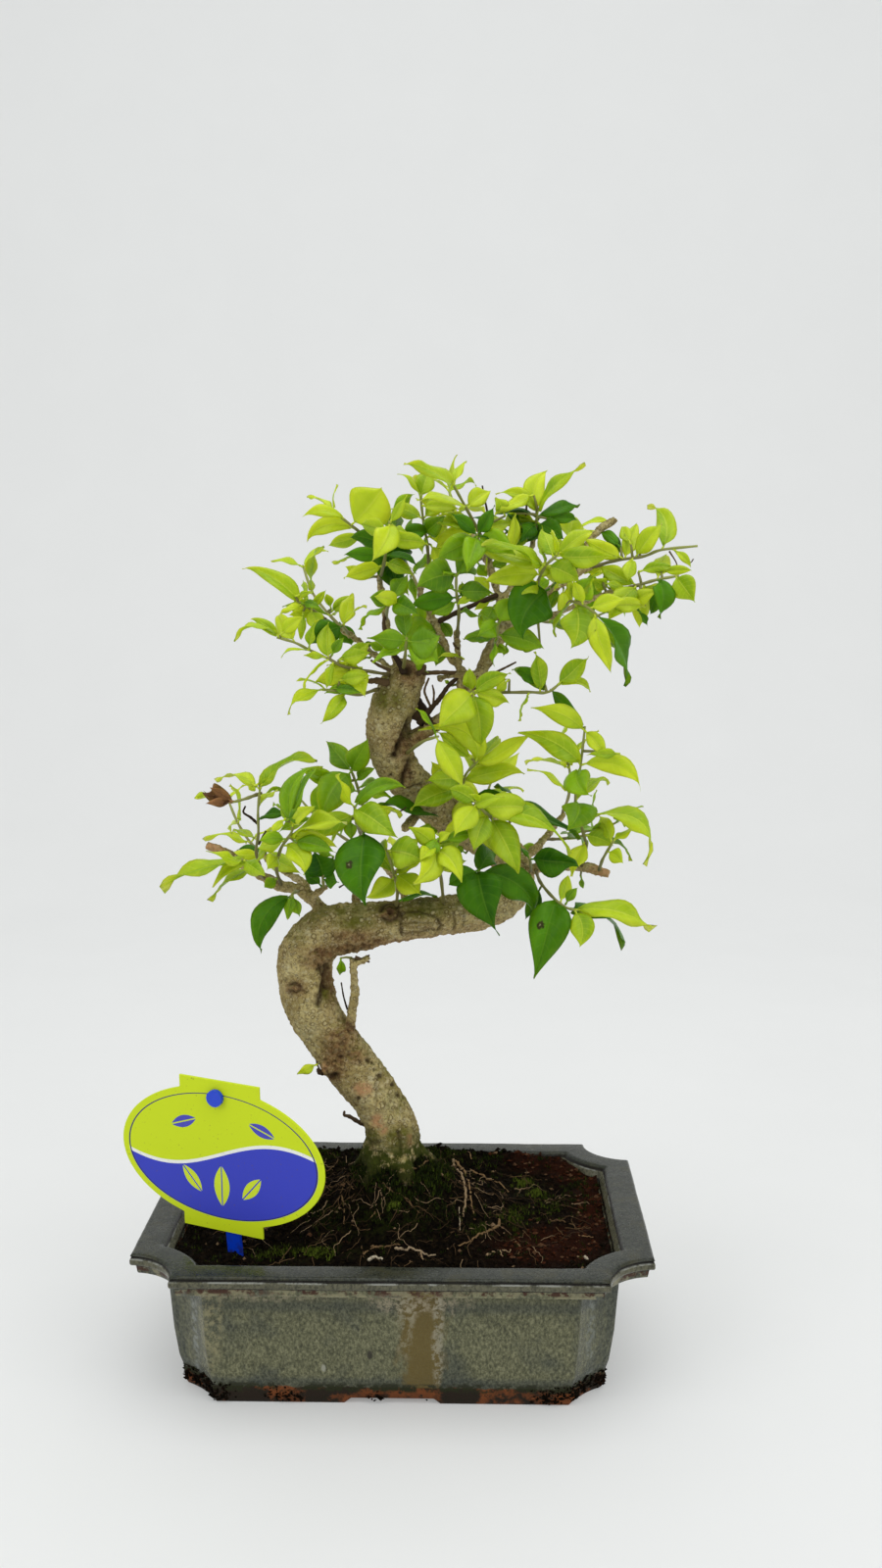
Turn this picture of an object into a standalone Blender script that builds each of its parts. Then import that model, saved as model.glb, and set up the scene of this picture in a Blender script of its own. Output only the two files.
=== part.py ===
"""Chinese privet bonsai: an S-shaped trunk with leafy shoots, standing in soil in a glazed rectangular pot."""

import math
import random

import bpy
import numpy as np
from mathutils import Matrix, Vector
from mathutils.bvhtree import BVHTree

# Driving dimensions, in millimetres
MM = 0.001
POT_LENGTH = 200.0
POT_DEPTH = 136.0
POT_HEIGHT = 59.5
CORNER_NOTCH = 18.5
FLANGE_WIDTH = 11.5
LIP_HEIGHT = 5.0
BAND_HEIGHT = 4.0
BODY_TOP_INSET = 12.0
BODY_BOTTOM_INSET = 17.5
FOOT_INSET = 18.2
FOOT_HEIGHT = 7.5
WALL = 5.5
SHOULDER = 49.0
FLOOR = 8.0
FOOT_RECESS_LENGTH = 34.0
FOOT_RECESS_HEIGHT = 2.5
DRAIN_RADIUS = 7.0
DRAIN_SPACING = 84.0
NET_SIZE = 26.0
NET_THICKNESS = 0.9
NET_CELLS = 2
NET_BAR = 3.0
GAP = 0.32

SOIL_EDGE = 54.0
MOUND_HEIGHT = 27.0
MOUND_SPREAD = 34.0
SOIL_RINGS = 6

TRUNK_SIDES = 10
TRUNK_RINGS = 38
LIMB_SIDES = 5
TWIG_SIDES = 4
TWIG_BASE = 0.6
TWIG_RADIUS = 0.95
TWIG_TIP = 0.65
ROOT_SUNK = 1.3

KEEL_DEPTH = 1.3
SHORT_BLADE = 20.0
PETIOLE_HALF_WIDTH = 0.45
PETIOLE_RISE = 0.35
PETIOLE_DROP = 0.45
PETIOLE_LENGTH = 1.6
WIDTH_SHARE = 0.44
ARCH = 0.1
CLEARANCE = 0.35
STEM_SPREAD = 1.6
LEAF_SPREAD = 1.25
SEEN_WIDTH = 1.08
STALK_FACES = 6

LABEL_HALF_WIDTH = 44.0
LABEL_HALF_HEIGHT = 28.0
LABEL_TAB_HALF_WIDTH = 17.3
LABEL_TAB_TOP = 30.8
LABEL_THICKNESS = 1.0
LABEL_YAW = math.radians(21)
LABEL_LEAN = 0.07
PEG_PLACE = (-63.6, -43.0, 118.3)
PEG_ON_PLATE = (-1.1, 24.2)
PEG_RADIUS = 1.9
PEG_HEAD_RADIUS = 3.3
PEG_HEAD_HEIGHT = 1.8
STAKE_WIDTH = 6.0
STAKE_THICKNESS = 1.4
STAKE_LENGTH = 90.0
STAKE_SWING = math.radians(4.5)

# Every place below is read from one eye: (x, z) is a place on the upright plane y = 0, and a depth carries it along
# the line of sight, away from the eye where positive. The pot's middle lies off that plane's origin, and its long
# side is turned a little from the plane.
READING_EYE = Vector((21.0, -580.0, 308.0))
POT_PLACE = Vector((3.3, -1.5, -1.5))
POT_TURN = math.radians(-1.2)

# Trunk centre line: x, z, depth, radius
TRUNK = [
    (2, 28, 0, 10.5), (1.5, 62, 0, 11.5), (0.5, 76, 0, 12), (0.5, 88, 0, 11), (-4.5, 100, 0, 10),
    (-11, 110, 0, 10.5), (-19, 121, -1, 10.5), (-25, 130, -2, 10), (-31, 141, -3, 10.5), (-34, 152, -3, 10.5),
    (-33.5, 162, -3, 10.5), (-28, 170.5, -2, 10), (-19, 173.5, -1, 10), (-8, 174.5, 0, 9.3), (0, 175.7, 1, 8.6),
    (10, 177, 2, 8.3), (20, 178, 3, 8), (30, 179.5, 4, 8), (40, 182, 6, 7.6), (48, 187, 10, 7.4),
    (51, 195, 15, 7.3), (46.5, 203.5, 18, 7.4), (36, 211, 17, 7.6), (24, 219, 13, 7.8), (14, 227, 8, 8),
    (6, 236, 4, 8.2), (1, 246, 1, 8.4), (0.5, 256, 0, 8.5), (3, 266, 0, 8.6), (7.5, 275, 0, 7.2), (9, 281, 0, 5.2),
]

# Limbs that grow from the trunk: start radius, end radius, then x, z, depth of each point
LIMBS = [
    (2.7, 1.7, [(-24, 176, 0), (-33, 187.5, 0), (-46, 192, -3), (-64, 203, -6), (-73, 207.5, -8)]),
    (1.7, 1.2, [(-33, 187, 0), (-33.5, 191.5, 6), (-41, 196, 14), (-50, 203, 22)]),
    (1.6, 1.2, [(-29, 181, 0), (-30.5, 186, -4), (-24.5, 190.5, -6)]),
    (1.7, 1.1, [(-13, 178, 1), (-13, 196, 6), (-11, 210, 7), (-9.5, 222.5, 6)]),
    (1.8, 1.2, [(8, 178, 4), (5, 190, 18), (-2, 199, 32), (-12, 207, 44)]),
    (2.5, 1.7, [(48, 189, 11), (58, 197.5, 8), (77, 198.5, 4), (88.5, 195.5, 2)]),
    (2.0, 1.2, [(50, 198, 16), (58, 205, 28), (64, 212, 42), (70, 220, 52)]),
    (1.7, 1.2, [(44, 204, 17), (46, 211, 6), (46, 215, -6), (42, 218, -16)]),
    (1.6, 1.1, [(27, 216, 13), (28, 222, 8), (29, 228, 5)]),
    (2.2, 1.7, [(17, 224, 10), (11, 219, 4), (6, 213.5, -3)]),
    (3.2, 2.1, [(3, 246, 1), (16, 254, 0), (26, 262, 0), (34, 271, 0), (40, 284, 0), (46, 294, 0), (52, 300, 0)]),
    (1.9, 1.1, [(50, 298, 0), (60, 306, -1), (70, 312, -2), (80, 317.5, -3)]),
    (1.3, 1.0, [(52, 299, 0), (57, 297, -2), (65, 298.5, -6), (77, 304, -9), (89, 308, -10)]),
    (1.7, 1.0, [(45, 292, 0), (44, 304, 2), (41, 315, 2), (39.5, 325, 1)]),
    (1.3, 1.0, [(44, 303, 2), (51, 314, 4), (56, 324, 4), (57.5, 331, 3)]),
    (1.7, 1.0, [(33, 273, 0), (24.5, 282.5, 0), (22, 288, 0), (16.5, 300.5, 0), (13, 307.5, 0), (17, 317.5, 0)]),
    (1.5, 1.0, [(6, 272, 2), (1, 288, 3), (-1, 300, 3), (-3, 313, 2), (-4.5, 325.5, 2)]),
    (1.4, 0.9, [(5, 274, 2), (-6, 284, 4), (-16, 292, 3), (-25, 297.5, 1)]),
    (1.8, 1.1, [(9, 270, 4), (14, 284, 16), (16, 296, 28), (14, 306, 38)]),
    (1.8, 1.1, [(36, 276, 2), (44, 288, 16), (52, 298, 30), (60, 306, 42)]),
    (1.4, 1.0, [(41, 315, 2), (36, 325, 12), (30, 334, 22)]),
    (1.3, 1.1, [(29, 266, 0), (28, 278, -3), (27, 293, -4)]),
    (2.0, 1.4, [(-17, 127, -4), (-15, 139, -11), (-14, 148, -12), (-15, 161, -11)]),
    (1.2, 1.1, [(-14.8, 158, -11.3), (-8, 161.5, -12)]),
    (1.2, 1.0, [(20, 274, 0), (28, 275.5, -4), (36, 276, -9)]),
    (1.4, 1.2, [(73, 314, -2), (80, 329, 0), (89, 336, 0)]),
]

# Buttress roots: start radius, end radius, direction in degrees about the trunk's foot, and reach
ROOTS = [(5.0, 2.4, -62, 19), (5.0, 2.4, -122, 18), (4.6, 2.2, 172, 19), (4.6, 2.2, 18, 20), (4.4, 2.2, 95, 17)]
ROOT_TOP = 86.0

# Leafy shoots: name, leaf slot, points of the stem as x, z, depth, then leaves as place along the stem counted in
# points, x and z of the tip, depth of the tip from the leaf's root, and width as seen
SHOOTS = [
    ("shoot_left_upright", "young_leaf",
     [(-51, 196, -4), (-53, 205, -6), (-52, 212, -8), (-52, 221, -8), (-51, 231, -8)],
     [(4, -28, 241.5, -6, 5), (3.9, -68.5, 233, 6, 3.5), (2.6, -41, 219.5, -8, 5), (3.2, -44, 229, 8, 5),
      (1.6, -63, 212, 9, 5)]),
    ("dead_leaf_left", "dead_leaf",
     [(-51.5, 228, -8), (-57, 226, -10), (-62.5, 224.5, -10)],
     [(2, -73, 228.5, 4, 7)]),
    ("shoot_left_tip", "young_leaf",
     [(-50, 193.5, -4), (-53, 199, -14), (-59, 201.5, -19)],
     [(1.6, -91.5, 189.5, -2, 8.5), (2, -49.5, 194.5, -10, 6), (1.4, -70.5, 190, -8, 4), (1, -72, 184.5, -3, 4),
      (2, -73, 205, -8, 5)]),
    ("shoot_left_inner", "young_leaf",
     [(-43, 190.5, -3), (-45, 198, -12), (-43, 206, -18), (-39, 212, -20), (-38, 216, -20)],
     [(1.6, -49, 197, -10, 6), (2.5, -52, 206, 4, 6.5), (2.2, -34, 195, -10, 8), (4, -26, 238.5, 6, 9),
      (4, -29, 223, -10, 7), (2.8, -20.5, 206.5, -4, 6), (4, -46, 224, 8, 7)]),
    ("old_leaf_left", "old_leaf",
     [(-26, 189.5, -6), (-26.5, 194, -12)],
     [(0.9, -30, 205, -8, 11), (0.8, -20, 192, -6, 7)]),
    ("old_leaf_far_left", "old_leaf",
     [(-36, 188.5, -1), (-38, 188, -10), (-39.5, 186, -12)],
     [(2, -51.5, 163.5, -8, 12), (1.5, -36, 178, -6, 6)]),
    ("old_leaf_front_left", "old_leaf",
     [(-12, 204, 6.5), (-11, 210, -8), (-9.5, 213, -16)],
     [(2, -9.5, 182.5, -10, 19)]),
    ("shoot_left_mid", "young_leaf",
     [(-11.2, 212, 7), (-13, 217, -8), (-13.5, 223, -14)],
     [(2, 4, 210, -10, 10), (2, 7, 230.5, -4, 6), (1.4, -37, 209, -4, 8), (2, -20, 236, -6, 8),
      (1.2, 2, 222, 8, 7)]),
    ("shoot_left_top", "mature_leaf",
     [(-9.5, 221, 6.1), (-11.5, 228, 4), (-13, 233, 2), (-15, 238, 0)],
     [(3, -24, 249, 8, 8), (3, -8, 250.5, -4, 8), (3, -26.5, 218.5, -10, 13), (2, -5, 238.5, -6, 4),
      (1.2, -22, 229, 9, 7), (1.4, -2, 230, 10, 7)]),
    ("shoot_front_left", "young_leaf",
     [(3, 182, -2), (3.5, 190, -14), (1.5, 198, -20), (-1, 206, -22)],
     [(1.6, -9, 186, -8, 8), (1.7, 13, 187, -8, 9), (3, 14, 200, -6, 10), (3, -17, 202, -6, 8), (2.4, 12, 210, 6, 7)]),
    ("shoot_front_mid", "young_leaf",
     [(22, 184, -2), (21, 194, -16), (19.5, 203, -22), (19, 208, -23)],
     [(2.6, 10, 191.5, -8, 9), (2.5, 29.5, 192, -8, 9), (3, 8, 214.5, -4, 7), (3, 31, 210, 4, 7),
      (1.3, 31, 201, 6, 6)]),
    ("shoot_centre_up", "young_leaf",
     [(29, 225.5, 6.2), (29, 230, 2), (31, 236, -2), (35.5, 241, -4)],
     [(3, 57, 251.5, -2, 6), (3, 12, 253.5, -4, 8), (1.4, 54.5, 236, -6, 8), (1.8, 15, 233, -8, 9),
      (1, 8.5, 221.5, -8, 9), (2.4, 44, 250, 9, 7)]),
    ("shoot_centre_back", "mature_leaf",
     [(36, 214, 17), (38, 224, 24), (41, 233, 28)],
     [(2, 52, 244, 8, 8), (2, 30, 245, 6, 8), (1, 54, 229, 10, 9), (1, 24, 232, 12, 9)]),
    ("shoot_trunk_front", "mature_leaf",
     [(7, 244, -4), (14, 249, -14), (20, 251, -17)],
     [(2, 30, 230.5, -6, 10), (2, 11, 262, -4, 6)]),
    ("shoot_limb_front", "young_leaf",
     [(30, 266, -1), (32, 268, -10), (34, 268.5, -15)],
     [(1.9, 20, 254, -8, 13), (2, 37, 247, -6, 12), (1.4, 32, 278, -6, 5), (2, 48.5, 276, -4, 6),
      (1.9, 48, 264, 2, 6)]),
    ("shoot_centre_front", "young_leaf",
     [(42, 217, -13), (41, 218.5, -22), (38, 221, -26), (34.5, 225, -27)],
     [(1, 52, 195.5, -6, 11), (1, 72.5, 203.5, -2, 10), (1.6, 34, 204.5, -8, 9), (2.3, 58, 221, 4, 11),
      (3, 26, 210.5, -6, 9), (3, 24, 230, 2, 7)]),
    ("old_leaf_centre", "old_leaf",
     [(46, 212, 4.5), (50, 220, 4), (51, 227, 2)],
     [(2, 76.5, 209.5, -6, 8), (2, 42, 231, 8, 6)]),
    ("old_leaf_limb", "old_leaf",
     [(57, 196.5, 8), (57, 199, -2), (56.5, 202, -7)],
     [(2, 76, 199, -4, 11)]),
    ("old_leaf_front_mid", "old_leaf",
     [(37, 185, 0), (37, 191, -13), (36, 197, -18)],
     [(2, 44.5, 170, -6, 14), (1.9, 58, 178, 4, 10)]),
    ("shoot_low_right", "mature_leaf",
     [(59, 197, 7), (61, 192, -3), (66, 186, -8), (71, 182, -10), (76, 180.5, -11)],
     [(2.2, 58.5, 152.5, -10, 15), (2.6, 72, 195, 4, 5), (3.4, 94.5, 165, 4, 8), (4, 106.5, 173, -4, 9),
      (4, 77, 165.5, -8, 10)]),
    ("shoot_right_upright", "young_leaf",
     [(77, 197, 4), (79, 207, -1), (77.5, 213.5, -4), (74.5, 225, -6), (76.5, 239.5, -7), (78, 255, -7)],
     [(5, 64, 269.5, 4, 6), (4.9, 56.5, 262.5, -6, 7), (4.9, 86, 243, -6, 6), (4, 100.5, 229, -4, 10),
      (4, 51.5, 252.5, -2, 9), (3.9, 81, 227, -8, 9), (3, 71, 213, -8, 11), (2.4, 102, 199.5, -4, 9),
      (1.7, 90, 207, -6, 7), (1.3, 73, 194.5, -8, 7), (3, 88, 232, 9, 8)]),
    ("shoot_right_stub", "young_leaf",
     [(84, 196, 3), (86, 202, -4), (90, 209, -8)],
     [(2, 99, 214, 2, 5), (1.4, 94, 200, -8, 6), (2, 84, 219, 6, 6)]),
    ("shoot_top_left", "young_leaf",
     [(-4.3, 324, 2), (-9, 329.5, 0), (-14, 333.5, -2), (-21.5, 339.5, -3)],
     [(2, -2, 348, -6, 13), (2.3, -33, 336.5, 2, 6), (1.7, -31, 327, -5, 5.5), (1, -23, 325.5, 6, 5),
      (1, 2, 338, 6, 6), (3, -31, 344, 4, 5), (3, -19, 349, 4, 6)]),
    ("shoot_top_left_inner", "young_leaf",
     [(-3, 312, 2), (-1, 320, -10), (0, 328, -16), (1, 335, -18)],
     [(3, -6, 319.5, -8, 7), (3, 8, 345, -2, 7), (2.5, -10, 334, 2, 6), (2, 16, 326, -2, 6), (1.2, -17, 322, -3, 6),
      (0.9, 10, 314, -6, 5), (0.7, -17, 313, -6, 6)]),
    ("old_leaf_top_left", "old_leaf",
     [(-3.5, 317, 2), (1, 325, -3), (5, 329.5, -7)],
     [(2, 6, 306.5, -10, 12), (2, 16, 331, 5, 6), (1, -14, 329, 9, 8)]),
    ("shoot_inner_left", "mature_leaf",
     [(-0.5, 297, 3), (0, 301, -8), (2, 305, -12)],
     [(2, -7, 305.5, -4, 6), (1.4, -11, 293, -4, 5), (2, 12, 299, -8, 7), (2, 8, 314, 3, 6)]),
    ("shoot_inner_low", "mature_leaf",
     [(6, 277, -4), (7, 284, -14), (7.5, 290, -17)],
     [(2, -8, 290, -4, 9), (2, 21, 291, -3, 9), (2, 6, 301, 5, 8), (1.3, 20, 280, -6, 8), (1.2, -6, 280, -5, 7)]),
    ("shoot_mid_left_tip", "young_leaf",
     [(-23.5, 296.7, 1.3), (-30, 301, -2), (-35, 304, -4)],
     [(2, -56.5, 316.5, 2, 6), (1.6, -42, 299, -6, 5), (1, -24, 308.5, -4, 6), (1.5, -33, 312, 7, 6),
      (1, -27, 291, -5, 6)]),
    ("old_leaf_mid_left_top", "old_leaf",
     [(-15, 291, 3), (-18, 295, -4)],
     [(0.9, -31, 287, -6, 9), (0.9, -8, 302, -4, 6), (0.7, -14, 307, 8, 7)]),
    ("shoot_mid_left_low", "young_leaf",
     [(3, 275, -2), (-6, 276.5, -8), (-17, 278.5, -11), (-23, 281.5, -12), (-30.5, 285, -12), (-36.5, 288, -12),
      (-43.5, 290, -12)],
     [(6, -53.5, 297, 3, 5), (5.9, -60.5, 288.5, -4, 4), (5, -43, 298.5, 6, 7), (3, -23, 296, 5, 8),
      (2, -7, 288, 6, 6), (3, -33, 270, -7, 8), (1.8, -9, 266.5, -6, 8), (4, -42, 282, -7, 5), (4, -27, 297, -6, 6)]),
    ("shoot_trunk_left", "young_leaf",
     [(-3, 270, -3), (-12, 267.5, -9), (-20, 269, -12), (-26, 269.5, -13)],
     [(3, -39.5, 259.5, -4, 5.5), (1.6, -26.5, 256, -6, 6.5), (3, -36, 273, 6, 5)]),
    ("shoot_crown", "young_leaf",
     [(16.5, 316, 0), (15.5, 327, -3), (14, 336, -5), (13, 345, -6)],
     [(3, 17, 354.5, 3, 7), (3, 4, 353, -6, 6), (2, 1, 339.5, 6, 5), (2, 25, 344, 5, 6), (1.2, 25, 329, 7, 7)]),
    ("shoot_crown_right", "young_leaf",
     [(39.7, 323, 1), (35, 332.5, -3), (30.5, 340.5, -6), (26, 348.5, -8), (22.5, 355, -9)],
     [(3, 6.5, 356.5, -3, 6), (3, 31, 357.5, 4, 6), (1.9, 40, 346.5, 4, 6.5), (2, 13, 342.5, -4, 6),
      (1.4, 19.5, 334, -6, 6), (1, 49, 334, -2, 6.5), (1, 19, 324, 5, 7), (0.5, 47.5, 324, 8, 7)]),
    ("shoot_crown_front", "mature_leaf",
     [(40.2, 320, 1.5), (36, 327, -14), (35, 330, -18)],
     [(1.6, 20, 320.5, -4, 9), (1.9, 31, 314.5, -9, 8), (2, 50, 322, -5, 8), (2, 42, 341, -4, 7),
      (2, 25, 338, -4, 6)]),
    ("shoot_top_right", "young_leaf",
     [(57, 329, 3.3), (58, 334, -1), (58.5, 339, -3)],
     [(2, 62, 354, 4, 8), (1.8, 77, 356.5, -2, 6), (1.6, 42, 345.5, -3, 7), (1, 52, 327, -8, 6), (1, 69, 328, -6, 6),
      (1.5, 74.5, 340.5, 6, 6), (1.2, 45, 334, 8, 6)]),
    ("shoot_right_mid", "young_leaf",
     [(58, 304.5, -1), (59, 312, -12), (62, 318, -18), (67, 322.5, -20)],
     [(2, 35.5, 323.5, -3, 7), (1.4, 38, 311.5, -3, 8), (1, 51, 306, -8, 8), (2, 75, 312, -5, 8.5),
      (3, 80, 331, 5, 6), (3, 90, 320.5, -4, 7), (2.6, 60, 332, 4, 7)]),
    ("shoot_right_tip", "young_leaf",
     [(79, 317, -3), (89.5, 320, -5), (100, 321.5, -7), (107, 324, -8), (121, 325.5, -9)],
     [(1.3, 97, 334, 4, 6), (1.7, 107, 334, -5, 7), (3, 101, 341, 4, 8), (3.3, 118.5, 317, -4, 6),
      (1.6, 94, 311.5, -7, 5), (1, 87, 331, 8, 6)]),
    ("shoot_right_low", "young_leaf",
     [(88, 307.5, -10), (98.5, 310.5, -12), (105.5, 312.5, -13), (114, 314, -14)],
     [(2, 109, 322, 7, 6), (3, 120.5, 303.5, -4, 10), (2, 106.5, 297.5, -6, 8), (1.2, 106, 301.5, 6, 7),
      (0.8, 86.5, 296.5, -6, 8), (1.1, 99, 294, 3, 6), (0.8, 83, 317, 5, 6)]),
    ("shoot_right_front", "mature_leaf",
     [(69, 300.5, -7), (72, 304, -18), (78, 302, -22), (83, 298, -22)],
     [(1.2, 72, 285.5, -7, 12), (1.3, 80, 314, -4, 8), (1, 66, 290, -2, 6), (2.6, 88, 276.5, -5, 8),
      (3, 93, 271, 3, 7), (2.2, 93, 305, -5, 7)]),
    ("old_leaf_right", "old_leaf",
     [(61, 306.5, -1), (63, 309, -9), (64, 309, -13)],
     [(2, 53.5, 289, -8, 12)]),
    ("shoot_limb_mid", "mature_leaf",
     [(41.5, 286.5, -1), (43, 290, -9), (43.5, 296, -14)],
     [(1.2, 61.5, 285.5, -3, 8), (2, 35, 290, -8, 6.5), (2, 50, 306, -4, 7.5), (1, 30, 289, -5, 5),
      (1, 42, 278.5, -8, 6)]),
    ("shoot_limb_top", "mature_leaf",
     [(27.2, 289, -4), (28, 300, -10), (27, 308, -15), (27, 315, -17)],
     [(3, 11, 309, -4, 9), (1.7, 9, 301.5, -3, 8), (3, 35, 324, 4, 7), (2, 41, 307, 2, 7), (1, 37, 297, 6, 6)]),
    ("shoot_low_twig", "mature_leaf",
     [(33.5, 270, -1), (45.5, 268.5, -8), (56, 268.5, -10), (63, 268.5, -11), (68, 272, -11)],
     [(2.6, 58, 284.5, -4, 7), (3, 49, 277, 5, 6), (4, 79, 282, -3, 7.5), (3.8, 80, 268.5, 3, 4),
      (2, 52, 257, -6, 6)]),
]

# Shoots out of the front view: name, leaf slot, leaf length, pairs of leaves, then x, z, depth of each stem point
RULED_SHOOTS = [
    ("back_shoot_left", "young_leaf", 20, 3, [(-49, 202, 21), (-55, 208, 30), (-60, 216, 38), (-64, 226, 44)]),
    ("back_shoot_low_left", "mature_leaf", 22, 3, [(-11, 206, 43), (-19, 211, 51), (-28, 218, 57), (-36, 227, 60)]),
    ("back_shoot_low_mid", "young_leaf", 22, 3, [(1, 195, 26), (10, 203, 38), (18, 212, 48), (24, 223, 55)]),
    ("back_shoot_low_right", "young_leaf", 22, 3, [(69, 219, 51), (72, 228, 57), (72, 238, 61), (68, 248, 62)]),
    ("back_shoot_bend", "mature_leaf", 21, 3, [(62, 209.5, 37), (71, 210, 38), (82, 212, 36), (92, 217, 33)]),
    ("back_shoot_crown_left", "young_leaf", 19, 3, [(-15, 291, 4), (-22, 298, 18), (-29, 307, 28), (-33, 318, 34)]),
    ("back_shoot_crown_mid", "mature_leaf", 20, 4, [(14, 305, 37), (10, 314, 44), (5, 324, 48), (1, 336, 48)]),
    ("back_shoot_crown_top", "young_leaf", 19, 3, [(31, 333, 21), (26, 340, 30), (24, 347, 36)]),
    ("back_shoot_crown_right", "young_leaf", 20, 4, [(59, 305, 41), (66, 312, 48), (71, 322, 52), (74, 333, 52)]),
    ("back_shoot_crown_low", "mature_leaf", 21, 3, [(53, 299, 31), (63, 296, 36), (75, 296, 38), (86, 300, 37)]),
]
RULED_SEED = 7
BEND_TRIES = (0, 3, -3, 6, -6, 9, -9, 12, -12, 16, -16, 20, -20, 25, -25, 30, -30)

SLOTS = {
    "bark": ((0.24, 0.20, 0.13), 0.85),
    "young_leaf": ((0.42, 0.62, 0.03), 0.45),
    "mature_leaf": ((0.16, 0.38, 0.02), 0.42),
    "old_leaf": ((0.03, 0.13, 0.02), 0.35),
    "dead_leaf": ((0.14, 0.05, 0.02), 0.8),
    "glaze": ((0.12, 0.13, 0.10), 0.35),
    "soil": ((0.03, 0.02, 0.012), 0.95),
    "label_face": ((0.58, 0.72, 0.06), 0.4),
    "stake_plastic": ((0.0, 0.04, 0.55), 0.35),
    "net_plastic": ((0.02, 0.02, 0.02), 0.5),
}


def clear_scene():
    for thing in list(bpy.data.objects):
        bpy.data.objects.remove(thing, do_unlink=True)


def material(slot):
    """The slot's Principled material, made once."""
    made = bpy.data.materials.get(slot)
    if made is None:
        colour, roughness = SLOTS[slot]
        made = bpy.data.materials.new(slot)
        made.use_nodes = True
        shader = made.node_tree.nodes["Principled BSDF"]
        shader.inputs["Base Color"].default_value = (*colour, 1)
        shader.inputs["Roughness"].default_value = roughness
        shader.inputs["Metallic"].default_value = 0
    return made


def add_object(name, vertices, faces, slot):
    """A mesh object from corners in millimetres."""
    mesh = bpy.data.meshes.new(name)
    mesh.from_pydata([tuple(c * MM for c in v) for v in vertices], [], faces)
    mesh.materials.append(material(slot))
    mesh.validate()
    made = bpy.data.objects.new(name, mesh)
    bpy.context.scene.collection.objects.link(made)
    return made


def evaluated_mesh(thing):
    """The object's mesh with its modifiers applied, and whether it is one closed body."""
    bpy.context.view_layer.update()
    graph = bpy.context.evaluated_depsgraph_get()
    mesh = bpy.data.meshes.new_from_object(thing.evaluated_get(graph))
    uses = {}
    for face in mesh.polygons:
        for key in face.edge_keys:
            uses[key] = uses.get(key, 0) + 1
    bodies = body_of_corners(mesh)
    return mesh, all(count == 2 for count in uses.values()) and len(set(bodies)) == 1


def body_of_corners(mesh):
    """For each corner of the mesh, one corner that stands for the body that it belongs to."""
    home = list(range(len(mesh.vertices)))

    def root(i):
        while home[i] != i:
            home[i] = home[home[i]]
            i = home[i]
        return i

    for edge in mesh.edges:
        a, b = (root(i) for i in edge.vertices)
        home[a] = b
    return [root(i) for i in range(len(home))]


def boolean(thing, others, operation):
    """Joins the others to the thing, or cuts them from it, in one Boolean on a collection, then removes them."""
    group = bpy.data.collections.new(thing.name + "_operands")
    bpy.context.scene.collection.children.link(group)
    for other in others:
        bpy.context.scene.collection.objects.unlink(other)
        group.objects.link(other)
    modifier = thing.modifiers.new(operation.lower(), "BOOLEAN")
    modifier.operation = operation
    modifier.operand_type = "COLLECTION"
    modifier.collection = group
    mesh, whole = evaluated_mesh(thing)
    if not whole:
        modifier.solver = "MANIFOLD"
        mesh, _ = evaluated_mesh(thing)
    thing.modifiers.clear()
    thing.data = mesh
    for other in others:
        bpy.data.objects.remove(other, do_unlink=True)
    bpy.data.collections.remove(group)
    return thing


def keep_largest(thing):
    """Drops loose scraps, so that one body is left."""
    mesh = thing.data
    roots = body_of_corners(mesh)
    best = max(set(roots), key=roots.count)
    if roots.count(best) == len(roots):
        return
    kept = [i for i in range(len(roots)) if roots[i] == best]
    place = {old: new for new, old in enumerate(kept)}
    corners = [mesh.vertices[i].co.copy() for i in kept]
    faces = [[place[i] for i in p.vertices] for p in mesh.polygons if p.vertices[0] in place]
    slim = bpy.data.meshes.new(thing.name)
    slim.from_pydata(corners, [], faces)
    slim.materials.append(mesh.materials[0])
    thing.data = slim


def in_pot_frame(place):
    """A place of the reading, about the pot's own middle and sides."""
    return Matrix.Rotation(-POT_TURN, 3, "Z") @ (Vector(place) - POT_PLACE)


EYE = in_pot_frame(READING_EYE)


def seen(x, z, depth):
    """The place in space of a point read at (x, z), at its depth."""
    on_plane = Vector((x, 0.0, z))
    share = (depth - READING_EYE.y) / (0.0 - READING_EYE.y)
    return in_pot_frame(READING_EYE + (on_plane - READING_EYE) * share)


def smooth_curve(points, count):
    """A Catmull-Rom curve through points of any width, read at even steps."""
    p = np.array(points, float)
    p = np.vstack([2 * p[0] - p[1], p, 2 * p[-1] - p[-2]])
    spans = len(p) - 3
    out = []
    for k in range(count):
        place = k * spans / (count - 1)
        i = min(int(place), spans - 1)
        t = place - i
        a, b, c, d = p[i], p[i + 1], p[i + 2], p[i + 3]
        out.append(0.5 * (2 * b + (c - a) * t + (2 * a - 5 * b + 4 * c - d) * t * t
                          + (3 * b - a - 3 * c + d) * t ** 3))
    return out


def rings_mesh(rings, fan=True):
    """Corners and triangles of a closed tube through rings of equal count, with its ends closed."""
    count = len(rings[0])
    vertices = [tuple(v) for ring in rings for v in ring]
    faces = []
    for k in range(len(rings) - 1):
        low, high = k * count, (k + 1) * count
        for i in range(count):
            j = (i + 1) % count
            faces.append((low + i, low + j, high + j))
            faces.append((low + i, high + j, high + i))
    end = (len(rings) - 1) * count
    if not fan:
        for i in range(1, count - 1):
            faces.append((0, i + 1, i))
            faces.append((end, end + i, end + i + 1))
        return vertices, faces
    first, last = len(vertices), len(vertices) + 1
    vertices.append(tuple(sum((Vector(v) for v in rings[0]), Vector()) / count))
    vertices.append(tuple(sum((Vector(v) for v in rings[-1]), Vector()) / count))
    for i in range(count):
        j = (i + 1) % count
        faces.append((first, j, i))
        faces.append((last, end + i, end + j))
    return vertices, faces


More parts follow.
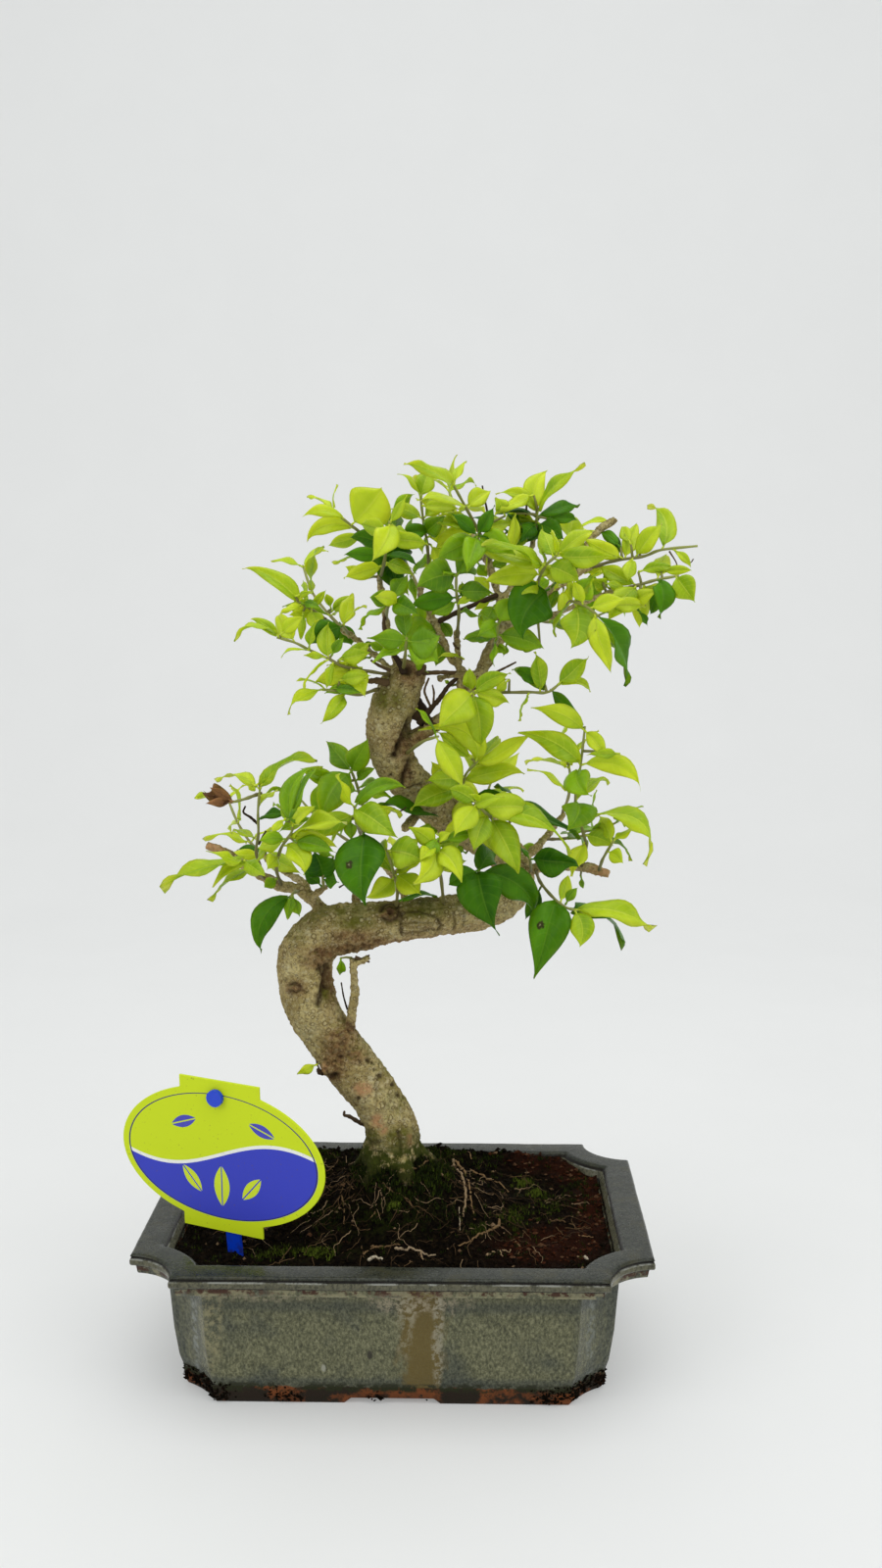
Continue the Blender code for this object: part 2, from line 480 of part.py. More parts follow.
def tube(line, radii, sides, shape=None):
    """Rings square to a line of points, turned as little as may be from one to the next."""
    rings = []
    across = None
    for k, centre in enumerate(line):
        ahead = line[min(k + 1, len(line) - 1)] - line[max(k - 1, 0)]
        ahead.normalize()
        if across is None:
            across = ahead.cross(Vector((0.31, 0.95, 0.05))).normalized()
        across = (across - ahead * across.dot(ahead)).normalized()
        other = ahead.cross(across)
        ring = []
        for i in range(sides):
            angle = 2 * math.pi * i / sides
            radius = radii[k] * (shape(angle, k) if shape else 1.0)
            ring.append(centre + (across * math.cos(angle) + other * math.sin(angle)) * radius)
        rings.append(ring)
    return rings_mesh(rings, fan=False)


def indented_outline(inset, arc_steps):
    """A rectangle with a concave quarter arc at each corner, moved inwards by the inset."""
    half_x, half_y = POT_LENGTH / 2, POT_DEPTH / 2
    radius = CORNER_NOTCH + inset
    start = math.asin(inset / radius)
    points = []
    for sign_x, sign_y, turn in ((1, 1, 1), (-1, 1, -1), (-1, -1, 1), (1, -1, -1)):
        arc = []
        for k in range(arc_steps + 1):
            angle = start + (math.pi / 2 - 2 * start) * k / arc_steps
            arc.append((sign_x * (half_x - radius * math.sin(angle)), sign_y * (half_y - radius * math.cos(angle))))
        points += arc if turn > 0 else arc[::-1]
    return points


def pot_levels():
    """Inset and height of each outline of the pot, up the outside, over the rim and down the inside."""
    top = POT_HEIGHT
    lip = top - LIP_HEIGHT
    band = lip - BAND_HEIGHT
    inner = FLANGE_WIDTH
    return [
        (FOOT_INSET + 0.8, 0), (FOOT_INSET, 1.2), (FOOT_INSET - 0.8, FOOT_HEIGHT - 0.8),
        (BODY_BOTTOM_INSET, FOOT_HEIGHT), (BODY_BOTTOM_INSET - 3.4, 0.5 * band),
        (BODY_TOP_INSET + 0.4, band - 3), (BODY_TOP_INSET, band), (2.6, band), (2.0, lip), (0.6, lip),
        (0, lip + 1), (0, top - 1), (0.9, top), (inner - 1, top), (inner + 0.6, top - 1.4),
        (inner_inset(SHOULDER), SHOULDER), (inner_inset(FLOOR), FLOOR),
    ]


def inner_inset(z):
    """Inset of the pot's inner wall at a height."""
    insets = (BODY_BOTTOM_INSET + WALL, BODY_TOP_INSET + WALL, FLANGE_WIDTH + 0.6)
    return float(np.interp(z, (FLOOR, SHOULDER, POT_HEIGHT - 1.4), insets))


def box_object(name, low, high):
    corners = [(x, y, z) for x in (low[0], high[0]) for y in (low[1], high[1]) for z in (low[2], high[2])]
    faces = [(0, 1, 3, 2), (4, 6, 7, 5), (0, 4, 5, 1), (2, 3, 7, 6), (0, 2, 6, 4), (1, 5, 7, 3)]
    return add_object(name, corners, faces, "glaze")


def cylinder_object(name, centre, radius, low, high, sides=16):
    line = [Vector((*centre, low)), Vector((*centre, high))]
    return add_object(name, *tube(line, [radius, radius], sides), "glaze")


def make_pot():
    """The glazed pot, with a foot recess on each side and two drain holes."""
    rings = [[(x, y, z) for x, y in indented_outline(inset, 6)] for inset, z in pot_levels()]
    pot = add_object("pot", *rings_mesh(rings), "glaze")
    half = FOOT_RECESS_LENGTH / 2
    reach_x, reach_y = POT_LENGTH / 2, POT_DEPTH / 2
    cutters = [
        box_object("recess_long", (-half, -reach_y, -1), (half, reach_y, FOOT_RECESS_HEIGHT)),
        box_object("recess_cross", (-reach_x, -half * 0.7, -1), (reach_x, half * 0.7, FOOT_RECESS_HEIGHT)),
    ]
    boolean(pot, [cutters[0]], "DIFFERENCE")
    boolean(pot, [cutters[1]], "DIFFERENCE")
    for side in (-1, 1):
        centre = (side * DRAIN_SPACING / 2, 0)
        drain = cylinder_object("drain", centre, DRAIN_RADIUS, -2, FLOOR + 3)
        boolean(pot, [drain], "DIFFERENCE")
    return pot


def make_net(name, centre_x):
    """A square plastic net over a drain hole."""
    low = FLOOR + GAP
    half = NET_SIZE / 2
    net = box_object(name, (centre_x - half, -half, low), (centre_x + half, half, low + NET_THICKNESS))
    pitch = (NET_SIZE - NET_BAR) / NET_CELLS
    cell = pitch - NET_BAR
    cutters = []
    for i in range(NET_CELLS):
        for j in range(NET_CELLS):
            x = centre_x - half + NET_BAR + i * pitch
            y = -half + NET_BAR + j * pitch
            cutters.append(box_object("cell", (x, y, low - 1), (x + cell, y + cell, low + NET_THICKNESS + 1)))
    boolean(net, cutters, "DIFFERENCE")
    net.data.materials.clear()
    net.data.materials.append(material("net_plastic"))
    return net


def ground(x, y):
    """Height of the soil's surface."""
    mound = MOUND_HEIGHT * math.exp(-(x * x + 1.3 * y * y) / MOUND_SPREAD ** 2)
    ripple = 0.7 * math.sin(0.21 * x + 1.3) * math.cos(0.17 * y) + 0.5 * math.sin(0.37 * x - 0.31 * y)
    return SOIL_EDGE + mound + ripple


def soil_rings():
    """Outlines of the soil: up the pot's inner wall, then inwards over the mound."""
    arc_steps = 4
    rings = []
    bottom = FLOOR + 2 * GAP + NET_THICKNESS
    for z in (bottom, SHOULDER, SOIL_EDGE - 1.5):
        rings.append([(x, y, z) for x, y in indented_outline(inner_inset(z) + GAP, arc_steps)])
    edge = indented_outline(inner_inset(SOIL_EDGE) + GAP + 0.6, arc_steps)
    for k in range(SOIL_RINGS):
        share = 1 - k / SOIL_RINGS
        rings.append([(x * share, y * share, ground(x * share, y * share)) for x, y in edge])
    return rings


def trunk_shape(angle, ring):
    """Knobs and hollows of the trunk's girth."""
    return (1 + 0.045 * math.sin(3 * angle + 0.7 * ring) + 0.035 * math.sin(2 * angle - 0.45 * ring)
            + 0.025 * math.sin(5 * angle + 1.9 * ring))


def trunk_tubes(grow=0.0):
    """Corners and triangles of the trunk, its limbs and its surface roots, each a closed tube."""
    line = smooth_curve([(*seen(x, z, depth), radius) for x, z, depth, radius in TRUNK], TRUNK_RINGS)
    centres = [Vector(p[:3]) for p in line]
    tubes = [tube(centres, [p[3] + grow for p in line], TRUNK_SIDES, trunk_shape)]
    for start, end, points in LIMBS:
        centres = [seen(*p) for p in points]
        tubes.append(limb_tube(centres, start + grow, end + grow))
    for start, end, direction, reach in ROOTS:
        tubes.append(limb_tube(root_line(direction, reach), start + grow, end + grow))
    return tubes


def root_line(direction, reach):
    """A root's points, from inside the trunk's foot down the mound and into it."""
    foot = seen(0.5, ROOT_TOP, 0)
    out = Vector((math.cos(math.radians(direction)), math.sin(math.radians(direction)), 0))
    line = [foot + out * 4]
    for share, height in ((0.6, -0.8), (0.85, -2.4), (1.0, -5.5)):
        place = foot + out * reach * share
        line.append(Vector((place.x, place.y, ground(place.x, place.y) + height)))
    return line


def limb_tube(points, start, end):
    """A tapering limb through its points."""
    last = len(points) - 1
    return tube(points, [start + (end - start) * k / last for k in range(last + 1)], LIMB_SIDES)


def make_trunk():
    parts = [add_object(f"wood_{k}", *mesh, "bark") for k, mesh in enumerate(trunk_tubes())]
    trunk = parts[0]
    trunk.name = "trunk"
    boolean(trunk, parts[1:], "UNION")
    keep_largest(trunk)
    return trunk


def make_soil(stake_cutter):
    """The soil, with a socket for the trunk's foot and roots and a slot for the label's stake."""
    soil = add_object("soil", *rings_mesh(soil_rings()), "soil")
    buried = trunk_tubes(GAP)
    foot = [add_object(f"socket_{k}", *buried[k], "soil") for k in range(len(buried) - len(ROOTS), len(buried))]
    foot.append(add_object("socket_trunk", *buried[0], "soil"))
    boolean(soil, foot, "DIFFERENCE")
    boolean(soil, [stake_cutter], "DIFFERENCE")
    keep_largest(soil)
    return soil


def label_frame():
    """Where the peg is, and the plate's right, up and outward directions."""
    up = Vector((0, -LABEL_LEAN, 1)).normalized()
    right = Vector((math.cos(LABEL_YAW), -math.sin(LABEL_YAW), 0))
    right = (right - up * right.dot(up)).normalized()
    return in_pot_frame(PEG_PLACE), right, up, right.cross(up)


def label_outline():
    """The plate's outline about its own middle: an oval with a square tab above and below."""
    corner = math.acos(LABEL_TAB_HALF_WIDTH / LABEL_HALF_WIDTH)
    points = []
    for middle in (0, math.pi):
        for k in range(13):
            angle = middle - corner + 2 * corner * k / 12
            points.append((LABEL_HALF_WIDTH * math.cos(angle), LABEL_HALF_HEIGHT * math.sin(angle)))
        side = 1 if middle == 0 else -1
        points.append((side * LABEL_TAB_HALF_WIDTH, side * LABEL_TAB_TOP))
        points.append((-side * LABEL_TAB_HALF_WIDTH, side * LABEL_TAB_TOP))
    return points


def prism(name, outline, frame, low, high, slot):
    """An outline in the label's plane, made thick along its outward direction."""
    origin, right, up, out = frame
    rings = [[origin + right * u + up * v + out * w for u, v in outline] for w in (low, high)]
    return add_object(name, *rings_mesh(rings), slot)


def circle(radius, steps=14):
    return [(radius * math.cos(2 * math.pi * k / steps), radius * math.sin(2 * math.pi * k / steps))
            for k in range(steps)]


def make_label():
    """The oval plate, hung on the peg of its stake."""
    frame = label_frame()
    shift_u, shift_v = PEG_ON_PLATE
    outline = [(u - shift_u, v - shift_v) for u, v in label_outline()]
    plate = prism("label_plate", outline, frame, 0, LABEL_THICKNESS, "label_face")
    hole = prism("label_hole", circle(PEG_RADIUS + GAP), frame, -1, LABEL_THICKNESS + 1, "label_face")
    boolean(plate, [hole], "DIFFERENCE")
    return plate


def stake_outline(grow):
    """The stake's blade from above the peg down to its point, about the peg, before its swing."""
    half = STAKE_WIDTH / 2 + grow
    return [(-half, 3.6 + grow), (-half, -STAKE_LENGTH + 9), (0, -STAKE_LENGTH - grow), (half, -STAKE_LENGTH + 9),
            (half, 3.6 + grow)]


def make_stake(grow=0.0):
    """The stake with its peg and round head, or the slot that it needs."""
    frame = label_frame()
    cos, sin = math.cos(STAKE_SWING), math.sin(STAKE_SWING)
    blade = [(u * cos - v * sin, u * sin + v * cos) for u, v in stake_outline(grow)]
    name = "stake_slot" if grow else "label_stake"
    stake = prism(name, blade, frame, -GAP - STAKE_THICKNESS - grow, -GAP + grow, "stake_plastic")
    if not grow:
        head_low = LABEL_THICKNESS + GAP
        peg = prism("peg", circle(PEG_RADIUS), frame, -GAP - 0.7, head_low + 0.7, "stake_plastic")
        head = prism("peg_head", circle(PEG_HEAD_RADIUS), frame, head_low, head_low + PEG_HEAD_HEIGHT, "stake_plastic")
        boolean(stake, [peg, head], "UNION")
    return stake


def tree_of(vertices, faces):
    return BVHTree.FromPolygons([Vector(v) for v in vertices], faces)


def object_tree(thing):
    """A search tree of the object's surface, in millimetres."""
    vertices = [v.co / MM for v in thing.data.vertices]
    return BVHTree.FromPolygons(vertices, [tuple(p.vertices) for p in thing.data.polygons])


def inside(point, tree):
    """True where a ray from the point leaves the closed surface more often than it enters it."""
    ahead = Vector((0.36, 0.21, 0.91)).normalized()
    crossings = 0
    place = point
    while True:
        hit, _, _, _ = tree.ray_cast(place, ahead)
        if hit is None:
            return crossings % 2 == 1
        crossings += 1
        place = hit + ahead * 0.001


def outside(point, wood, margin):
    """True where the point lies at least the margin outside every piece of wood."""
    return all(tree.find_nearest(point)[3] >= margin and not inside(point, tree) for tree in wood)


def along(points, place):
    """The point at a place counted in points, and the direction there."""
    i = min(int(place), len(points) - 2)
    ahead = (points[i + 1] - points[i]).normalized()
    return points[i].lerp(points[i + 1], place - i), ahead


def seated_stem(points, wood):
    """The stem's points from where it leaves the wood, with a small gap."""
    step = 0.02
    start = 0.0
    place = 0.0
    while place < 1.0:
        centre, ahead = along(points, place)
        across = ahead.orthogonal().normalized()
        other = ahead.cross(across)
        ring = [centre + (across * math.cos(a) + other * math.sin(a)) * TWIG_BASE
                for a in (2 * math.pi * i / 8 for i in range(8))]
        if not all(outside(p, wood, GAP) for p in ring):
            start = place + step
        place += step
    first, _ = along(points, start)
    return [first] + points[1:]


def spread_stem(stem):
    """The stem's points in space, with their depths drawn out from that of its seat."""
    seat = stem[0][2]
    return [seen(x, z, seat + (depth - seat) * STEM_SPREAD) for x, z, depth in stem]


def stem_mesh(points):
    """A slim stem that swells just past its seat and tapers to its tip."""
    ahead = (points[1] - points[0]).normalized()
    line = [points[0], points[0] + ahead * min(1.2, 0.4 * (points[1] - points[0]).length)] + points[1:]
    last = len(line) - 1
    radii = [TWIG_BASE] + [TWIG_RADIUS + (TWIG_TIP - TWIG_RADIUS) * (k - 1) / (last - 1) for k in range(1, last + 1)]
    return tube(line, radii, TWIG_SIDES)


def facing_eye(root, tip, width):
    """The upward normal and full width of a leaf that looks as wide as stated from the eye."""
    axis = (tip - root).normalized()
    length = (tip - root).length
    to_eye = (EYE - root).normalized()
    flat = (to_eye - axis * to_eye.dot(axis)).normalized()
    edge = axis.cross(flat)
    if edge.z < 0:
        edge = -edge
    full = max(width, WIDTH_SHARE * length)
    roll = math.acos(min(1.0, width / full))
    return flat * math.cos(roll) + edge * math.sin(roll), full


def blade_stations(length):
    """Place along the blade and share of its width at each station between root and tip."""
    if length < SHORT_BLADE:
        return [(0.34, 0.95), (0.7, 0.72)]
    return [(0.26, 0.84), (0.54, 1.0), (0.82, 0.5)]


def blade_mesh(root, tip, normal, width, grow=0.0):
    """An arching blade, flat above and keeled below, from its slim stalk's root in the stem to its pointed tip."""
    axis = tip - root
    side = normal.cross(axis).normalized()
    bow = root.lerp(tip, 0.5) + normal * ARCH * 2 * axis.length
    stations = [(0.0, None), (PETIOLE_LENGTH / axis.length, None)] + blade_stations(axis.length)
    vertices, faces = [], []
    for place, share in stations:
        centre = root * (1 - place) ** 2 + bow * 2 * place * (1 - place) + tip * place ** 2
        ahead = ((bow - root) * (1 - place) + (tip - bow) * place).normalized()
        up = ahead.cross(side).normalized()
        half = grow + (PETIOLE_HALF_WIDTH if share is None else share * width / 2)
        rise = grow + (PETIOLE_RISE if share is None else 0.25 * KEEL_DEPTH)
        drop = grow + (PETIOLE_DROP if share is None else 0.75 * KEEL_DEPTH)
        vertices += [centre + side * half + up * rise, centre - side * half + up * rise, centre - up * drop]
    for k in range(len(stations) - 1):
        left, right, keel = range(3 * k, 3 * k + 3)
        for a, b in ((left, right), (right, keel), (keel, left)):
            faces += [(a, b, b + 3), (a, b + 3, a + 3)]
    end = len(vertices)
    vertices.append(tip)
    faces += [(end - 3, end - 2, end), (end - 2, end - 1, end), (end - 1, end - 3, end), (0, 2, 1)]
    return vertices, faces


def crosses(tree, others):
    return any(tree.overlap(other) for other in others)


def beyond_stalk(mesh):
    """A search tree of the blade without its stalk, which may run through its own stem and its neighbours' roots."""
    vertices, faces = mesh
    return tree_of(vertices, faces[STALK_FACES:-1])


def bent_clear(root, tip, shape, others, siblings):
    """The leaf's tip, moved along the line of sight until the leaf crosses nothing, with its normal and width.

    Where no place is clear of the shoot's own stem and leaves too, the leaf is clear of all other shoots alone."""
    sight = (tip - EYE).normalized()
    second_best = None
    for shift in BEND_TRIES:
        moved = tip + sight * shift
        normal, width = shape(root, moved)
        mesh = blade_mesh(root, moved, normal, width, CLEARANCE)
        if crosses(tree_of(*mesh), others):
            continue
        if not crosses(beyond_stalk(mesh), siblings):
            return moved, normal, width
        second_best = second_best or (moved, normal, width)
    return second_best


def leaf_root(points, place):
    """A leaf's root inside the stem, short of the stem's end, and the stem's direction there."""
    root, ahead = along(points, place)
    to_end = (points[-1] - root).length
    if to_end < ROOT_SUNK:
        root = root - ahead * (ROOT_SUNK - to_end)
    return root, ahead


def shown_leaves(points, leaves):
    """Root, tip and shape rule of each leaf of a shoot in the front view."""
    made = []
    for place, x, z, depth, width in leaves:
        root, _ = leaf_root(points, place)
        tip = seen(x, z, root.y + depth * LEAF_SPREAD)
        made.append((root, tip, lambda r, t, w=width * SEEN_WIDTH: facing_eye(r, t, w)))
    return made


def facing_out(root, tip):
    """The normal and width of a leaf that looks up and away from the middle of the tree."""
    axis = (tip - root).normalized()
    outward = Vector((root.x - 20, root.y, 0)).normalized()
    look = Vector((0, 0, 0.8)) + outward * 0.55
    normal = (look - axis * look.dot(axis)).normalized()
    return normal, WIDTH_SHARE * (tip - root).length


def ruled_leaves(points, length, pairs, draw):
    """Opposite pairs up a stem, each pair turned a quarter from the last, and one pair at the tip."""
    made = []
    for k in range(pairs):
        place = (len(points) - 1) * (0.34 + 0.66 * k / (pairs - 1))
        root, ahead = leaf_root(points, place)
        across = ahead.cross(Vector((0, 0, 1))).normalized()
        other = ahead.cross(across)
        turn = 0.5 * math.pi * k + draw.uniform(-0.3, 0.3)
        for side in (0, math.pi):
            out = across * math.cos(turn + side) + other * math.sin(turn + side)
            reach = length * draw.uniform(0.8, 1.1) * (0.8 if k == pairs - 1 else 1.0)
            tip = root + (out + ahead * 0.65 - Vector((0, 0, 0.12))).normalized() * reach
            made.append((root, tip, facing_out))
    return made


def make_shoots(trunk, fixed):
    """Every leafy shoot, seated on the wood, with its leaves bent clear of all other shoots."""
    wood = [object_tree(trunk)]
    draw = random.Random(RULED_SEED)
    plans, stems, stem_trees = [], {}, {}
    shown = [(name, slot, stem, leaves, None) for name, slot, stem, leaves in SHOOTS]
    ruled = [(name, slot, stem, None, (length, pairs)) for name, slot, length, pairs, stem in RULED_SHOOTS]
    for name, slot, stem, leaves, rule in shown + ruled:
        points = seated_stem(spread_stem(stem), wood + list(stem_trees.values()))
        stems[name] = stem_mesh(points)
        stem_trees[name] = tree_of(*stems[name])
        plans.append((name, slot, shown_leaves(points, leaves) if leaves else ruled_leaves(points, *rule, draw)))
    placed = {name: [] for name in stems}
    for name, slot, leaves in plans:
        others = wood + fixed + [stem_trees[n] for n in stems if n != name]
        others += [leaf for n in placed if n != name for leaf in placed[n]]
        blades = []
        siblings = [stem_trees[name]]
        for root, tip, shape in leaves:
            found = bent_clear(root, tip, shape, others, siblings)
            if found is None:
                continue
            moved, normal, width = found
            blades.append(blade_mesh(root, moved, normal, width))
            placed[name].append(tree_of(*blades[-1]))
            siblings.append(beyond_stalk(blades[-1]))
        shoot = add_object(name, *stems[name], slot)
        parts = [add_object(f"{name}_leaf_{k}", *mesh, slot) for k, mesh in enumerate(blades)]
        boolean(shoot, parts, "UNION")
        keep_largest(shoot)


def stand_on_origin():
    """Moves the whole model so that its origin is the middle of its base."""
    things = [t for t in bpy.data.objects if t.type == "MESH"]
    corners = np.array([v.co for t in things for v in t.data.vertices])
    low, high = corners.min(0), corners.max(0)
    shift = Vector((-(low[0] + high[0]) / 2, -(low[1] + high[1]) / 2, -low[2]))
    for t in things:
        t.data.transform(Matrix.Translation(shift))


def main():
    clear_scene()
    pot = make_pot()
    make_net("drain_net_left", -DRAIN_SPACING / 2)
    make_net("drain_net_right", DRAIN_SPACING / 2)
    trunk = make_trunk()
    plate = make_label()
    stake = make_stake()
    soil = make_soil(make_stake(GAP))
    fixed = [object_tree(t) for t in (pot, soil, plate, stake)]
    make_shoots(trunk, fixed)
    stand_on_origin()


main()
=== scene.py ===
"""The visible surfaces of a chinese privet bonsai in its pot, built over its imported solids."""

import math
import random

import bmesh
import bpy
import numpy as np
from mathutils import Matrix, Vector, kdtree, noise


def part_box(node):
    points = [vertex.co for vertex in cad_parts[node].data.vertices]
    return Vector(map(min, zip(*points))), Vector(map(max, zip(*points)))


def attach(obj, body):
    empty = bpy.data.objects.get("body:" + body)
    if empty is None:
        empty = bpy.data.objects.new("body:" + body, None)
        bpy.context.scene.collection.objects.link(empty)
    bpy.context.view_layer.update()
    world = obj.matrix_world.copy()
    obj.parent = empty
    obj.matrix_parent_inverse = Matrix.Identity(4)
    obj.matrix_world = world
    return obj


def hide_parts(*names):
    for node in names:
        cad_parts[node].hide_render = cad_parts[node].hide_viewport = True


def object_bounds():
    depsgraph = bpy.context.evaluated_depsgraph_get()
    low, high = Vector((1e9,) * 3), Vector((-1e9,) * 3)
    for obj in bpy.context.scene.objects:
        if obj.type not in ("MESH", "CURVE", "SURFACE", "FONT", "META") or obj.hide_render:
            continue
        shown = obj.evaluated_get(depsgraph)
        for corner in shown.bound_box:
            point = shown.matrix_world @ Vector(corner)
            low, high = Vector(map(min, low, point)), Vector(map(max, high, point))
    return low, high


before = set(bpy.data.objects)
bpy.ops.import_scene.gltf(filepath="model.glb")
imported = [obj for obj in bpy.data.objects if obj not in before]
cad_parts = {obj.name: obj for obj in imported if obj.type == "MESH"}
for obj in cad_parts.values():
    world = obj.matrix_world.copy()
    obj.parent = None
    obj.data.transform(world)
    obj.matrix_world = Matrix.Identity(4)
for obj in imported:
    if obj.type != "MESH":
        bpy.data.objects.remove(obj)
cad_box = [list(corner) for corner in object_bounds()]

# Lengths are in millimetres about the pot's own middle, and go to the row's frame only as a mesh is made.
MM = 0.001
POT_LOW, POT_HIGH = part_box("pot")
POT_MIDDLE = Vector(((POT_LOW.x + POT_HIGH.x) / 2, (POT_LOW.y + POT_HIGH.y) / 2, 0.0))

# The pot
POT_LENGTH = 200.0
POT_DEPTH = 136.0
POT_HEIGHT = 59.5
CORNER_NOTCH = 18.5
FLANGE_WIDTH = 11.5
LIP_HEIGHT = 5.0
BAND_HEIGHT = 4.0
BODY_TOP_INSET = 12.0
BODY_BOTTOM_INSET = 17.5
FOOT_INSET = 18.2
FOOT_HEIGHT = 7.5
WALL = 5.5
SHOULDER = 49.0
FLOOR = 8.0
FOOT_RECESS_LENGTH = 34.0
FOOT_RECESS_HEIGHT = 2.5
DRAIN_RADIUS = 7.0
DRAIN_SPACING = 84.0
NET_THICKNESS = 0.9
GAP = 0.32

# The soil
SOIL_EDGE = 54.0
MOUND_HEIGHT = 27.0
MOUND_SPREAD = 34.0

# Wood, stems and leaves
TRUNK_RINGS = 38
TWIG_BASE = 0.6
TWIG_RADIUS = 0.95
TWIG_TIP = 0.65
ROOT_SUNK = 1.3
WIDTH_SHARE = 0.44
STEM_SPREAD = 1.6
LEAF_SPREAD = 1.25
SEEN_WIDTH = 1.08

# The plant tag
LABEL_HALF_WIDTH = 44.0
LABEL_HALF_HEIGHT = 28.0
LABEL_TAB_HALF_WIDTH = 17.3
LABEL_TAB_TOP = 30.8
LABEL_THICKNESS = 1.0
LABEL_YAW = math.radians(21)
LABEL_LEAN = 0.07
PEG_PLACE = (-63.6, -43.0, 118.3)
PEG_ON_PLATE = (-1.1, 24.2)
PEG_RADIUS = 1.9

# The eye that the picture is read from, and the pot's place and turn in that reading
READING_EYE = Vector((21.0, -580.0, 308.0))
POT_PLACE = Vector((3.3, -1.5, -1.5))
POT_TURN = math.radians(-1.2)

# Trunk centre line: x, z, depth, radius
TRUNK = [
    (2, 28, 0, 10.5), (1.5, 62, 0, 11.5), (0.5, 76, 0, 12), (0.5, 88, 0, 11), (-4.5, 100, 0, 10),
    (-11, 110, 0, 10.5), (-19, 121, -1, 10.5), (-25, 130, -2, 10), (-31, 141, -3, 10.5),
    (-34, 152, -3, 10.5), (-33.5, 162, -3, 10.5), (-28, 170.5, -2, 10), (-19, 173.5, -1, 10),
    (-8, 174.5, 0, 9.3), (0, 175.7, 1, 8.6), (10, 177, 2, 8.3), (20, 178, 3, 8), (30, 179.5, 4, 8),
    (40, 182, 6, 7.6), (48, 187, 10, 7.4), (51, 195, 15, 7.3), (46.5, 203.5, 18, 7.4), (36, 211, 17, 7.6),
    (24, 219, 13, 7.8), (14, 227, 8, 8), (6, 236, 4, 8.2), (1, 246, 1, 8.4), (0.5, 256, 0, 8.5),
    (3, 266, 0, 8.6), (7.5, 275, 0, 7.2), (9, 281, 0, 5.2),
]

# Limbs that grow from the trunk: start radius, end radius, then x, z, depth of each point
LIMBS = [
    (2.7, 1.7, [(-24, 176, 0), (-33, 187.5, 0), (-46, 192, -3), (-64, 203, -6), (-73, 207.5, -8)]),
    (1.7, 1.2, [(-33, 187, 0), (-33.5, 191.5, 6), (-41, 196, 14), (-50, 203, 22)]),
    (1.6, 1.2, [(-29, 181, 0), (-30.5, 186, -4), (-24.5, 190.5, -6)]),
    (1.7, 1.1, [(-13, 178, 1), (-13, 196, 6), (-11, 210, 7), (-9.5, 222.5, 6)]),
    (1.8, 1.2, [(8, 178, 4), (5, 190, 18), (-2, 199, 32), (-12, 207, 44)]),
    (2.5, 1.7, [(48, 189, 11), (58, 197.5, 8), (77, 198.5, 4), (88.5, 195.5, 2)]),
    (2.0, 1.2, [(50, 198, 16), (58, 205, 28), (64, 212, 42), (70, 220, 52)]),
    (1.7, 1.2, [(44, 204, 17), (46, 211, 6), (46, 215, -6), (42, 218, -16)]),
    (1.6, 1.1, [(27, 216, 13), (28, 222, 8), (29, 228, 5)]),
    (2.2, 1.7, [(17, 224, 10), (11, 219, 4), (6, 213.5, -3)]),
    (3.2, 2.1,
     [(3, 246, 1), (16, 254, 0), (26, 262, 0), (34, 271, 0), (40, 284, 0), (46, 294, 0), (52, 300, 0)]),
    (1.9, 1.1, [(50, 298, 0), (60, 306, -1), (70, 312, -2), (80, 317.5, -3)]),
    (1.3, 1.0, [(52, 299, 0), (57, 297, -2), (65, 298.5, -6), (77, 304, -9), (89, 308, -10)]),
    (1.7, 1.0, [(45, 292, 0), (44, 304, 2), (41, 315, 2), (39.5, 325, 1)]),
    (1.3, 1.0, [(44, 303, 2), (51, 314, 4), (56, 324, 4), (57.5, 331, 3)]),
    (1.7, 1.0,
     [(33, 273, 0), (24.5, 282.5, 0), (22, 288, 0), (16.5, 300.5, 0), (13, 307.5, 0), (17, 317.5, 0)]),
    (1.5, 1.0, [(6, 272, 2), (1, 288, 3), (-1, 300, 3), (-3, 313, 2), (-4.5, 325.5, 2)]),
    (1.4, 0.9, [(5, 274, 2), (-6, 284, 4), (-16, 292, 3), (-25, 297.5, 1)]),
    (1.8, 1.1, [(9, 270, 4), (14, 284, 16), (16, 296, 28), (14, 306, 38)]),
    (1.8, 1.1, [(36, 276, 2), (44, 288, 16), (52, 298, 30), (60, 306, 42)]),
    (1.4, 1.0, [(41, 315, 2), (36, 325, 12), (30, 334, 22)]),
    (1.3, 1.1, [(29, 266, 0), (28, 278, -3), (27, 293, -4)]),
    (2.0, 1.4, [(-17, 127, -4), (-15, 139, -11), (-14, 148, -12), (-15, 161, -11)]),
    (1.2, 1.1, [(-14.8, 158, -11.3), (-8, 161.5, -12)]),
    (1.2, 1.0, [(20, 274, 0), (28, 275.5, -4), (36, 276, -9)]),
    (1.4, 1.2, [(73, 314, -2), (80, 329, 0), (89, 336, 0)]),
]

# Buttress roots: start radius, end radius, direction in degrees about the trunk's foot, and reach
ROOTS = [
    (5.0, 2.4, -62, 19), (5.0, 2.4, -122, 18), (4.6, 2.2, 172, 19), (4.6, 2.2, 18, 20), (4.4, 2.2, 95, 17),
]
ROOT_TOP = 86.0

YOUNG, MATURE, OLD, DEAD = "young_leaf", "mature_leaf", "old_leaf", "dead_leaf"

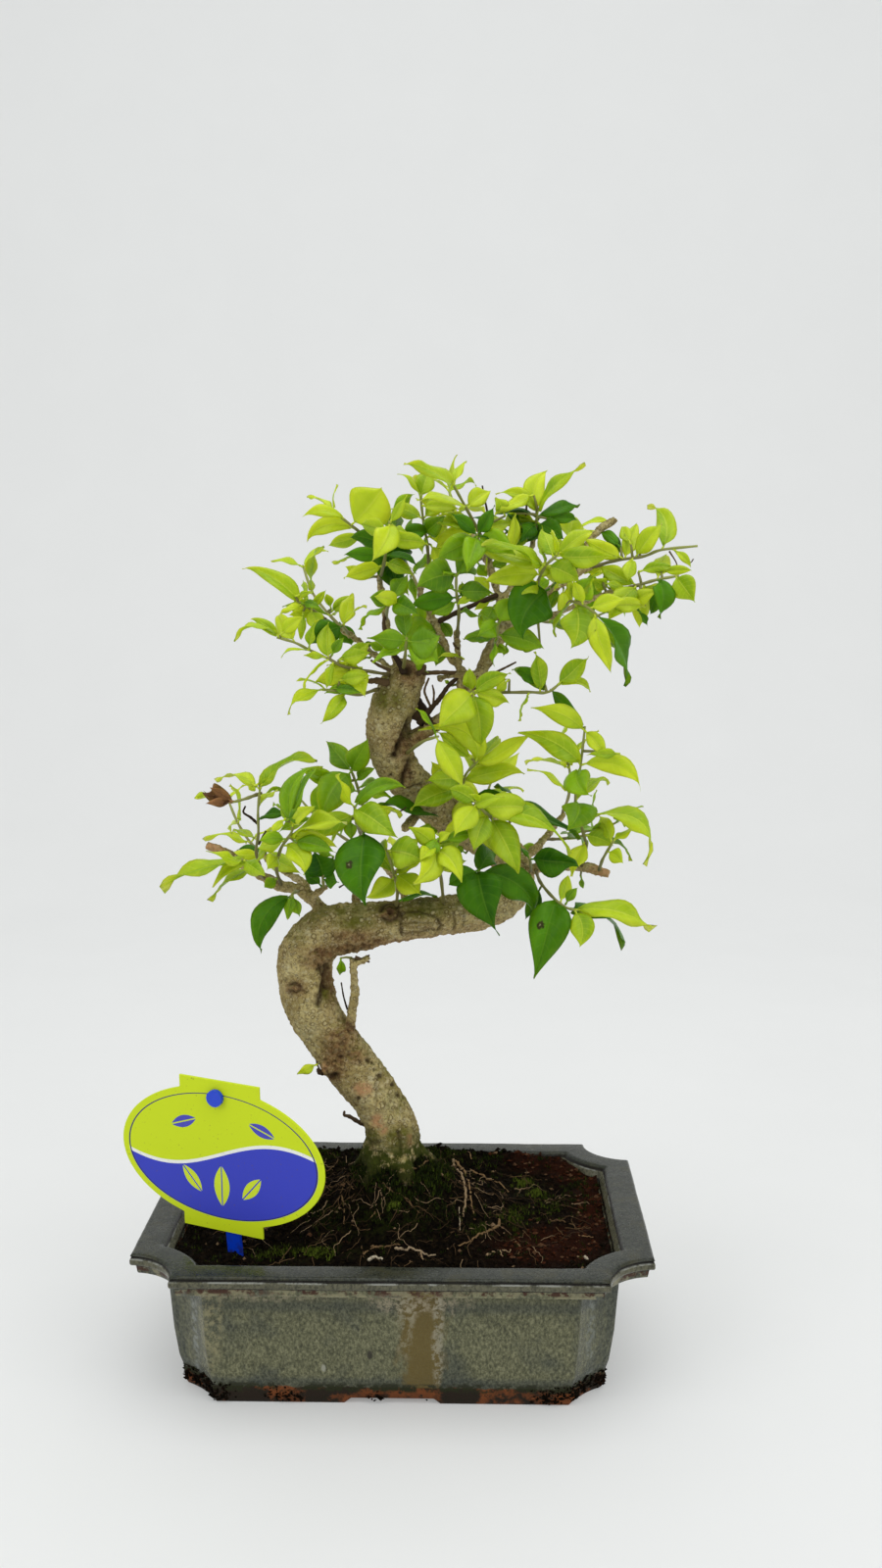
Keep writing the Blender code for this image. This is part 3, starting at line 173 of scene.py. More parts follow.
# Leafy shoots: name, leaf slot, points of the stem as x, z, depth, then leaves: place along the stem counted
# in points, x and z of the tip, depth of the tip from the leaf's root, and width as seen. Some leaves add
# their own kind, how far their middle bows in x and z, and how far their point is drawn out.
SHOOTS = [
    ("shoot_left_upright", YOUNG,
     [(-51, 196, -4), (-53, 205, -6), (-52, 212, -8), (-52, 221, -8), (-51, 231, -8)],
     [(4, -28, 241.5, -6, 5.5, YOUNG, 0, 1.5), (3.9, -68.5, 233, 6, 2, YOUNG, 0, 1.5),
      (2.6, -41, 219.5, -8, 1.5, OLD), (3.2, -44, 229, 8, 1.2), (1.6, -63, 212, 9, 1)]),
    ("dead_leaf_left", DEAD, [(-51.5, 228, -8), (-57, 226, -10), (-62.5, 224.5, -10)],
     [(2, -73, 228.5, 4, 7, DEAD, 0, -1)]),
    ("shoot_left_tip", YOUNG, [(-50, 193.5, -4), (-53, 199, -14), (-59, 201.5, -19)],
     [(1.6, -91.5, 189.5, -2, 6.5, YOUNG, 2, 1, 2.4), (2, -49.5, 194.5, -10, 6),
      (1.4, -70.5, 190, -8, 4.5, YOUNG, 0, 2), (1, -72, 184.5, -3, 1.6),
      (2, -73, 205, -8, 2.5, YOUNG, 0, -3)]),
    ("shoot_left_inner", YOUNG,
     [(-43, 190.5, -3), (-45, 198, -12), (-43, 206, -18), (-39, 212, -20), (-38, 216, -20)],
     [(1.6, -49, 197, -10, 6), (2.5, -52, 206, 4, 6.5), (2.2, -34, 195, -10, 9, YOUNG, 3, 1),
      (4, -26, 238.5, 6, 5, MATURE, -4, 3, 2.4), (4, -29, 223, -10, 5), (2.8, -20.5, 206.5, -4, 6),
      (4, -46, 224, 8, 2.5, MATURE)]),
    ("old_leaf_left", OLD, [(-26, 189.5, -6), (-26.5, 194, -12)],
     [(0.9, -30, 205, -8, 11), (0.8, -20, 192, -6, 7)]),
    ("old_leaf_far_left", OLD, [(-36, 188.5, -1), (-38, 188, -10), (-39.5, 186, -12)],
     [(2, -51.5, 163.5, -8, 9, OLD, -3.5, 1.5, 2), (1.5, -36, 178, -6, 4, MATURE)]),
    ("old_leaf_front_left", OLD, [(-12, 204, 6.5), (-11, 210, -8), (-9.5, 213, -16)],
     [(2, -9.5, 182.5, -10, 18, OLD, -2, 0)]),
    ("shoot_left_mid", YOUNG, [(-11.2, 212, 7), (-13, 217, -8), (-13.5, 223, -14)],
     [(2, 4, 210, -10, 11, YOUNG, -1, -1), (2, 7, 230.5, -4, 5.5, MATURE, 0, 2), (1.4, -37, 209, -4, 8),
      (2, -20, 236, -6, 4, YOUNG, -2, 0), (1.2, 2, 222, 8, 7)]),
    ("shoot_left_top", MATURE, [(-9.5, 221, 6.1), (-11.5, 228, 4), (-13, 233, 2), (-15, 238, 0)],
     [(3, -24, 249, 8, 8, MATURE, 0, -1), (3, -8, 250.5, -4, 9, MATURE, 0, -2),
      (3, -26.5, 218.5, -10, 12.5, MATURE, -1, 0), (2, -5, 238.5, -6, 4), (1.2, -22, 229, 9, 7),
      (1.4, -2, 230, 10, 1.2)]),
    ("shoot_front_left", YOUNG, [(3, 182, -2), (3.5, 190, -14), (1.5, 198, -20), (-1, 206, -22)],
     [(1.6, -9, 186, -8, 8, YOUNG, 1, -1.5), (1.7, 13, 187, -8, 9), (3, 14, 200, -6, 12, YOUNG, 0, 1),
      (3, -17, 202, -6, 8), (2.4, 12, 210, 6, 7)]),
    ("shoot_front_mid", YOUNG, [(22, 184, -2), (21, 194, -16), (19.5, 203, -22), (19, 208, -23)],
     [(2.6, 10, 191.5, -8, 9, YOUNG, 1, -1.5), (2.5, 29.5, 192, -8, 9, YOUNG, 0, 1), (3, 8, 214.5, -4, 7),
      (3, 31, 210, 4, 7), (1.3, 31, 201, 6, 6)]),
    ("shoot_centre_up", YOUNG, [(29, 225.5, 6.2), (29, 230, 2), (31, 236, -2), (35.5, 241, -4)],
     [(3, 57, 251.5, -2, 6, YOUNG, 0, -2), (3, 12, 253.5, -4, 9, YOUNG, 7, 4),
      (1.4, 54.5, 236, -6, 8, YOUNG, 0, 2), (1.8, 15, 233, -8, 9), (1, 8.5, 221.5, -8, 9),
      (2.4, 44, 250, 9, 7)]),
    ("shoot_centre_back", MATURE, [(36, 214, 17), (38, 224, 24), (41, 233, 28)],
     [(2, 52, 244, 8, 6, YOUNG), (2, 30, 245, 6, 7, YOUNG), (1, 54, 229, 10, 1.5, YOUNG),
      (1, 24, 232, 12, 8, YOUNG)]),
    ("shoot_trunk_front", MATURE, [(7, 244, -4), (14, 249, -14), (20, 251, -17)],
     [(2, 30, 230.5, -6, 8, YOUNG), (2, 11, 262, -4, 0.8)]),
    ("shoot_limb_front", YOUNG, [(30, 266, -1), (32, 268, -10), (34, 268.5, -15)],
     [(1.9, 20, 254, -8, 13), (2, 37, 247, -6, 12), (1.4, 32, 278, -6, 5), (2, 48.5, 276, -4, 6),
      (1.9, 48, 264, 2, 6)]),
    ("shoot_centre_front", YOUNG, [(42, 217, -13), (41, 218.5, -22), (38, 221, -26), (34.5, 225, -27)],
     [(1, 52, 195.5, -6, 11), (1, 72.5, 203.5, -2, 9, YOUNG, 0, 3, 2.2), (1.6, 34, 204.5, -8, 9),
      (2.3, 58, 221, 4, 10, YOUNG, 0, 1), (3, 26, 210.5, -6, 9), (3, 24, 230, 2, 7)]),
    ("old_leaf_centre", OLD, [(46, 212, 4.5), (50, 220, 4), (51, 227, 2)],
     [(2, 76.5, 209.5, -6, 5, OLD, -3, -2), (2, 42, 231, 8, 0.6)]),
    ("old_leaf_limb", OLD, [(57, 196.5, 8), (57, 199, -2), (56.5, 202, -7)], [(2, 76, 199, -4, 11)]),
    ("old_leaf_front_mid", OLD, [(37, 185, 0), (37, 191, -13), (36, 197, -18)],
     [(2, 44.5, 170, -6, 17, OLD, -4, 4, 1.9), (1.9, 58, 178, 4, 12, OLD, 3, 4, 1.9)]),
    ("shoot_low_right", MATURE,
     [(59, 197, 7), (61, 192, -3), (66, 186, -8), (71, 182, -10), (76, 180.5, -11)],
     [(2.2, 58.5, 152.5, -10, 15, OLD, 1.5, 2, 1.8), (2.6, 72, 195, 4, 5, YOUNG),
      (3.4, 94.5, 165, 4, 6, OLD), (4, 106.5, 173, -4, 9, YOUNG, 0, 0.5),
      (4, 77, 165.5, -8, 9, YOUNG, 1.5, 0)]),
    ("shoot_right_upright", YOUNG,
     [(77, 197, 4), (79, 207, -1), (77.5, 213.5, -4), (74.5, 225, -6), (76.5, 239.5, -7), (78, 255, -7)],
     [(5, 64, 269.5, 4, 4.5, OLD, -1.5, -1), (4.9, 56.5, 262.5, -6, 7), (4.9, 86, 243, -6, 6),
      (4, 100.5, 229, -4, 8, YOUNG, 3, 4.5, 2.6), (4, 51.5, 252.5, -2, 9, YOUNG, 2, 1.5),
      (3.9, 81, 227, -8, 11, MATURE, -3, 0), (3, 71, 213, -8, 13, MATURE, 3, 1),
      (2.4, 102, 199.5, -4, 5.5, YOUNG, 7, 5, 2.6), (1.7, 90, 207, -6, 7), (1.3, 73, 194.5, -8, 7),
      (3, 88, 232, 9, 2)]),
    ("shoot_right_stub", YOUNG, [(84, 196, 3), (86, 202, -4), (90, 209, -8)],
     [(2, 99, 214, 2, 2.5), (1.4, 94, 200, -8, 6), (2, 84, 219, 6, 6)]),
    ("shoot_top_left", YOUNG, [(-4.3, 324, 2), (-9, 329.5, 0), (-14, 333.5, -2), (-21.5, 339.5, -3)],
     [(2, -2, 348, -6, 16, YOUNG, 2, 0), (2.3, -33, 336.5, 2, 3.5, YOUNG, 0, 1.5),
      (1.7, -31, 327, -5, 5.5, YOUNG, 0, 1.5), (1, -23, 325.5, 6, 5), (1, 2, 338, 6, 3),
      (3, -31, 344, 4, 0.8), (3, -19, 349, 4, 0.8)]),
    ("shoot_top_left_inner", YOUNG, [(-3, 312, 2), (-1, 320, -10), (0, 328, -16), (1, 335, -18)],
     [(3, -6, 319.5, -8, 9, YOUNG, 2, 1), (3, 8, 345, -2, 3.5), (2.5, -10, 334, 2, 6), (2, 16, 326, -2, 6),
      (1.2, -17, 322, -3, 5, OLD), (0.9, 10, 314, -6, 5), (0.7, -17, 313, -6, 6)]),
    ("old_leaf_top_left", OLD, [(-3.5, 317, 2), (1, 325, -3), (5, 329.5, -7)],
     [(2, 6, 306.5, -10, 14, OLD, -3, 2), (2, 16, 331, 5, 6), (1, -14, 329, 9, 8)]),
    ("shoot_inner_left", MATURE, [(-0.5, 297, 3), (0, 301, -8), (2, 305, -12)],
     [(2, -7, 305.5, -4, 6), (1.4, -11, 293, -4, 2), (2, 12, 299, -8, 7), (2, 8, 314, 3, 6)]),
    ("shoot_inner_low", MATURE, [(6, 277, -4), (7, 284, -14), (7.5, 290, -17)],
     [(2, -8, 290, -4, 7, MATURE, 1, -1), (2, 21, 291, -3, 12, MATURE, 0, -2), (2, 6, 301, 5, 6),
      (1.3, 20, 280, -6, 10, MATURE, 0, 1), (1.2, -6, 280, -5, 3)]),
    ("shoot_mid_left_tip", YOUNG, [(-23.5, 296.7, 1.3), (-30, 301, -2), (-35, 304, -4)],
     [(2, -56.5, 316.5, 2, 5.5, YOUNG, 1, 0, 2.4), (1.6, -42, 299, -6, 2.5), (1, -24, 308.5, -4, 3),
      (1.5, -33, 312, 7, 1.2), (1, -27, 291, -5, 6)]),
    ("old_leaf_mid_left_top", OLD, [(-15, 291, 3), (-18, 295, -4)],
     [(0.9, -31, 287, -6, 9), (0.9, -8, 302, -4, 2, YOUNG), (0.7, -14, 307, 8, 6, YOUNG)]),
    ("shoot_mid_left_low", YOUNG,
     [(3, 275, -2), (-6, 276.5, -8), (-17, 278.5, -11), (-23, 281.5, -12), (-30.5, 285, -12),
      (-36.5, 288, -12), (-43.5, 290, -12)],
     [(6, -53.5, 297, 3, 3.5), (5.9, -60.5, 288.5, -4, 2.2, YOUNG, 0, 2.5, 2.4), (5, -43, 298.5, 6, 7),
      (3, -23, 296, 5, 7, YOUNG, -1, -1), (2, -7, 288, 6, 6), (3, -33, 270, -7, 1.2),
      (1.8, -9, 266.5, -6, 8), (4, -42, 282, -7, 1.5), (4, -27, 297, -6, 2)]),
    ("shoot_trunk_left", YOUNG, [(-3, 270, -3), (-12, 267.5, -9), (-20, 269, -12), (-26, 269.5, -13)],
     [(3, -39.5, 259.5, -4, 3.5, YOUNG, -1, 1.5, 2.2), (1.6, -26.5, 256, -6, 5.5, YOUNG, 1, -1),
      (3, -36, 273, 6, 1)]),
    ("shoot_crown", YOUNG, [(16.5, 316, 0), (15.5, 327, -3), (14, 336, -5), (13, 345, -6)],
     [(3, 17, 354.5, 3, 7), (3, 4, 353, -6, 1.2), (2, 1, 339.5, 6, 5), (2, 25, 344, 5, 6),
      (1.2, 25, 329, 7, 7)]),
    ("shoot_crown_right", YOUNG,
     [(39.7, 323, 1), (35, 332.5, -3), (30.5, 340.5, -6), (26, 348.5, -8), (22.5, 355, -9)],
     [(3, 6.5, 356.5, -3, 5, YOUNG, 0, -1), (3, 31, 357.5, 4, 2.5), (1.9, 40, 346.5, 4, 6.5),
      (2, 13, 342.5, -4, 4, YOUNG, 0, -2.5), (1.4, 19.5, 334, -6, 6), (1, 49, 334, -2, 6.5),
      (1, 19, 324, 5, 7), (0.5, 47.5, 324, 8, 7)]),
    ("shoot_crown_front", MATURE, [(40.2, 320, 1.5), (36, 327, -14), (35, 330, -18)],
     [(1.6, 20, 320.5, -4, 9), (1.9, 31, 314.5, -9, 8), (2, 50, 322, -5, 8), (2, 42, 341, -4, 5, OLD),
      (2, 25, 338, -4, 4.5, OLD)]),
    ("shoot_top_right", YOUNG, [(57, 329, 3.3), (58, 334, -1), (58.5, 339, -3)],
     [(2, 62, 354, 4, 8, YOUNG, -3, 0), (1.8, 77, 356.5, -2, 5, YOUNG, -1, -1, 2.6),
      (1.6, 42, 345.5, -3, 4, YOUNG, 2, 1), (1, 52, 327, -8, 6, OLD), (1, 69, 328, -6, 7, OLD),
      (1.5, 74.5, 340.5, 6, 5, OLD), (1.2, 45, 334, 8, 6)]),
    ("shoot_right_mid", YOUNG, [(58, 304.5, -1), (59, 312, -12), (62, 318, -18), (67, 322.5, -20)],
     [(2, 35.5, 323.5, -3, 7), (1.4, 38, 311.5, -3, 8), (1, 51, 306, -8, 8), (2, 75, 312, -5, 8.5),
      (3, 80, 331, 5, 6), (3, 90, 320.5, -4, 7), (2.6, 60, 332, 4, 7)]),
    ("shoot_right_tip", YOUNG,
     [(79, 317, -3), (89.5, 320, -5), (100, 321.5, -7), (107, 324, -8), (121, 325.5, -9)],
     [(1.3, 97, 334, 4, 6), (1.7, 107, 334, -5, 7), (3, 101, 341, 4, 7, YOUNG, 5, 0, 2.2),
      (3.3, 118.5, 317, -4, 2.5), (1.6, 94, 311.5, -7, 5), (1, 87, 331, 8, 5, OLD)]),
    ("shoot_right_low", YOUNG,
     [(88, 307.5, -10), (98.5, 310.5, -12), (105.5, 312.5, -13), (114, 314, -14)],
     [(2, 109, 322, 7, 6), (3, 120.5, 303.5, -4, 9, YOUNG, -1.2, 1), (2, 106.5, 297.5, -6, 8, OLD, 2, 2),
      (1.2, 106, 301.5, 6, 7), (0.8, 86.5, 296.5, -6, 8), (1.1, 99, 294, 3, 6), (0.8, 83, 317, 5, 6)]),
    ("shoot_right_front", MATURE, [(69, 300.5, -7), (72, 304, -18), (78, 302, -22), (83, 298, -22)],
     [(1.2, 72, 285.5, -7, 12, YOUNG, 3, 0), (1.3, 80, 314, -4, 8), (1, 66, 290, -2, 1, YOUNG),
      (2.6, 88, 276.5, -5, 7, YOUNG, 0, 0, 2), (3, 93, 271, 3, 4.5, OLD, 1.5, 2, 2.2),
      (2.2, 93, 305, -5, 6, YOUNG)]),
    ("old_leaf_right", OLD, [(61, 306.5, -1), (63, 309, -9), (64, 309, -13)],
     [(2, 53.5, 289, -8, 16, OLD, -4, 1)]),
    ("shoot_limb_mid", MATURE, [(41.5, 286.5, -1), (43, 290, -9), (43.5, 296, -14)],
     [(1.2, 61.5, 285.5, -3, 8), (2, 35, 290, -8, 6.5), (2, 50, 306, -4, 7.5), (1, 30, 289, -5, 5),
      (1, 42, 278.5, -8, 1)]),
    ("shoot_limb_top", MATURE, [(27.2, 289, -4), (28, 300, -10), (27, 308, -15), (27, 315, -17)],
     [(3, 11, 309, -4, 12, MATURE, 1, 1), (1.7, 9, 301.5, -3, 7, OLD), (3, 35, 324, 4, 7),
      (2, 41, 307, 2, 7), (1, 37, 297, 6, 2)]),
    ("shoot_low_twig", MATURE,
     [(33.5, 270, -1), (45.5, 268.5, -8), (56, 268.5, -10), (63, 268.5, -11), (68, 272, -11)],
     [(2.6, 58, 284.5, -4, 6, YOUNG), (3, 49, 277, 5, 6), (4, 79, 282, -3, 7, YOUNG),
      (3.8, 80, 268.5, 3, 1.6, YOUNG), (2, 52, 257, -6, 1, YOUNG)]),
]

# Shoots out of the front view: name, leaf slot, leaf length, pairs of leaves, and points of the stem
RULED_SHOOTS = [
    ("back_shoot_left", YOUNG, 20, 3, [(-49, 202, 21), (-55, 208, 30), (-60, 216, 38), (-64, 226, 44)]),
    ("back_shoot_low_left", MATURE, 22, 3,
     [(-11, 206, 43), (-19, 211, 51), (-28, 218, 57), (-36, 227, 60)]),
    ("back_shoot_low_mid", YOUNG, 22, 3, [(1, 195, 26), (10, 203, 38), (18, 212, 48), (24, 223, 55)]),
    ("back_shoot_low_right", YOUNG, 22, 3, [(69, 219, 51), (72, 228, 57), (72, 238, 61), (68, 248, 62)]),
    ("back_shoot_bend", MATURE, 21, 3, [(62, 209.5, 37), (71, 210, 38), (82, 212, 36), (92, 217, 33)]),
    ("back_shoot_crown_left", YOUNG, 19, 3,
     [(-15, 291, 4), (-22, 298, 18), (-29, 307, 28), (-33, 318, 34)]),
    ("back_shoot_crown_mid", MATURE, 20, 4, [(14, 305, 37), (10, 314, 44), (5, 324, 48), (1, 336, 48)]),
    ("back_shoot_crown_top", YOUNG, 19, 3, [(31, 333, 21), (26, 340, 30), (24, 347, 36)]),
    ("back_shoot_crown_right", YOUNG, 20, 4, [(59, 305, 41), (66, 312, 48), (71, 322, 52), (74, 333, 52)]),
    ("back_shoot_crown_low", MATURE, 21, 3, [(53, 299, 31), (63, 296, 36), (75, 296, 38), (86, 300, 37)]),
]

# Steps along the line of sight to try, for a leaf that its node has nearer or farther
BEND_TRIES = (0, 3, -3, 6, -6, 9, -9, 12, -12, 16, -16, 20, -20, 25, -25, 30, -30)

# Seeds of the random draws
RULED_SEED = 7
TWIG_SEED = 11
ROOT_SEED = 17
MOSS_SEED = 23
CRUMB_SEED = 29
LENTICEL_SEED = 31
DIRT_SEED = 37
PIT_SEED = 41

# Where a leaf that the rule places would show against the bare background: it turns its edge to the eye there
TURNED_AWAY = [
    (-24.6, 325.7), (54.5, 240.1), (-63, 231.8), (27.4, 360.4), (101.7, 222.7), (12, 337.6), (55.2, 237.9),
    (83.6, 252.9), (83.3, 229.4), (-45.3, 319.4), (-73.6, 209.1), (-49.3, 227.6), (71.4, 254.9),
    (97.2, 200.8), (34.9, 348.5), (-62.9, 212.4), (-22.8, 323.4), (9.9, 350.9), (-45.3, 213.6),
    (86.7, 334.9), (-55.7, 231.4),
]

# Further leaves: x and z of the base and of the tip, the tip's depth past its base, seen width and kind
FURTHER_LEAVES = [
    (14, 341, 28, 339.5, -6, 5, YOUNG), (14, 330, 23, 337, -8, 8, MATURE),
    (33, 332.5, 20, 337.5, -10, 3.5, YOUNG), (33, 332, 18, 323, 2, 6, OLD),
    (33, 330, 19, 322, -2, 8, MATURE), (37, 326, 27.5, 316, 4, 7, OLD), (47, 331, 32, 336, 3, 5, OLD),
    (45, 331, 43, 323.5, 2, 5, OLD), (50, 338, 48, 322, -2, 5, YOUNG), (59, 336, 54, 327, 3, 10, OLD),
    (52, 334, 46, 338.5, 5, 4, OLD), (70, 334, 61, 330, 3, 6, OLD), (56, 316, 50, 319.5, -10, 4.5, DEAD),
    (32, 305, 29, 311.5, 2, 5, YOUNG), (40, 306, 34, 314, 0, 6.5, YOUNG), (5, 303, -5, 306, -6, 6, YOUNG),
    (9, 316, 0, 313, -8, 3.5, YOUNG), (42, 302.5, 36.5, 291.5, -6, 8, MATURE),
    (49, 305, 41, 296, 0, 7, MATURE), (60, 286, 47.5, 290, -6, 7, MATURE),
    (41, 289, 32, 290, -4, 4, MATURE), (42, 287, 47, 283.5, -6, 4, MATURE),
    (30, 281.5, 20, 282, -6, 2.5, YOUNG), (62, 336, 74, 335.5, 3, 5, OLD), (91, 325, 83, 331, 4, 4.5, OLD),
    (79, 326, 61, 322, -8, 7, YOUNG), (92, 320, 76, 328, -2, 7, YOUNG),
    (84, 312, 90.5, 315.5, 4, 4.5, OLD), (87, 309, 80, 312.5, -4, 6, YOUNG),
    (77, 303, 72.5, 313, -8, 4.5, YOUNG), (69, 309, 67.5, 297, -6, 5, YOUNG),
    (101, 302, 86, 302, -6, 6, YOUNG), (94, 303, 106, 308, -8, 6.5, YOUNG),
    (107, 309, 103, 299, 3, 7, OLD), (98, 301, 102, 294.5, 0, 2.2, OLD), (95, 326, 91.5, 333, 3, 5, YOUNG),
    (-6, 320, -21, 318.5, -4, 1.8, YOUNG), (-22, 300, -13, 306, -4, 6, YOUNG),
    (-28, 299.5, -39, 298.5, -3, 5, YOUNG), (-34, 303, -26, 301, -4, 4, MATURE),
    (-19, 296, -14, 287, 2, 7, OLD), (-20, 296, -30, 293.5, 2, 5, OLD),
    (-19, 281, -6.5, 284, -5, 6.5, YOUNG), (-19, 273, -6.5, 275, -6, 6, YOUNG),
    (-22, 270, -10, 268, -4, 4, MATURE), (-3, 288, -10, 285.5, -2, 1.8, OLD),
    (22, 219, -5, 222.5, -16, 9, OLD), (24, 231, 17, 241, -6, 8, YOUNG),
    (29, 232, 20.5, 247.5, -4, 8, YOUNG), (31, 227.5, 28, 211.5, -6, 9, YOUNG),
    (33, 222, 46, 226.5, -3, 5.5, YOUNG), (34, 221, 57.5, 219, -8, 9, MATURE),
    (34, 218, 41, 205.5, -6, 8, YOUNG), (21, 214, 9.5, 212, -5, 6, MATURE),
    (20, 210, 15, 203, -5, 6, MATURE), (22, 209, 34, 211.5, 2, 5, MATURE), (37, 205, 44, 199, 2, 6, OLD),
    (80, 213, 90, 214.5, -4, 4, MATURE), (80, 211, 86, 207, -3, 4, MATURE),
    (77, 195, 78, 189.5, 0, 2.2, MATURE), (-41, 210, -52, 209, -4, 5.5, MATURE),
    (-38, 209, -21, 204, -6, 6.5, MATURE), (-40, 209.5, -16.5, 216, -8, 4.5, YOUNG),
    (-41, 217, -29, 222, -4, 6, MATURE), (-38, 219, -28.5, 238.5, 2, 4, MATURE),
    (-51, 218, -42, 219, 2, 3, OLD), (-50, 202, -35, 195.5, -8, 8, YOUNG),
    (-38, 187, -41, 177, -2, 5, MATURE), (-44, 194, -50, 190, -3, 5, MATURE),
    (4, 184.5, 19.5, 185.5, 8, 3.6, OLD), (-19.5, 161, -19.7, 154.2, 4, 3.8, MATURE),
    (-29.5, 116.5, -37.8, 112.5, -3, 4, YOUNG), (25, 271, 22.3, 273.3, -2, 1.6, MATURE),
    (98, 315.5, 112, 316.5, -3, 4, YOUNG), (-33, 300, -34, 289, -3, 3.5, YOUNG),
    (-22, 283, -17, 290, -3, 4, MATURE), (-21, 281, -24, 270, -4, 4, YOUNG),
    (62, 271.5, 50.5, 277, 3, 6, OLD), (39, 273, 48, 273.5, -3, 3.5, YOUNG),
    (20, 297, 25, 290, 3, 5, MATURE), (8, 283, 16, 276, -4, 4, MATURE), (62, 205, 51, 206, 4, 6, MATURE),
    (98, 325, 104, 331, 3, 4, YOUNG), (-8, 313, -16.5, 317.5, -4, 5, YOUNG),
    (-51.5, 232, -55.5, 229.5, 2, 4, YOUNG), (-50.5, 231, -47, 233.5, -2, 3, YOUNG),
    (-62, 224, -71, 230.5, -3, 4, DEAD), (-63, 224, -73, 224, -4, 4, DEAD),
    (-50, 203, -66, 202.5, -4, 5, YOUNG), (-49, 204, -61, 205, 2, 2.5, OLD),
    (-20, 231, -35, 238, -4, 7, MATURE), (-36, 306, -29.5, 307.5, -2, 2.5, YOUNG),
    (-22, 301, -24, 307, -3, 4, YOUNG), (-42, 291, -33, 298, -2, 6, YOUNG),
    (-24, 282, -33, 283, -3, 3, YOUNG), (-7, 282, -20, 281, -4, 5, MATURE),
    (-8, 276, -29, 272, -3, 8, YOUNG), (-10, 278, -24, 279, -3, 5, YOUNG),
    (-14, 271, -25, 268, -3, 4, MATURE), (20, 294, 4, 284, -8, 13, MATURE),
    (57, 345, 42, 337, -4, 5, YOUNG), (62, 317, 37, 325, -12, 4, YOUNG), (36, 197, 24, 191, -3, 8, OLD),
    (27, 304, 17, 298.5, -3, 6, MATURE), (22, 290, 19, 278.5, -3, 6, MATURE),
    (55, 331, 49, 323.5, -4, 6, MATURE), (107, 315.5, 119, 316, -3, 4, YOUNG),
    (-27, 190.5, -35, 197.5, -2, 5, OLD), (67, 310, 63, 300, -4, 5, MATURE),
    (17, 326, 21, 317, -3, 5, YOUNG), (-15, 218, -15, 209.5, -3, 5, MATURE),
    (12, 303, 13, 294, -4, 6, MATURE), (46, 337, 42, 344, -3, 6, YOUNG),
    (9, 314, 11, 304, -3, 4.5, MATURE), (71, 183, 76, 190, -3, 4, MATURE),
    (48, 320, 40, 317.5, -4, 5, MATURE), (35, 319.5, 39, 313.5, -3, 5, MATURE),
    (77, 315, 86, 316, -3, 4, YOUNG), (93, 309, 85, 311, -3, 4, YOUNG),
    (64, 313, 58, 308.5, -4, 6, MATURE), (-22, 202.5, -30, 205.5, -3, 3.5, MATURE),
    (70, 311, 71.5, 304, -3, 4, YOUNG), (41, 304.5, 34, 300.5, -4, 3, YOUNG),
    (48, 273.5, 43, 268.5, -3, 4, YOUNG), (31, 204, 25.5, 206.5, -3, 4, MATURE),
    (-41, 218, -46.5, 212.5, -3, 3.5, YOUNG), (-1, 284, -8, 288, -4, 4, MATURE),
    (34, 305.5, 27, 302.5, -4, 3, YOUNG), (47, 288, 45.5, 282.5, -3, 3, MATURE),
    (33, 242, 19, 253, -3, 6, YOUNG), (61, 190, 55, 177, -2, 6, OLD), (92, 244, 79, 243.5, -3, 4, YOUNG),
]

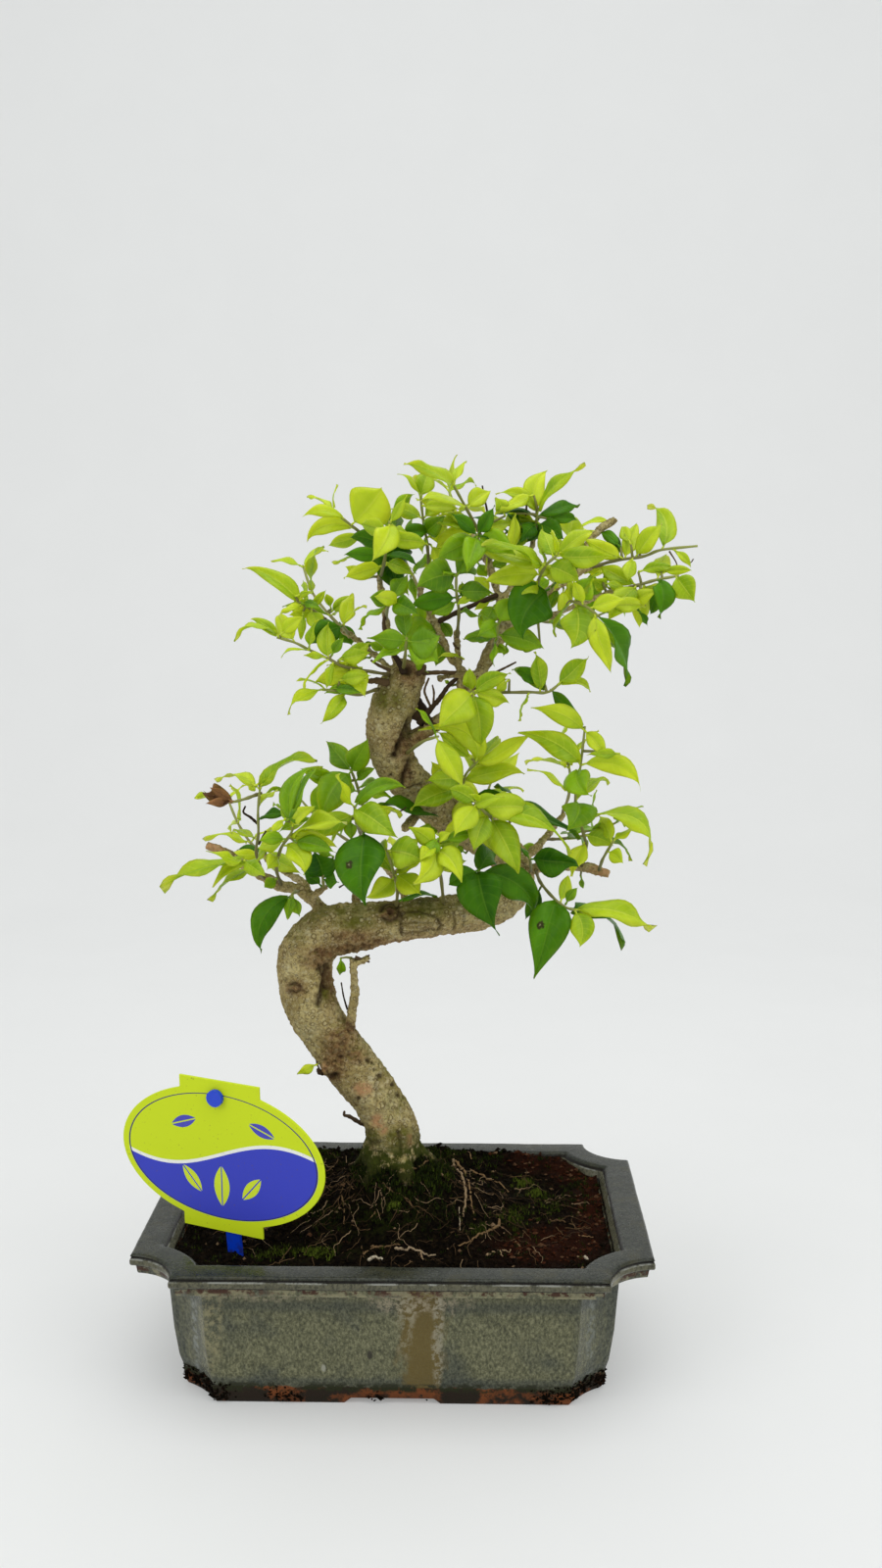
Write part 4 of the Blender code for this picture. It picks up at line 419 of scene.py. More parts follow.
# Bare twigs and dark stubs: start radius, end radius, then x, z and depth of each point
LOOSE_TWIGS = [
    (0.4, 0.28, [(-17, 139.5, -10), (-18.5, 145, -10), (-19.4, 150.8, -10)]),
    (0.75, 0.4, [(-13.8, 161.3, -12), (-10.2, 160.2, -12), (-8, 159.4, -12)]),
    (0.5, 0.35, [(-10.6, 160.4, -12), (-9, 161.4, -12), (-8, 162.2, -12)]),
    (1.1, 0.5, [(-7.5, 90.4, -3), (-12.5, 92, -5), (-16.5, 94.4, -6), (-18.6, 95, -6), (-18.6, 96.6, -6)]),
    (1.5, 0.8, [(-25, 113.5, -4), (-28.3, 113.2, -7), (-29.2, 114.6, -7)]),
    (0.4, 0.28, [(-28, 113.5, -7), (-29.6, 117, -7), (-30, 122.5, -7)]),
    (1.2, 0.8, [(12, 256, -2), (17, 262, -4), (20.5, 266, -4), (24, 271, -4), (29, 275.5, -2)]),
    (0.5, 0.35, [(17.8, 263, -4), (18.2, 268, -4), (17.6, 271.3, -4)]),
    (0.55, 0.4, [(17, 262.5, -4), (15.2, 266.5, -4), (14.5, 269.5, -4), (16.2, 274, -5)]),
    (2.6, 2.0, [(15, 255, 1), (13.4, 261, 2), (10, 267, 2)]),
    (1.6, 1.1, [(0, 272, -6), (-4, 273, -8), (-7.5, 272.8, -9)]),
    (0.7, 0.5, [(1, 277, -6), (-3, 278.8, -7), (-6.5, 281, -8)]),
    (1.4, 1.0, [(6.5, 276, -6), (4, 281, -7), (2.5, 283, -7)]),
    (1.0, 0.9, [(12, 275.5, -5), (14, 277.2, -6), (14.6, 279, -6)]),
    (0.9, 0.7, [(-0.6, 291, -3), (-1.5, 295.5, -4), (-0.8, 299, -4)]),
    (0.9, 0.7, [(14, 276, -3), (22, 276.3, -4), (30, 276, -3)]),
    (1.1, 0.9, [(19.5, 296, 1), (30, 301, 1), (43, 306.5, 1)]),
    (0.5, 0.3, [(40, 333, -2), (38.5, 341, -3), (37, 348.5, -4)]),
    (0.45, 0.3, [(54, 337, -2), (54.2, 341, -3), (54, 345, -4)]),
    (0.6, 0.35, [(-52.3, 216, -8), (-55, 218.5, -8), (-57.8, 220.5, -8.5), (-57, 223, -9)]),
    (0.5, 0.35, [(-52, 207.5, -6), (-50.4, 210.5, -6), (-49, 213, -6)]),
    (3.0, 2.2, [(6, 262, 3), (13, 259, 1), (19, 254.5, -2)]),
    (0.4, 0.25, [(-20, 190, -6), (-17, 191.5, -6), (-12, 191.5, -7)]),
    (0.35, 0.2, [(112, 324, -9), (114.5, 321, -10), (118, 319, -10), (119.5, 320.5, -10)]),
    (0.35, 0.2, [(110, 323.5, -9), (113, 318.5, -10), (112, 315.5, -10)]),
    (0.5, 0.35, [(28, 285.5, -5), (26.5, 286.5, -5), (25.8, 288, -5)]),
    (0.6, 0.35, [(35, 271.5, -2), (41, 275.5, -2), (46, 278, -2), (50.5, 280.3, -3)]),
    (0.45, 0.3, [(2, 222, -8), (4.5, 221, -9), (7, 222.5, -9)]),
]


def in_pot_frame(place):
    """A place of the reading, about the pot's own middle and sides."""
    return Matrix.Rotation(-POT_TURN, 3, "Z") @ (Vector(place) - POT_PLACE)


EYE = in_pot_frame(READING_EYE)


def seen(x, z, depth):
    """The place in space of a point read at (x, z), at its depth."""
    on_plane = Vector((x, 0.0, z))
    share = (depth - READING_EYE.y) / (0.0 - READING_EYE.y)
    return in_pot_frame(READING_EYE + (on_plane - READING_EYE) * share)


def read_at(points):
    """The (x, z) at which points are read, one row each."""
    cos, sin = math.cos(POT_TURN), math.sin(POT_TURN)
    x = points[:, 0] * cos - points[:, 1] * sin + POT_PLACE.x
    y = points[:, 0] * sin + points[:, 1] * cos + POT_PLACE.y
    z = points[:, 2] + POT_PLACE.z
    share = -READING_EYE.y / (y - READING_EYE.y)
    return READING_EYE.x + (x - READING_EYE.x) * share, READING_EYE.z + (z - READING_EYE.z) * share


def read_one(point):
    """The (x, z) at which one point is read."""
    x, z = read_at(np.array([point]))
    return x[0], z[0]


TRUNK_LINE = [(*seen(x, z, depth), radius) for x, z, depth, radius in TRUNK]


def to_row(points):
    """Pot millimetres to the row's frame."""
    return points * MM + np.array(POT_MIDDLE)


def corners_of(mesh):
    """The corners of a mesh, in pot millimetres."""
    flat = np.empty(len(mesh.vertices) * 3, np.float32)
    mesh.vertices.foreach_get("co", flat)
    return (flat.reshape(-1, 3).astype(float) - np.array(POT_MIDDLE)) / MM


def tapered(points, start, end):
    """Rows of x, y, z and radius along points, from one radius to the other."""
    return [(*point, start + (end - start) * k / (len(points) - 1)) for k, point in enumerate(points)]


def smooth_curve(points, count):
    """A Catmull-Rom curve through points of any width, read at even steps."""
    p = np.array(points, float)
    p = np.vstack([2 * p[0] - p[1], p, 2 * p[-1] - p[-2]])
    spans = len(p) - 3
    out = []
    for k in range(count):
        place = k * spans / (count - 1)
        i = min(int(place), spans - 1)
        t = place - i
        a, b, c, d = p[i:i + 4]
        out.append(0.5 * (2 * b + (c - a) * t + (2 * a - 5 * b + 4 * c - d) * t * t
                          + (3 * b - a - 3 * c + d) * t ** 3))
    return np.array(out)


def show(thing):
    """Puts an object in the scene."""
    bpy.context.scene.collection.objects.link(thing)
    return thing


class Heap:
    """Corners and faces of many forms, gathered into one mesh, with a leaf map and a tone for each corner."""

    def __init__(self):
        self.corners, self.faces, self.slots, self.maps, self.tones = [], [], [], [], []
        self.count = 0

    def add(self, corners, faces, slot=0, leaf_map=None, tone=0.5):
        corners = np.array([tuple(corner) for corner in corners], float)
        self.faces += [tuple(i + self.count for i in face) for face in faces]
        self.slots += [slot] * len(faces)
        self.corners.append(corners)
        self.maps.append(np.zeros((len(corners), 2)) if leaf_map is None else leaf_map)
        self.tones.append(np.zeros(len(corners)) + tone)
        self.count += len(corners)

    def piece(self, name, materials, finish, nodes=(), smooth=True):
        """Makes the mesh object, in the row's frame, riding on the part's one body."""
        corners = np.clip(to_row(np.vstack(self.corners)), *cad_box)
        mesh = bpy.data.meshes.new(name)
        mesh.from_pydata(corners.tolist(), [], self.faces)
        for made in materials:
            mesh.materials.append(made)
        mesh.polygons.foreach_set("material_index", self.slots)
        mesh.polygons.foreach_set("use_smooth", [smooth] * len(self.faces))
        maps = np.vstack(self.maps)
        if maps.any():
            loops = np.zeros(len(mesh.loops), int)
            mesh.loops.foreach_get("vertex_index", loops)
            mesh.uv_layers.new(name="leaf").data.foreach_set("uv", maps[loops].ravel())
        thing = show(bpy.data.objects.new(name, mesh))
        paint(thing, "tone", np.concatenate(self.tones))
        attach(thing, "root")
        if nodes:
            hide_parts(*nodes)
        return thing


def paint(thing, name, values):
    """Stores one value for each corner of the object."""
    layer = thing.data.attributes.get(name) or thing.data.attributes.new(name, "FLOAT", "POINT")
    layer.data.foreach_set("value", values)


def frames_along(line):
    """For each point of a line, its direction and two directions across it, turned as little as may be."""
    line = [Vector(p) for p in line]
    across = None
    out = []
    for k in range(len(line)):
        ahead = (line[min(k + 1, len(line) - 1)] - line[max(k - 1, 0)]).normalized()
        if across is None:
            across = ahead.cross(Vector((0.31, 0.95, 0.05))).normalized()
        across = (across - ahead * across.dot(ahead)).normalized()
        out.append((ahead, across, ahead.cross(across)))
    return out


def band_faces(rings, count, around=False):
    """Faces between each ring of corners and the next, and from the last to the first if it goes around."""
    faces = []
    for k in range(rings if around else rings - 1):
        low, high = k * count, (k + 1) % rings * count
        faces += [(low + i, low + (i + 1) % count, high + (i + 1) % count, high + i) for i in range(count)]
    return faces


def tube_form(rows, sides, shape=None):
    """Corners and faces of a closed tube along rows of x, y, z and radius."""
    corners = []
    for k, (_, across, other) in enumerate(frames_along([row[:3] for row in rows])):
        for i in range(sides):
            angle = 2 * math.pi * i / sides
            radius = rows[k][3] * (shape(angle, k) if shape else 1.0)
            out = across * math.cos(angle) + other * math.sin(angle)
            corners.append(Vector(rows[k][:3]) + out * radius)
    end = (len(rows) - 1) * sides
    lids = [tuple(range(sides))[::-1], tuple(range(end, end + sides))]
    return corners, band_faces(len(rows), sides) + lids


def rough(points, scale, seed=0.0, octaves=1):
    """Smooth noise at each point, from -1 to 1."""
    shift = Vector((seed, seed, seed))
    return np.array([noise.fractal(Vector(p) * scale + shift, 1.0, 2.0, octaves) for p in points])


# Materials

class Shade:
    """A value in the node tree of the material that is being made, with plain arithmetic."""

    tree = None

    def __init__(self, made, output=0):
        self.socket = made.outputs[output]

    def held(self):
        """The same value, held between 0 and 1."""
        self.socket.node.use_clamp = True
        return self

    def __add__(self, other):
        return calc("ADD", self, other)

    def __sub__(self, other):
        return calc("SUBTRACT", self, other)

    def __rsub__(self, other):
        return calc("SUBTRACT", other, self)

    def __mul__(self, other):
        return calc("MULTIPLY", self, other)

    def __truediv__(self, other):
        return calc("DIVIDE", self, other)

    def __pow__(self, other):
        return calc("POWER", self, other)

    def __abs__(self):
        return calc("ABSOLUTE", self)

    def __lt__(self, other):
        return calc("LESS_THAN", self, other)

    def __gt__(self, other):
        return calc("GREATER_THAN", self, other)


def fill(socket, value):
    """Links a shade to a node's input, or sets the input's own value."""
    if isinstance(value, Shade):
        Shade.tree.links.new(value.socket, socket)
    else:
        socket.default_value = (*value, 1) if socket.type == "RGBA" and len(value) == 3 else value


def node(kind, inputs=None, **settings):
    """A shader node with its settings and inputs."""
    made = Shade.tree.nodes.new("ShaderNode" + kind)
    for key, value in settings.items():
        setattr(made, key, value)
    for key, value in (inputs or {}).items():
        fill(made.inputs[key], value)
    return made


def calc(operation, first, second=0.0):
    """Arithmetic on shades or plain numbers."""
    return Shade(node("Math", {0: first, 1: second}, operation=operation))


def mix(factor, first, second):
    """A colour from the first to the second."""
    return Shade(node("Mix", {0: factor, 6: first, 7: second}, data_type="RGBA"), 2)


def times(*values):
    """The product of values, held between 0 and 1."""
    total = values[0]
    for value in values[1:]:
        total = (total * value).held()
    return total


def coat(base, tint, *masks):
    """A colour laid over the base where all the masks are."""
    return mix(times(*masks), base, tint)


def ramp(factor, *stops):
    """A ramp through (place, colour or grey) stops."""
    made = node("ValToRGB", {"Fac": factor})
    band = made.color_ramp
    while len(band.elements) < len(stops):
        band.elements.new(0.5)
    for element, (place, value) in zip(band.elements, stops):
        element.position = place
        element.color = (value, value, value, 1) if isinstance(value, (int, float)) else (*value, 1)
    return Shade(made, "Color")


def place_of():
    """Places in the piece's own space, in metres."""
    return Shade(Shade.tree.nodes.get("Place") or node("TexCoord", name="Place"), "Object")


def parts(vector):
    """The x, y and z of a vector."""
    made = node("SeparateXYZ", {0: vector})
    return [Shade(made, k) for k in range(3)]


def height_of():
    """Height above the table, in millimetres."""
    return parts(place_of())[2] * (1 / MM)


def leaf_map():
    """Places across and along a blade, or over the tag."""
    return parts(Shade(node("UVMap", uv_map="leaf")))[:2]


def attribute(name):
    """A value that each corner of the mesh carries."""
    return Shade(node("Attribute", attribute_name=name), "Fac")


def grain(scale, detail=3.0, roughness=0.55, stretch=None, distortion=0.0):
    """Noise in the piece's own space, at a scale counted per millimetre."""
    source = place_of()
    if stretch:
        source = Shade(node("Mapping", {"Vector": source, "Scale": stretch}))
    return Shade(node("TexNoise", {"Vector": source, "Scale": scale / MM, "Detail": detail,
                                   "Roughness": roughness, "Distortion": distortion}), "Fac")


def patches(scale, detail, roughness, start, end, low=0.0, high=1.0):
    """Patches of noise, from low to high between two levels of it."""
    return ramp(grain(scale, detail, roughness), (start, low), (end, high))


def band_of(value, low, high, soft):
    """One between two values, falling off to nothing past them."""
    return ((value - (low - soft)) / soft).held() * ((high + soft - value) / soft).held()


def surface(name, base, roughness, relief=None, strength=0.3, distance=0.3, **sockets):
    """A Principled material; functions lay out nodes, and a relief may be a grain's own numbers."""
    made = bpy.data.materials.new(name)
    made.use_nodes = True
    Shade.tree = made.node_tree
    shader = Shade.tree.nodes["Principled BSDF"]
    sockets.update(Base_Color=base, Roughness=roughness)
    for key, value in sockets.items():
        fill(shader.inputs[key.replace("_", " ")], value() if callable(value) else value)
    if relief:
        height = relief() if callable(relief) else grain(*relief)
        bump = node("Bump", {"Height": height, "Strength": strength, "Distance": distance * MM})
        fill(shader.inputs["Normal"], Shade(bump))
    return made


# Leaves

BLADE_COLUMNS = (-1.0, -0.62, -0.26, 0.0, 0.26, 0.62, 1.0)
BLADE_ROWS = 14
WIDEST = 0.38
DRAWN_OUT = 1.7
PLAIN_BOW = (0, 0, DRAWN_OUT)
BLADE_THICKNESS = 0.34
PETIOLE_LENGTH = 1.6
PETIOLE_RADIUS = 0.42
SEAT_STEP = 0.02
SEAT_TRIES = 51
SEAT_FIT = 0.012
FIT = 0.03
SLIM_SHARE = 0.32
CROWN = 255.0
CROWN_WIDTH = 1.15
EDGE_WIDTH = 0.8
STEM_SHARE = 0.76
STEM_SIDES = 8
TURNED_REACH = 1.5
TRUNK_PLACES = 200

# Where the foliage is dense: middle x and z, half width and half height
THICKETS = [(42, 318, 44, 20), (24, 211, 36, 19), (-26, 208, 18, 9)]


class NodeCorners:
    """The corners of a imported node, in pot millimetres, to find what the node was made from."""

    def __init__(self, name):
        self.points = corners_of(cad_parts[name].data)

    def near(self, place):
        return np.linalg.norm(self.points - np.array(place), axis=1)

    def seated(self, points):
        """The stem's points, with the first one where the node's stem starts."""
        best, most = points[0], 0
        for k in range(SEAT_TRIES):
            place, _ = along(points, k * SEAT_STEP)
            fits = int((np.abs(self.near(place) - TWIG_BASE) < SEAT_FIT).sum())
            if fits > most:
                best, most = place, fits
        return [best] + points[1:]

    def bent(self, tip):
        """The leaf's tip where the node has it, or None where the node has no such leaf."""
        sight = (tip - EYE).normalized()
        for shift in BEND_TRIES:
            moved = tip + sight * shift
            if self.near(moved).min() < FIT:
                return moved
        return None


def along(points, place):
    """The point at a place counted in points, and the direction there."""
    i = min(int(place), len(points) - 2)
    ahead = (points[i + 1] - points[i]).normalized()
    return points[i].lerp(points[i + 1], place - i), ahead


def spread_stem(stem):
    """The stem's points in space, with their depths drawn out from that of its seat."""
    seat = stem[0][2]
    return [seen(x, z, seat + (depth - seat) * STEM_SPREAD) for x, z, depth in stem]


def leaf_root(points, place):
    """A leaf's root inside the stem, short of the stem's end, and the stem's direction there."""
    root, ahead = along(points, place)
    to_end = (points[-1] - root).length
    if to_end < ROOT_SUNK:
        root = root - ahead * (ROOT_SUNK - to_end)
    return root, ahead


def facing_eye(root, tip, width):
    """The upward normal and full width of a leaf that looks as wide as stated from the eye."""
    axis = (tip - root).normalized()
    to_eye = (EYE - root).normalized()
    flat = (to_eye - axis * to_eye.dot(axis)).normalized()
    edge = axis.cross(flat)
    if edge.z < 0:
        edge = -edge
    full = max(width, SLIM_SHARE * (tip - root).length)
    roll = math.acos(min(1.0, width / full))
    return flat * math.cos(roll) + edge * math.sin(roll), full


def facing_out(root, tip):
    """The normal and width of a leaf that looks up and away from the middle of the tree."""
    axis = (tip - root).normalized()
    outward = Vector((root.x - 20, root.y, 0)).normalized()
    look = Vector((0, 0, 0.8)) + outward * 0.55
    normal = (look - axis * look.dot(axis)).normalized()
    return normal, WIDTH_SHARE * (tip - root).length


def ruled_tips(points, length, pairs, draw):
    """Roots and tips of opposite pairs up a stem, each pair turned a quarter from the last."""
    made = []
    for k in range(pairs):
        root, ahead = leaf_root(points, (len(points) - 1) * (0.34 + 0.66 * k / (pairs - 1)))
        across = ahead.cross(Vector((0, 0, 1))).normalized()
        other = ahead.cross(across)
        turn = 0.5 * math.pi * k + draw.uniform(-0.3, 0.3)
        for side in (0, math.pi):
            out = across * math.cos(turn + side) + other * math.sin(turn + side)
            reach = length * draw.uniform(0.8, 1.1) * (0.8 if k == pairs - 1 else 1.0)
            made.append((root, root + (out + ahead * 0.65 - Vector((0, 0, 0.12))).normalized() * reach))
    return made


def blade_share(place, widest, drawn):
    """Share of the full width at a place along the blade: ovate, drawn out to a long point."""
    if place < widest:
        return (1 - ((widest - place) / widest) ** 2) ** 0.8
    beyond = (place - widest) / (1 - widest)
    return (1 - beyond) ** drawn * (1 + drawn * beyond)


class Foliage(Heap):
    """A heap of stems and leaves, with a material for each kind among them."""

    def __init__(self):
        super().__init__()
        self.kinds = ["twig"]

    def leafy_piece(self, name, finish, nodes=()):
        self.piece(name, [LEAF_KINDS[kind] for kind in self.kinds], finish, nodes)

    def add_stem(self, points):
        """A slim stem that swells past its seat and tapers to its tip, with a ring at each leaf pair."""
        ahead = (points[1] - points[0]).normalized()
        swell = points[0] + ahead * min(1.2, 0.4 * (points[1] - points[0]).length)
        rows = [(*(points[0] - ahead * ROOT_SUNK), TWIG_BASE)]
        rows += tapered([swell] + points[1:], TWIG_RADIUS, TWIG_TIP)
        fine = smooth_curve(rows, max(14, 7 * len(rows)))
        for k, row in enumerate(fine):
            row[3] = row[3] * STEM_SHARE * (1 + 0.12 * math.sin(0.9 * k))
        tones = np.repeat(np.linspace(0, 1, len(fine)), STEM_SIDES)
        self.add(*tube_form(fine, STEM_SIDES), tone=tones)

    def add_leaf(self, kind, root, tip, normal, width, draw, crumple=0.0, bow=PLAIN_BOW):
        """A blade on its stalk, arched and folded along its midrib, with its tip where the node has it."""
        if kind not in self.kinds:
            self.kinds.append(kind)
        axis = tip - root
        length = axis.length
        forward = axis / length
        side = normal.cross(forward).normalized()
        lift = Vector((0, 0, 1)) - forward * forward.z
        rise = (normal * 0.6 + lift * 0.4) * length
        bowed = Vector((bow[0], 0, bow[1])) * 1.3
        early = root + axis * 0.3 + rise * draw.uniform(0.06, 0.18) + bowed
        late = root + axis * draw.uniform(0.74, 0.86) + rise * draw.uniform(0.1, 0.3) + bowed
        sickle = draw.uniform(-0.1, 0.1) * length
        fold = draw.uniform(0.15, 0.9) + crumple
        wave = (draw.uniform(0.025, 0.085) + 0.15 * crumple) * length
        phase = draw.uniform(0, 2 * math.pi)
        twist = draw.uniform(-0.9, 0.9)
        widest = draw.uniform(WIDEST - 0.07, WIDEST + 0.07)
        tone = draw.random()
        start = min(0.3, PETIOLE_LENGTH / length)
        upper, lower, maps = [], [], []
        for i in range(BLADE_ROWS):
            place = i / (BLADE_ROWS - 1)
            t = start + (1 - start) * place
            back = 1 - t
            centre = root * back ** 3 + early * 3 * t * back ** 2 + late * 3 * t * t * back + tip * t ** 3
            ahead = (early - root) * back ** 2 + (late - early) * 2 * t * back + (tip - late) * t * t
            ahead = ahead.normalized()
            turned = side * math.cos(twist * place) + ahead.cross(side) * math.sin(twist * place)
            across = (turned - ahead * turned.dot(ahead)).normalized()
            up = ahead.cross(across)
            centre = centre + across * sickle * math.sin(math.pi * place) * back
            half = max(0.5 * width * blade_share(place, widest, bow[2]), PETIOLE_RADIUS * (1 - place))
            for column in BLADE_COLUMNS:
                rim = abs(column)
                lift = fold * half * rim * (1 - 0.35 * rim)
                lift += wave * rim ** 2 * math.sin(phase + place * 9 + (0 if column > 0 else 2.1))
                lift -= 0.22 * half * rim ** 4
                spot = centre + across * half * column + up * lift
                body = 0.5 * BLADE_THICKNESS * (1 - 0.8 * rim ** 3) * (1 - 0.55 * place)
                upper.append(spot + up * body)
                lower.append(spot - up * body)
                maps.append((column, place))
        slot = self.kinds.index(kind)
        self.add_stalk(root, upper[len(BLADE_COLUMNS) // 2], slot, tone)
        self.add(upper + lower, BLADE_FACES, slot, np.array(maps * 2), tone)

    def add_stalk(self, root, end, slot, tone):
        """The leaf's slim stalk, from inside the stem into the blade's base."""
        axis = end - root
        steps = ((0, 0.5), (0.5, 0.42), (1.02, 0.36), (1.5, 0.15))
        corners, faces = tube_form([(*(root + axis * share), radius) for share, radius in steps], 6)
        self.add(corners, faces, slot, np.tile((0.0, 0.02), (len(corners), 1)), tone)

    def hang_leaf(self, stems, row, look):
        """A further leaf, hung on the stem that is read nearest to its base."""
        base_x, base_z, tip_x, tip_z, depth, width, kind = row
        _, centre, girth, off = stems.nearest(base_x, base_z)
        root = centre
        if girth > 1.0 or off > 0:
            root = seen(base_x, base_z, centre.y - 0.7 * girth - 0.5 * max(off, 0.0))
        if off > 0.3:
            middle = centre.lerp(root, 0.5) + Vector((0, 0, 0.3))
            self.add(*tube_form([(*centre, 0.6), (*middle, 0.5), (*root, 0.42)], 6), tone=0.6)
        tip = seen(tip_x, tip_z, root.y + depth * LEAF_SPREAD)
        self.add_leaf(kind, root, tip, *facing_eye(root, tip, width), look)


def lens_faces(columns, rows):
    """Faces of a closed blade between two sheets of corners."""
    faces = []
    shift = columns * rows
    for i in range(rows - 1):
        for j in range(columns - 1):
            a, b = i * columns + j, i * columns + j + 1
            c, d = b + columns, a + columns
            faces += [(a, b, c, d), (a + shift, d + shift, c + shift, b + shift)]
    for i in range(rows - 1):
        left, right = i * columns, i * columns + columns - 1
        faces.append((left, left + columns, left + columns + shift, left + shift))
        faces.append((right, right + shift, right + columns + shift, right + columns))
    last = (rows - 1) * columns
    for j in range(columns - 1):
        faces.append((j, j + shift, j + 1 + shift, j + 1))
        faces.append((last + j, last + j + 1, last + j + 1 + shift, last + j + shift))
    return faces


BLADE_FACES = lens_faces(len(BLADE_COLUMNS), BLADE_ROWS)


def leaf_hole(blade, hole_x, hole_z, size):
    """The blade's colour with a bitten hole's brown edge round a place on the leaves."""
    x, _, z = parts(place_of())
    across = x * (1 / MM) - (hole_x + POT_MIDDLE.x / MM)
    upward = z * (1 / MM) - hole_z
    torn = calc("SQRT", across * across + upward * upward) + grain(0.8, 3) * 2.6
    away = (torn - 0.8) / size
    blade = mix(ramp(away, (0.8, 1), (1.0, 0)), blade, (0.03, 0.024, 0.004))
    return mix(ramp(away, (0.3, 1), (0.42, 0)), blade, (0.2, 0.2, 0.1))


def side_veins(across, place):
    """Thin curved lines that leave the midrib and bend towards the tip."""
    run = calc("FRACT", (place - across ** 1.4 * 0.16) * 8.0)
    return (1.0 - abs(run - 0.5) * 9.0).held()


def leaf_surface(name, young, deep, vein, roughness, gloss, through, relief, holes=()):
    """A leaf's material: its midrib and side veins are paler, its tone varies from leaf to leaf, and painted
    shade darkens one half of the blade and its margin.
    """
    def colours():
        u, v = leaf_map()
        across = abs(u)
        mixing = (attribute("tone") * 0.8 + (grain(0.12, 4) - 0.3)).held()
        # Painted shade: the half of the blade on one side of the midrib is darker, as if folded away from the
        # light.
        mixing = (mixing - (u > 0.0) * 0.22).held()
        blade = mix(mixing, deep, young)
        # Painted shade: the blade darkens towards its margin, as if its edge curled into shadow.
        blade = mix(((across - 0.84) / 0.16).held() * 0.45, blade, deep)
        blade = mix(side_veins(across, v) * 0.2, blade, vein)
        blade = mix((1.0 - across * 16.0).held() * 0.6, blade, vein)
        for hole in holes:
            blade = leaf_hole(blade, *hole)
        return mix(grain(2.2, 3) * 0.16, blade, deep)

    def height():
        u, v = leaf_map()
        across = abs(u)
        low = (1.0 - across * 9.0).held() + side_veins(across, v) * 0.4
        return grain(1.6, 3) * 0.35 - low

    return surface(name, colours, roughness, height, relief, 0.25, Subsurface_Weight=through,
                   Subsurface_Radius=(1.0, 1.0, 0.25), Subsurface_Scale=0.0012, Specular_IOR_Level=gloss)


def twig_colour(slim, stout, scale, detail, dark):
    """A colour that runs from one to the other with the tone, with dark grain over it."""
    return lambda: mix(grain(scale, detail) * 0.5, mix(attribute("tone"), slim, stout), dark)


# Bitten holes in two old leaves: x, z and depth as read, and size
HOLES_READ = [(-14.2, 202.8, -22, 2.1), (61, 175, -24, 2.2)]
LEAF_HOLES = [(seen(x, z, depth).x, seen(x, z, depth).z, size) for x, z, depth, size in HOLES_READ]

# Colours when young, when deep and of the veins, roughness, gloss, light through the blade, relief, and holes
LEAF_LOOKS = {
    YOUNG: ((0.56, 0.69, 0.02), (0.19, 0.33, 0.002), (0.6, 0.7, 0.06), 0.36, 0.22, 0.5, 0.5),
    MATURE: ((0.25, 0.45, 0.003), (0.055, 0.165, 0.001), (0.3, 0.46, 0.03), 0.34, 0.2, 0.4, 0.5),
    OLD: ((0.085, 0.25, 0.003), (0.015, 0.08, 0.001), (0.12, 0.27, 0.015), 0.34, 0.1, 0.1, 0.6, LEAF_HOLES),
    DEAD: ((0.4, 0.19, 0.07), (0.05, 0.018, 0.008), (0.45, 0.24, 0.1), 0.75, 0.15, 0.1, 0.9),
}
LEAF_KINDS = {kind: leaf_surface(f"{kind}_blade", *looks) for kind, looks in LEAF_LOOKS.items()}
YOUNG_STEM = twig_colour((0.09, 0.055, 0.025), (0.3, 0.36, 0.05), 1.4, 3, (0.2, 0.14, 0.07))
LEAF_KINDS["twig"] = surface("young_twig", YOUNG_STEM, 0.5, (3.0, 3), 0.5, 0.3)
OLD_STEM = twig_colour((0.03, 0.018, 0.01), (0.16, 0.1, 0.045), 1.5, 4, (0.02, 0.012, 0.008))
BARE_TWIG = surface("bare_twig", OLD_STEM, 0.8, (2.5, 4), 0.7, 0.4, Specular_IOR_Level=0.15)


class Stems:
    """Places along every stem and slim limb, to hang further leaves on."""

    def __init__(self):
        self.rows, self.owners = [], []

    def add(self, owner, rows):
        """Takes rows of x, y, z and radius."""
        self.rows += list(rows)
        self.owners += [owner] * len(rows)

    def nearest(self, x, z):
        """The owner, centre and radius of the stem place read nearest to (x, z), and how far off it is."""
        rows = np.array(self.rows)
        read_x, read_z = read_at(rows)
        off = np.hypot(read_x - x, read_z - z) - 0.8 * rows[:, 3]
        k = int(np.argmin(off + 0.02 * (rows[:, 1] + 30)))
        return self.owners[k], Vector(rows[k, :3]), rows[k, 3], off[k]


def turned_away(tip):
    """Whether a leaf's tip is one of those whose blade is seen edge on."""
    x, z = read_one(tip)
    return any(math.hypot(x - away_x, z - away_z) < TURNED_REACH for away_x, away_z in TURNED_AWAY)


def opposite_tip(root, tip, ahead, look):
    """The tip of a smaller leaf across the stem from a leaf, where it would show in the thick foliage."""
    if ahead is None:
        return None
    turn = Matrix.Rotation(math.pi + look.uniform(-0.7, 0.7), 3, ahead)
    partner = root + turn @ (tip - root) * look.uniform(0.55, 0.85)
    partner += (root - EYE).normalized() * look.uniform(0, 5)
    x, z = read_one(partner)
    for middle_x, middle_z, wide, high in THICKETS:
        if ((x - middle_x) / wide) ** 2 + ((z - middle_z) / high) ** 2 < 1:
            return partner
    return None


def shown_leaves(points, slot, leaves):
    """Root, tip, width, kind, stem direction and bow of each leaf that is read in the picture."""
    made = []
    for place, x, z, depth, width, *own in leaves:
        root, ahead = leaf_root(points, place)
        kind, *bow = own or [slot]
        bow += PLAIN_BOW[len(bow):]
        width *= CROWN_WIDTH if z > CROWN else SEEN_WIDTH
        made.append((root, seen(x, z, root.y + depth * LEAF_SPREAD), width, kind, ahead, bow))
    return made


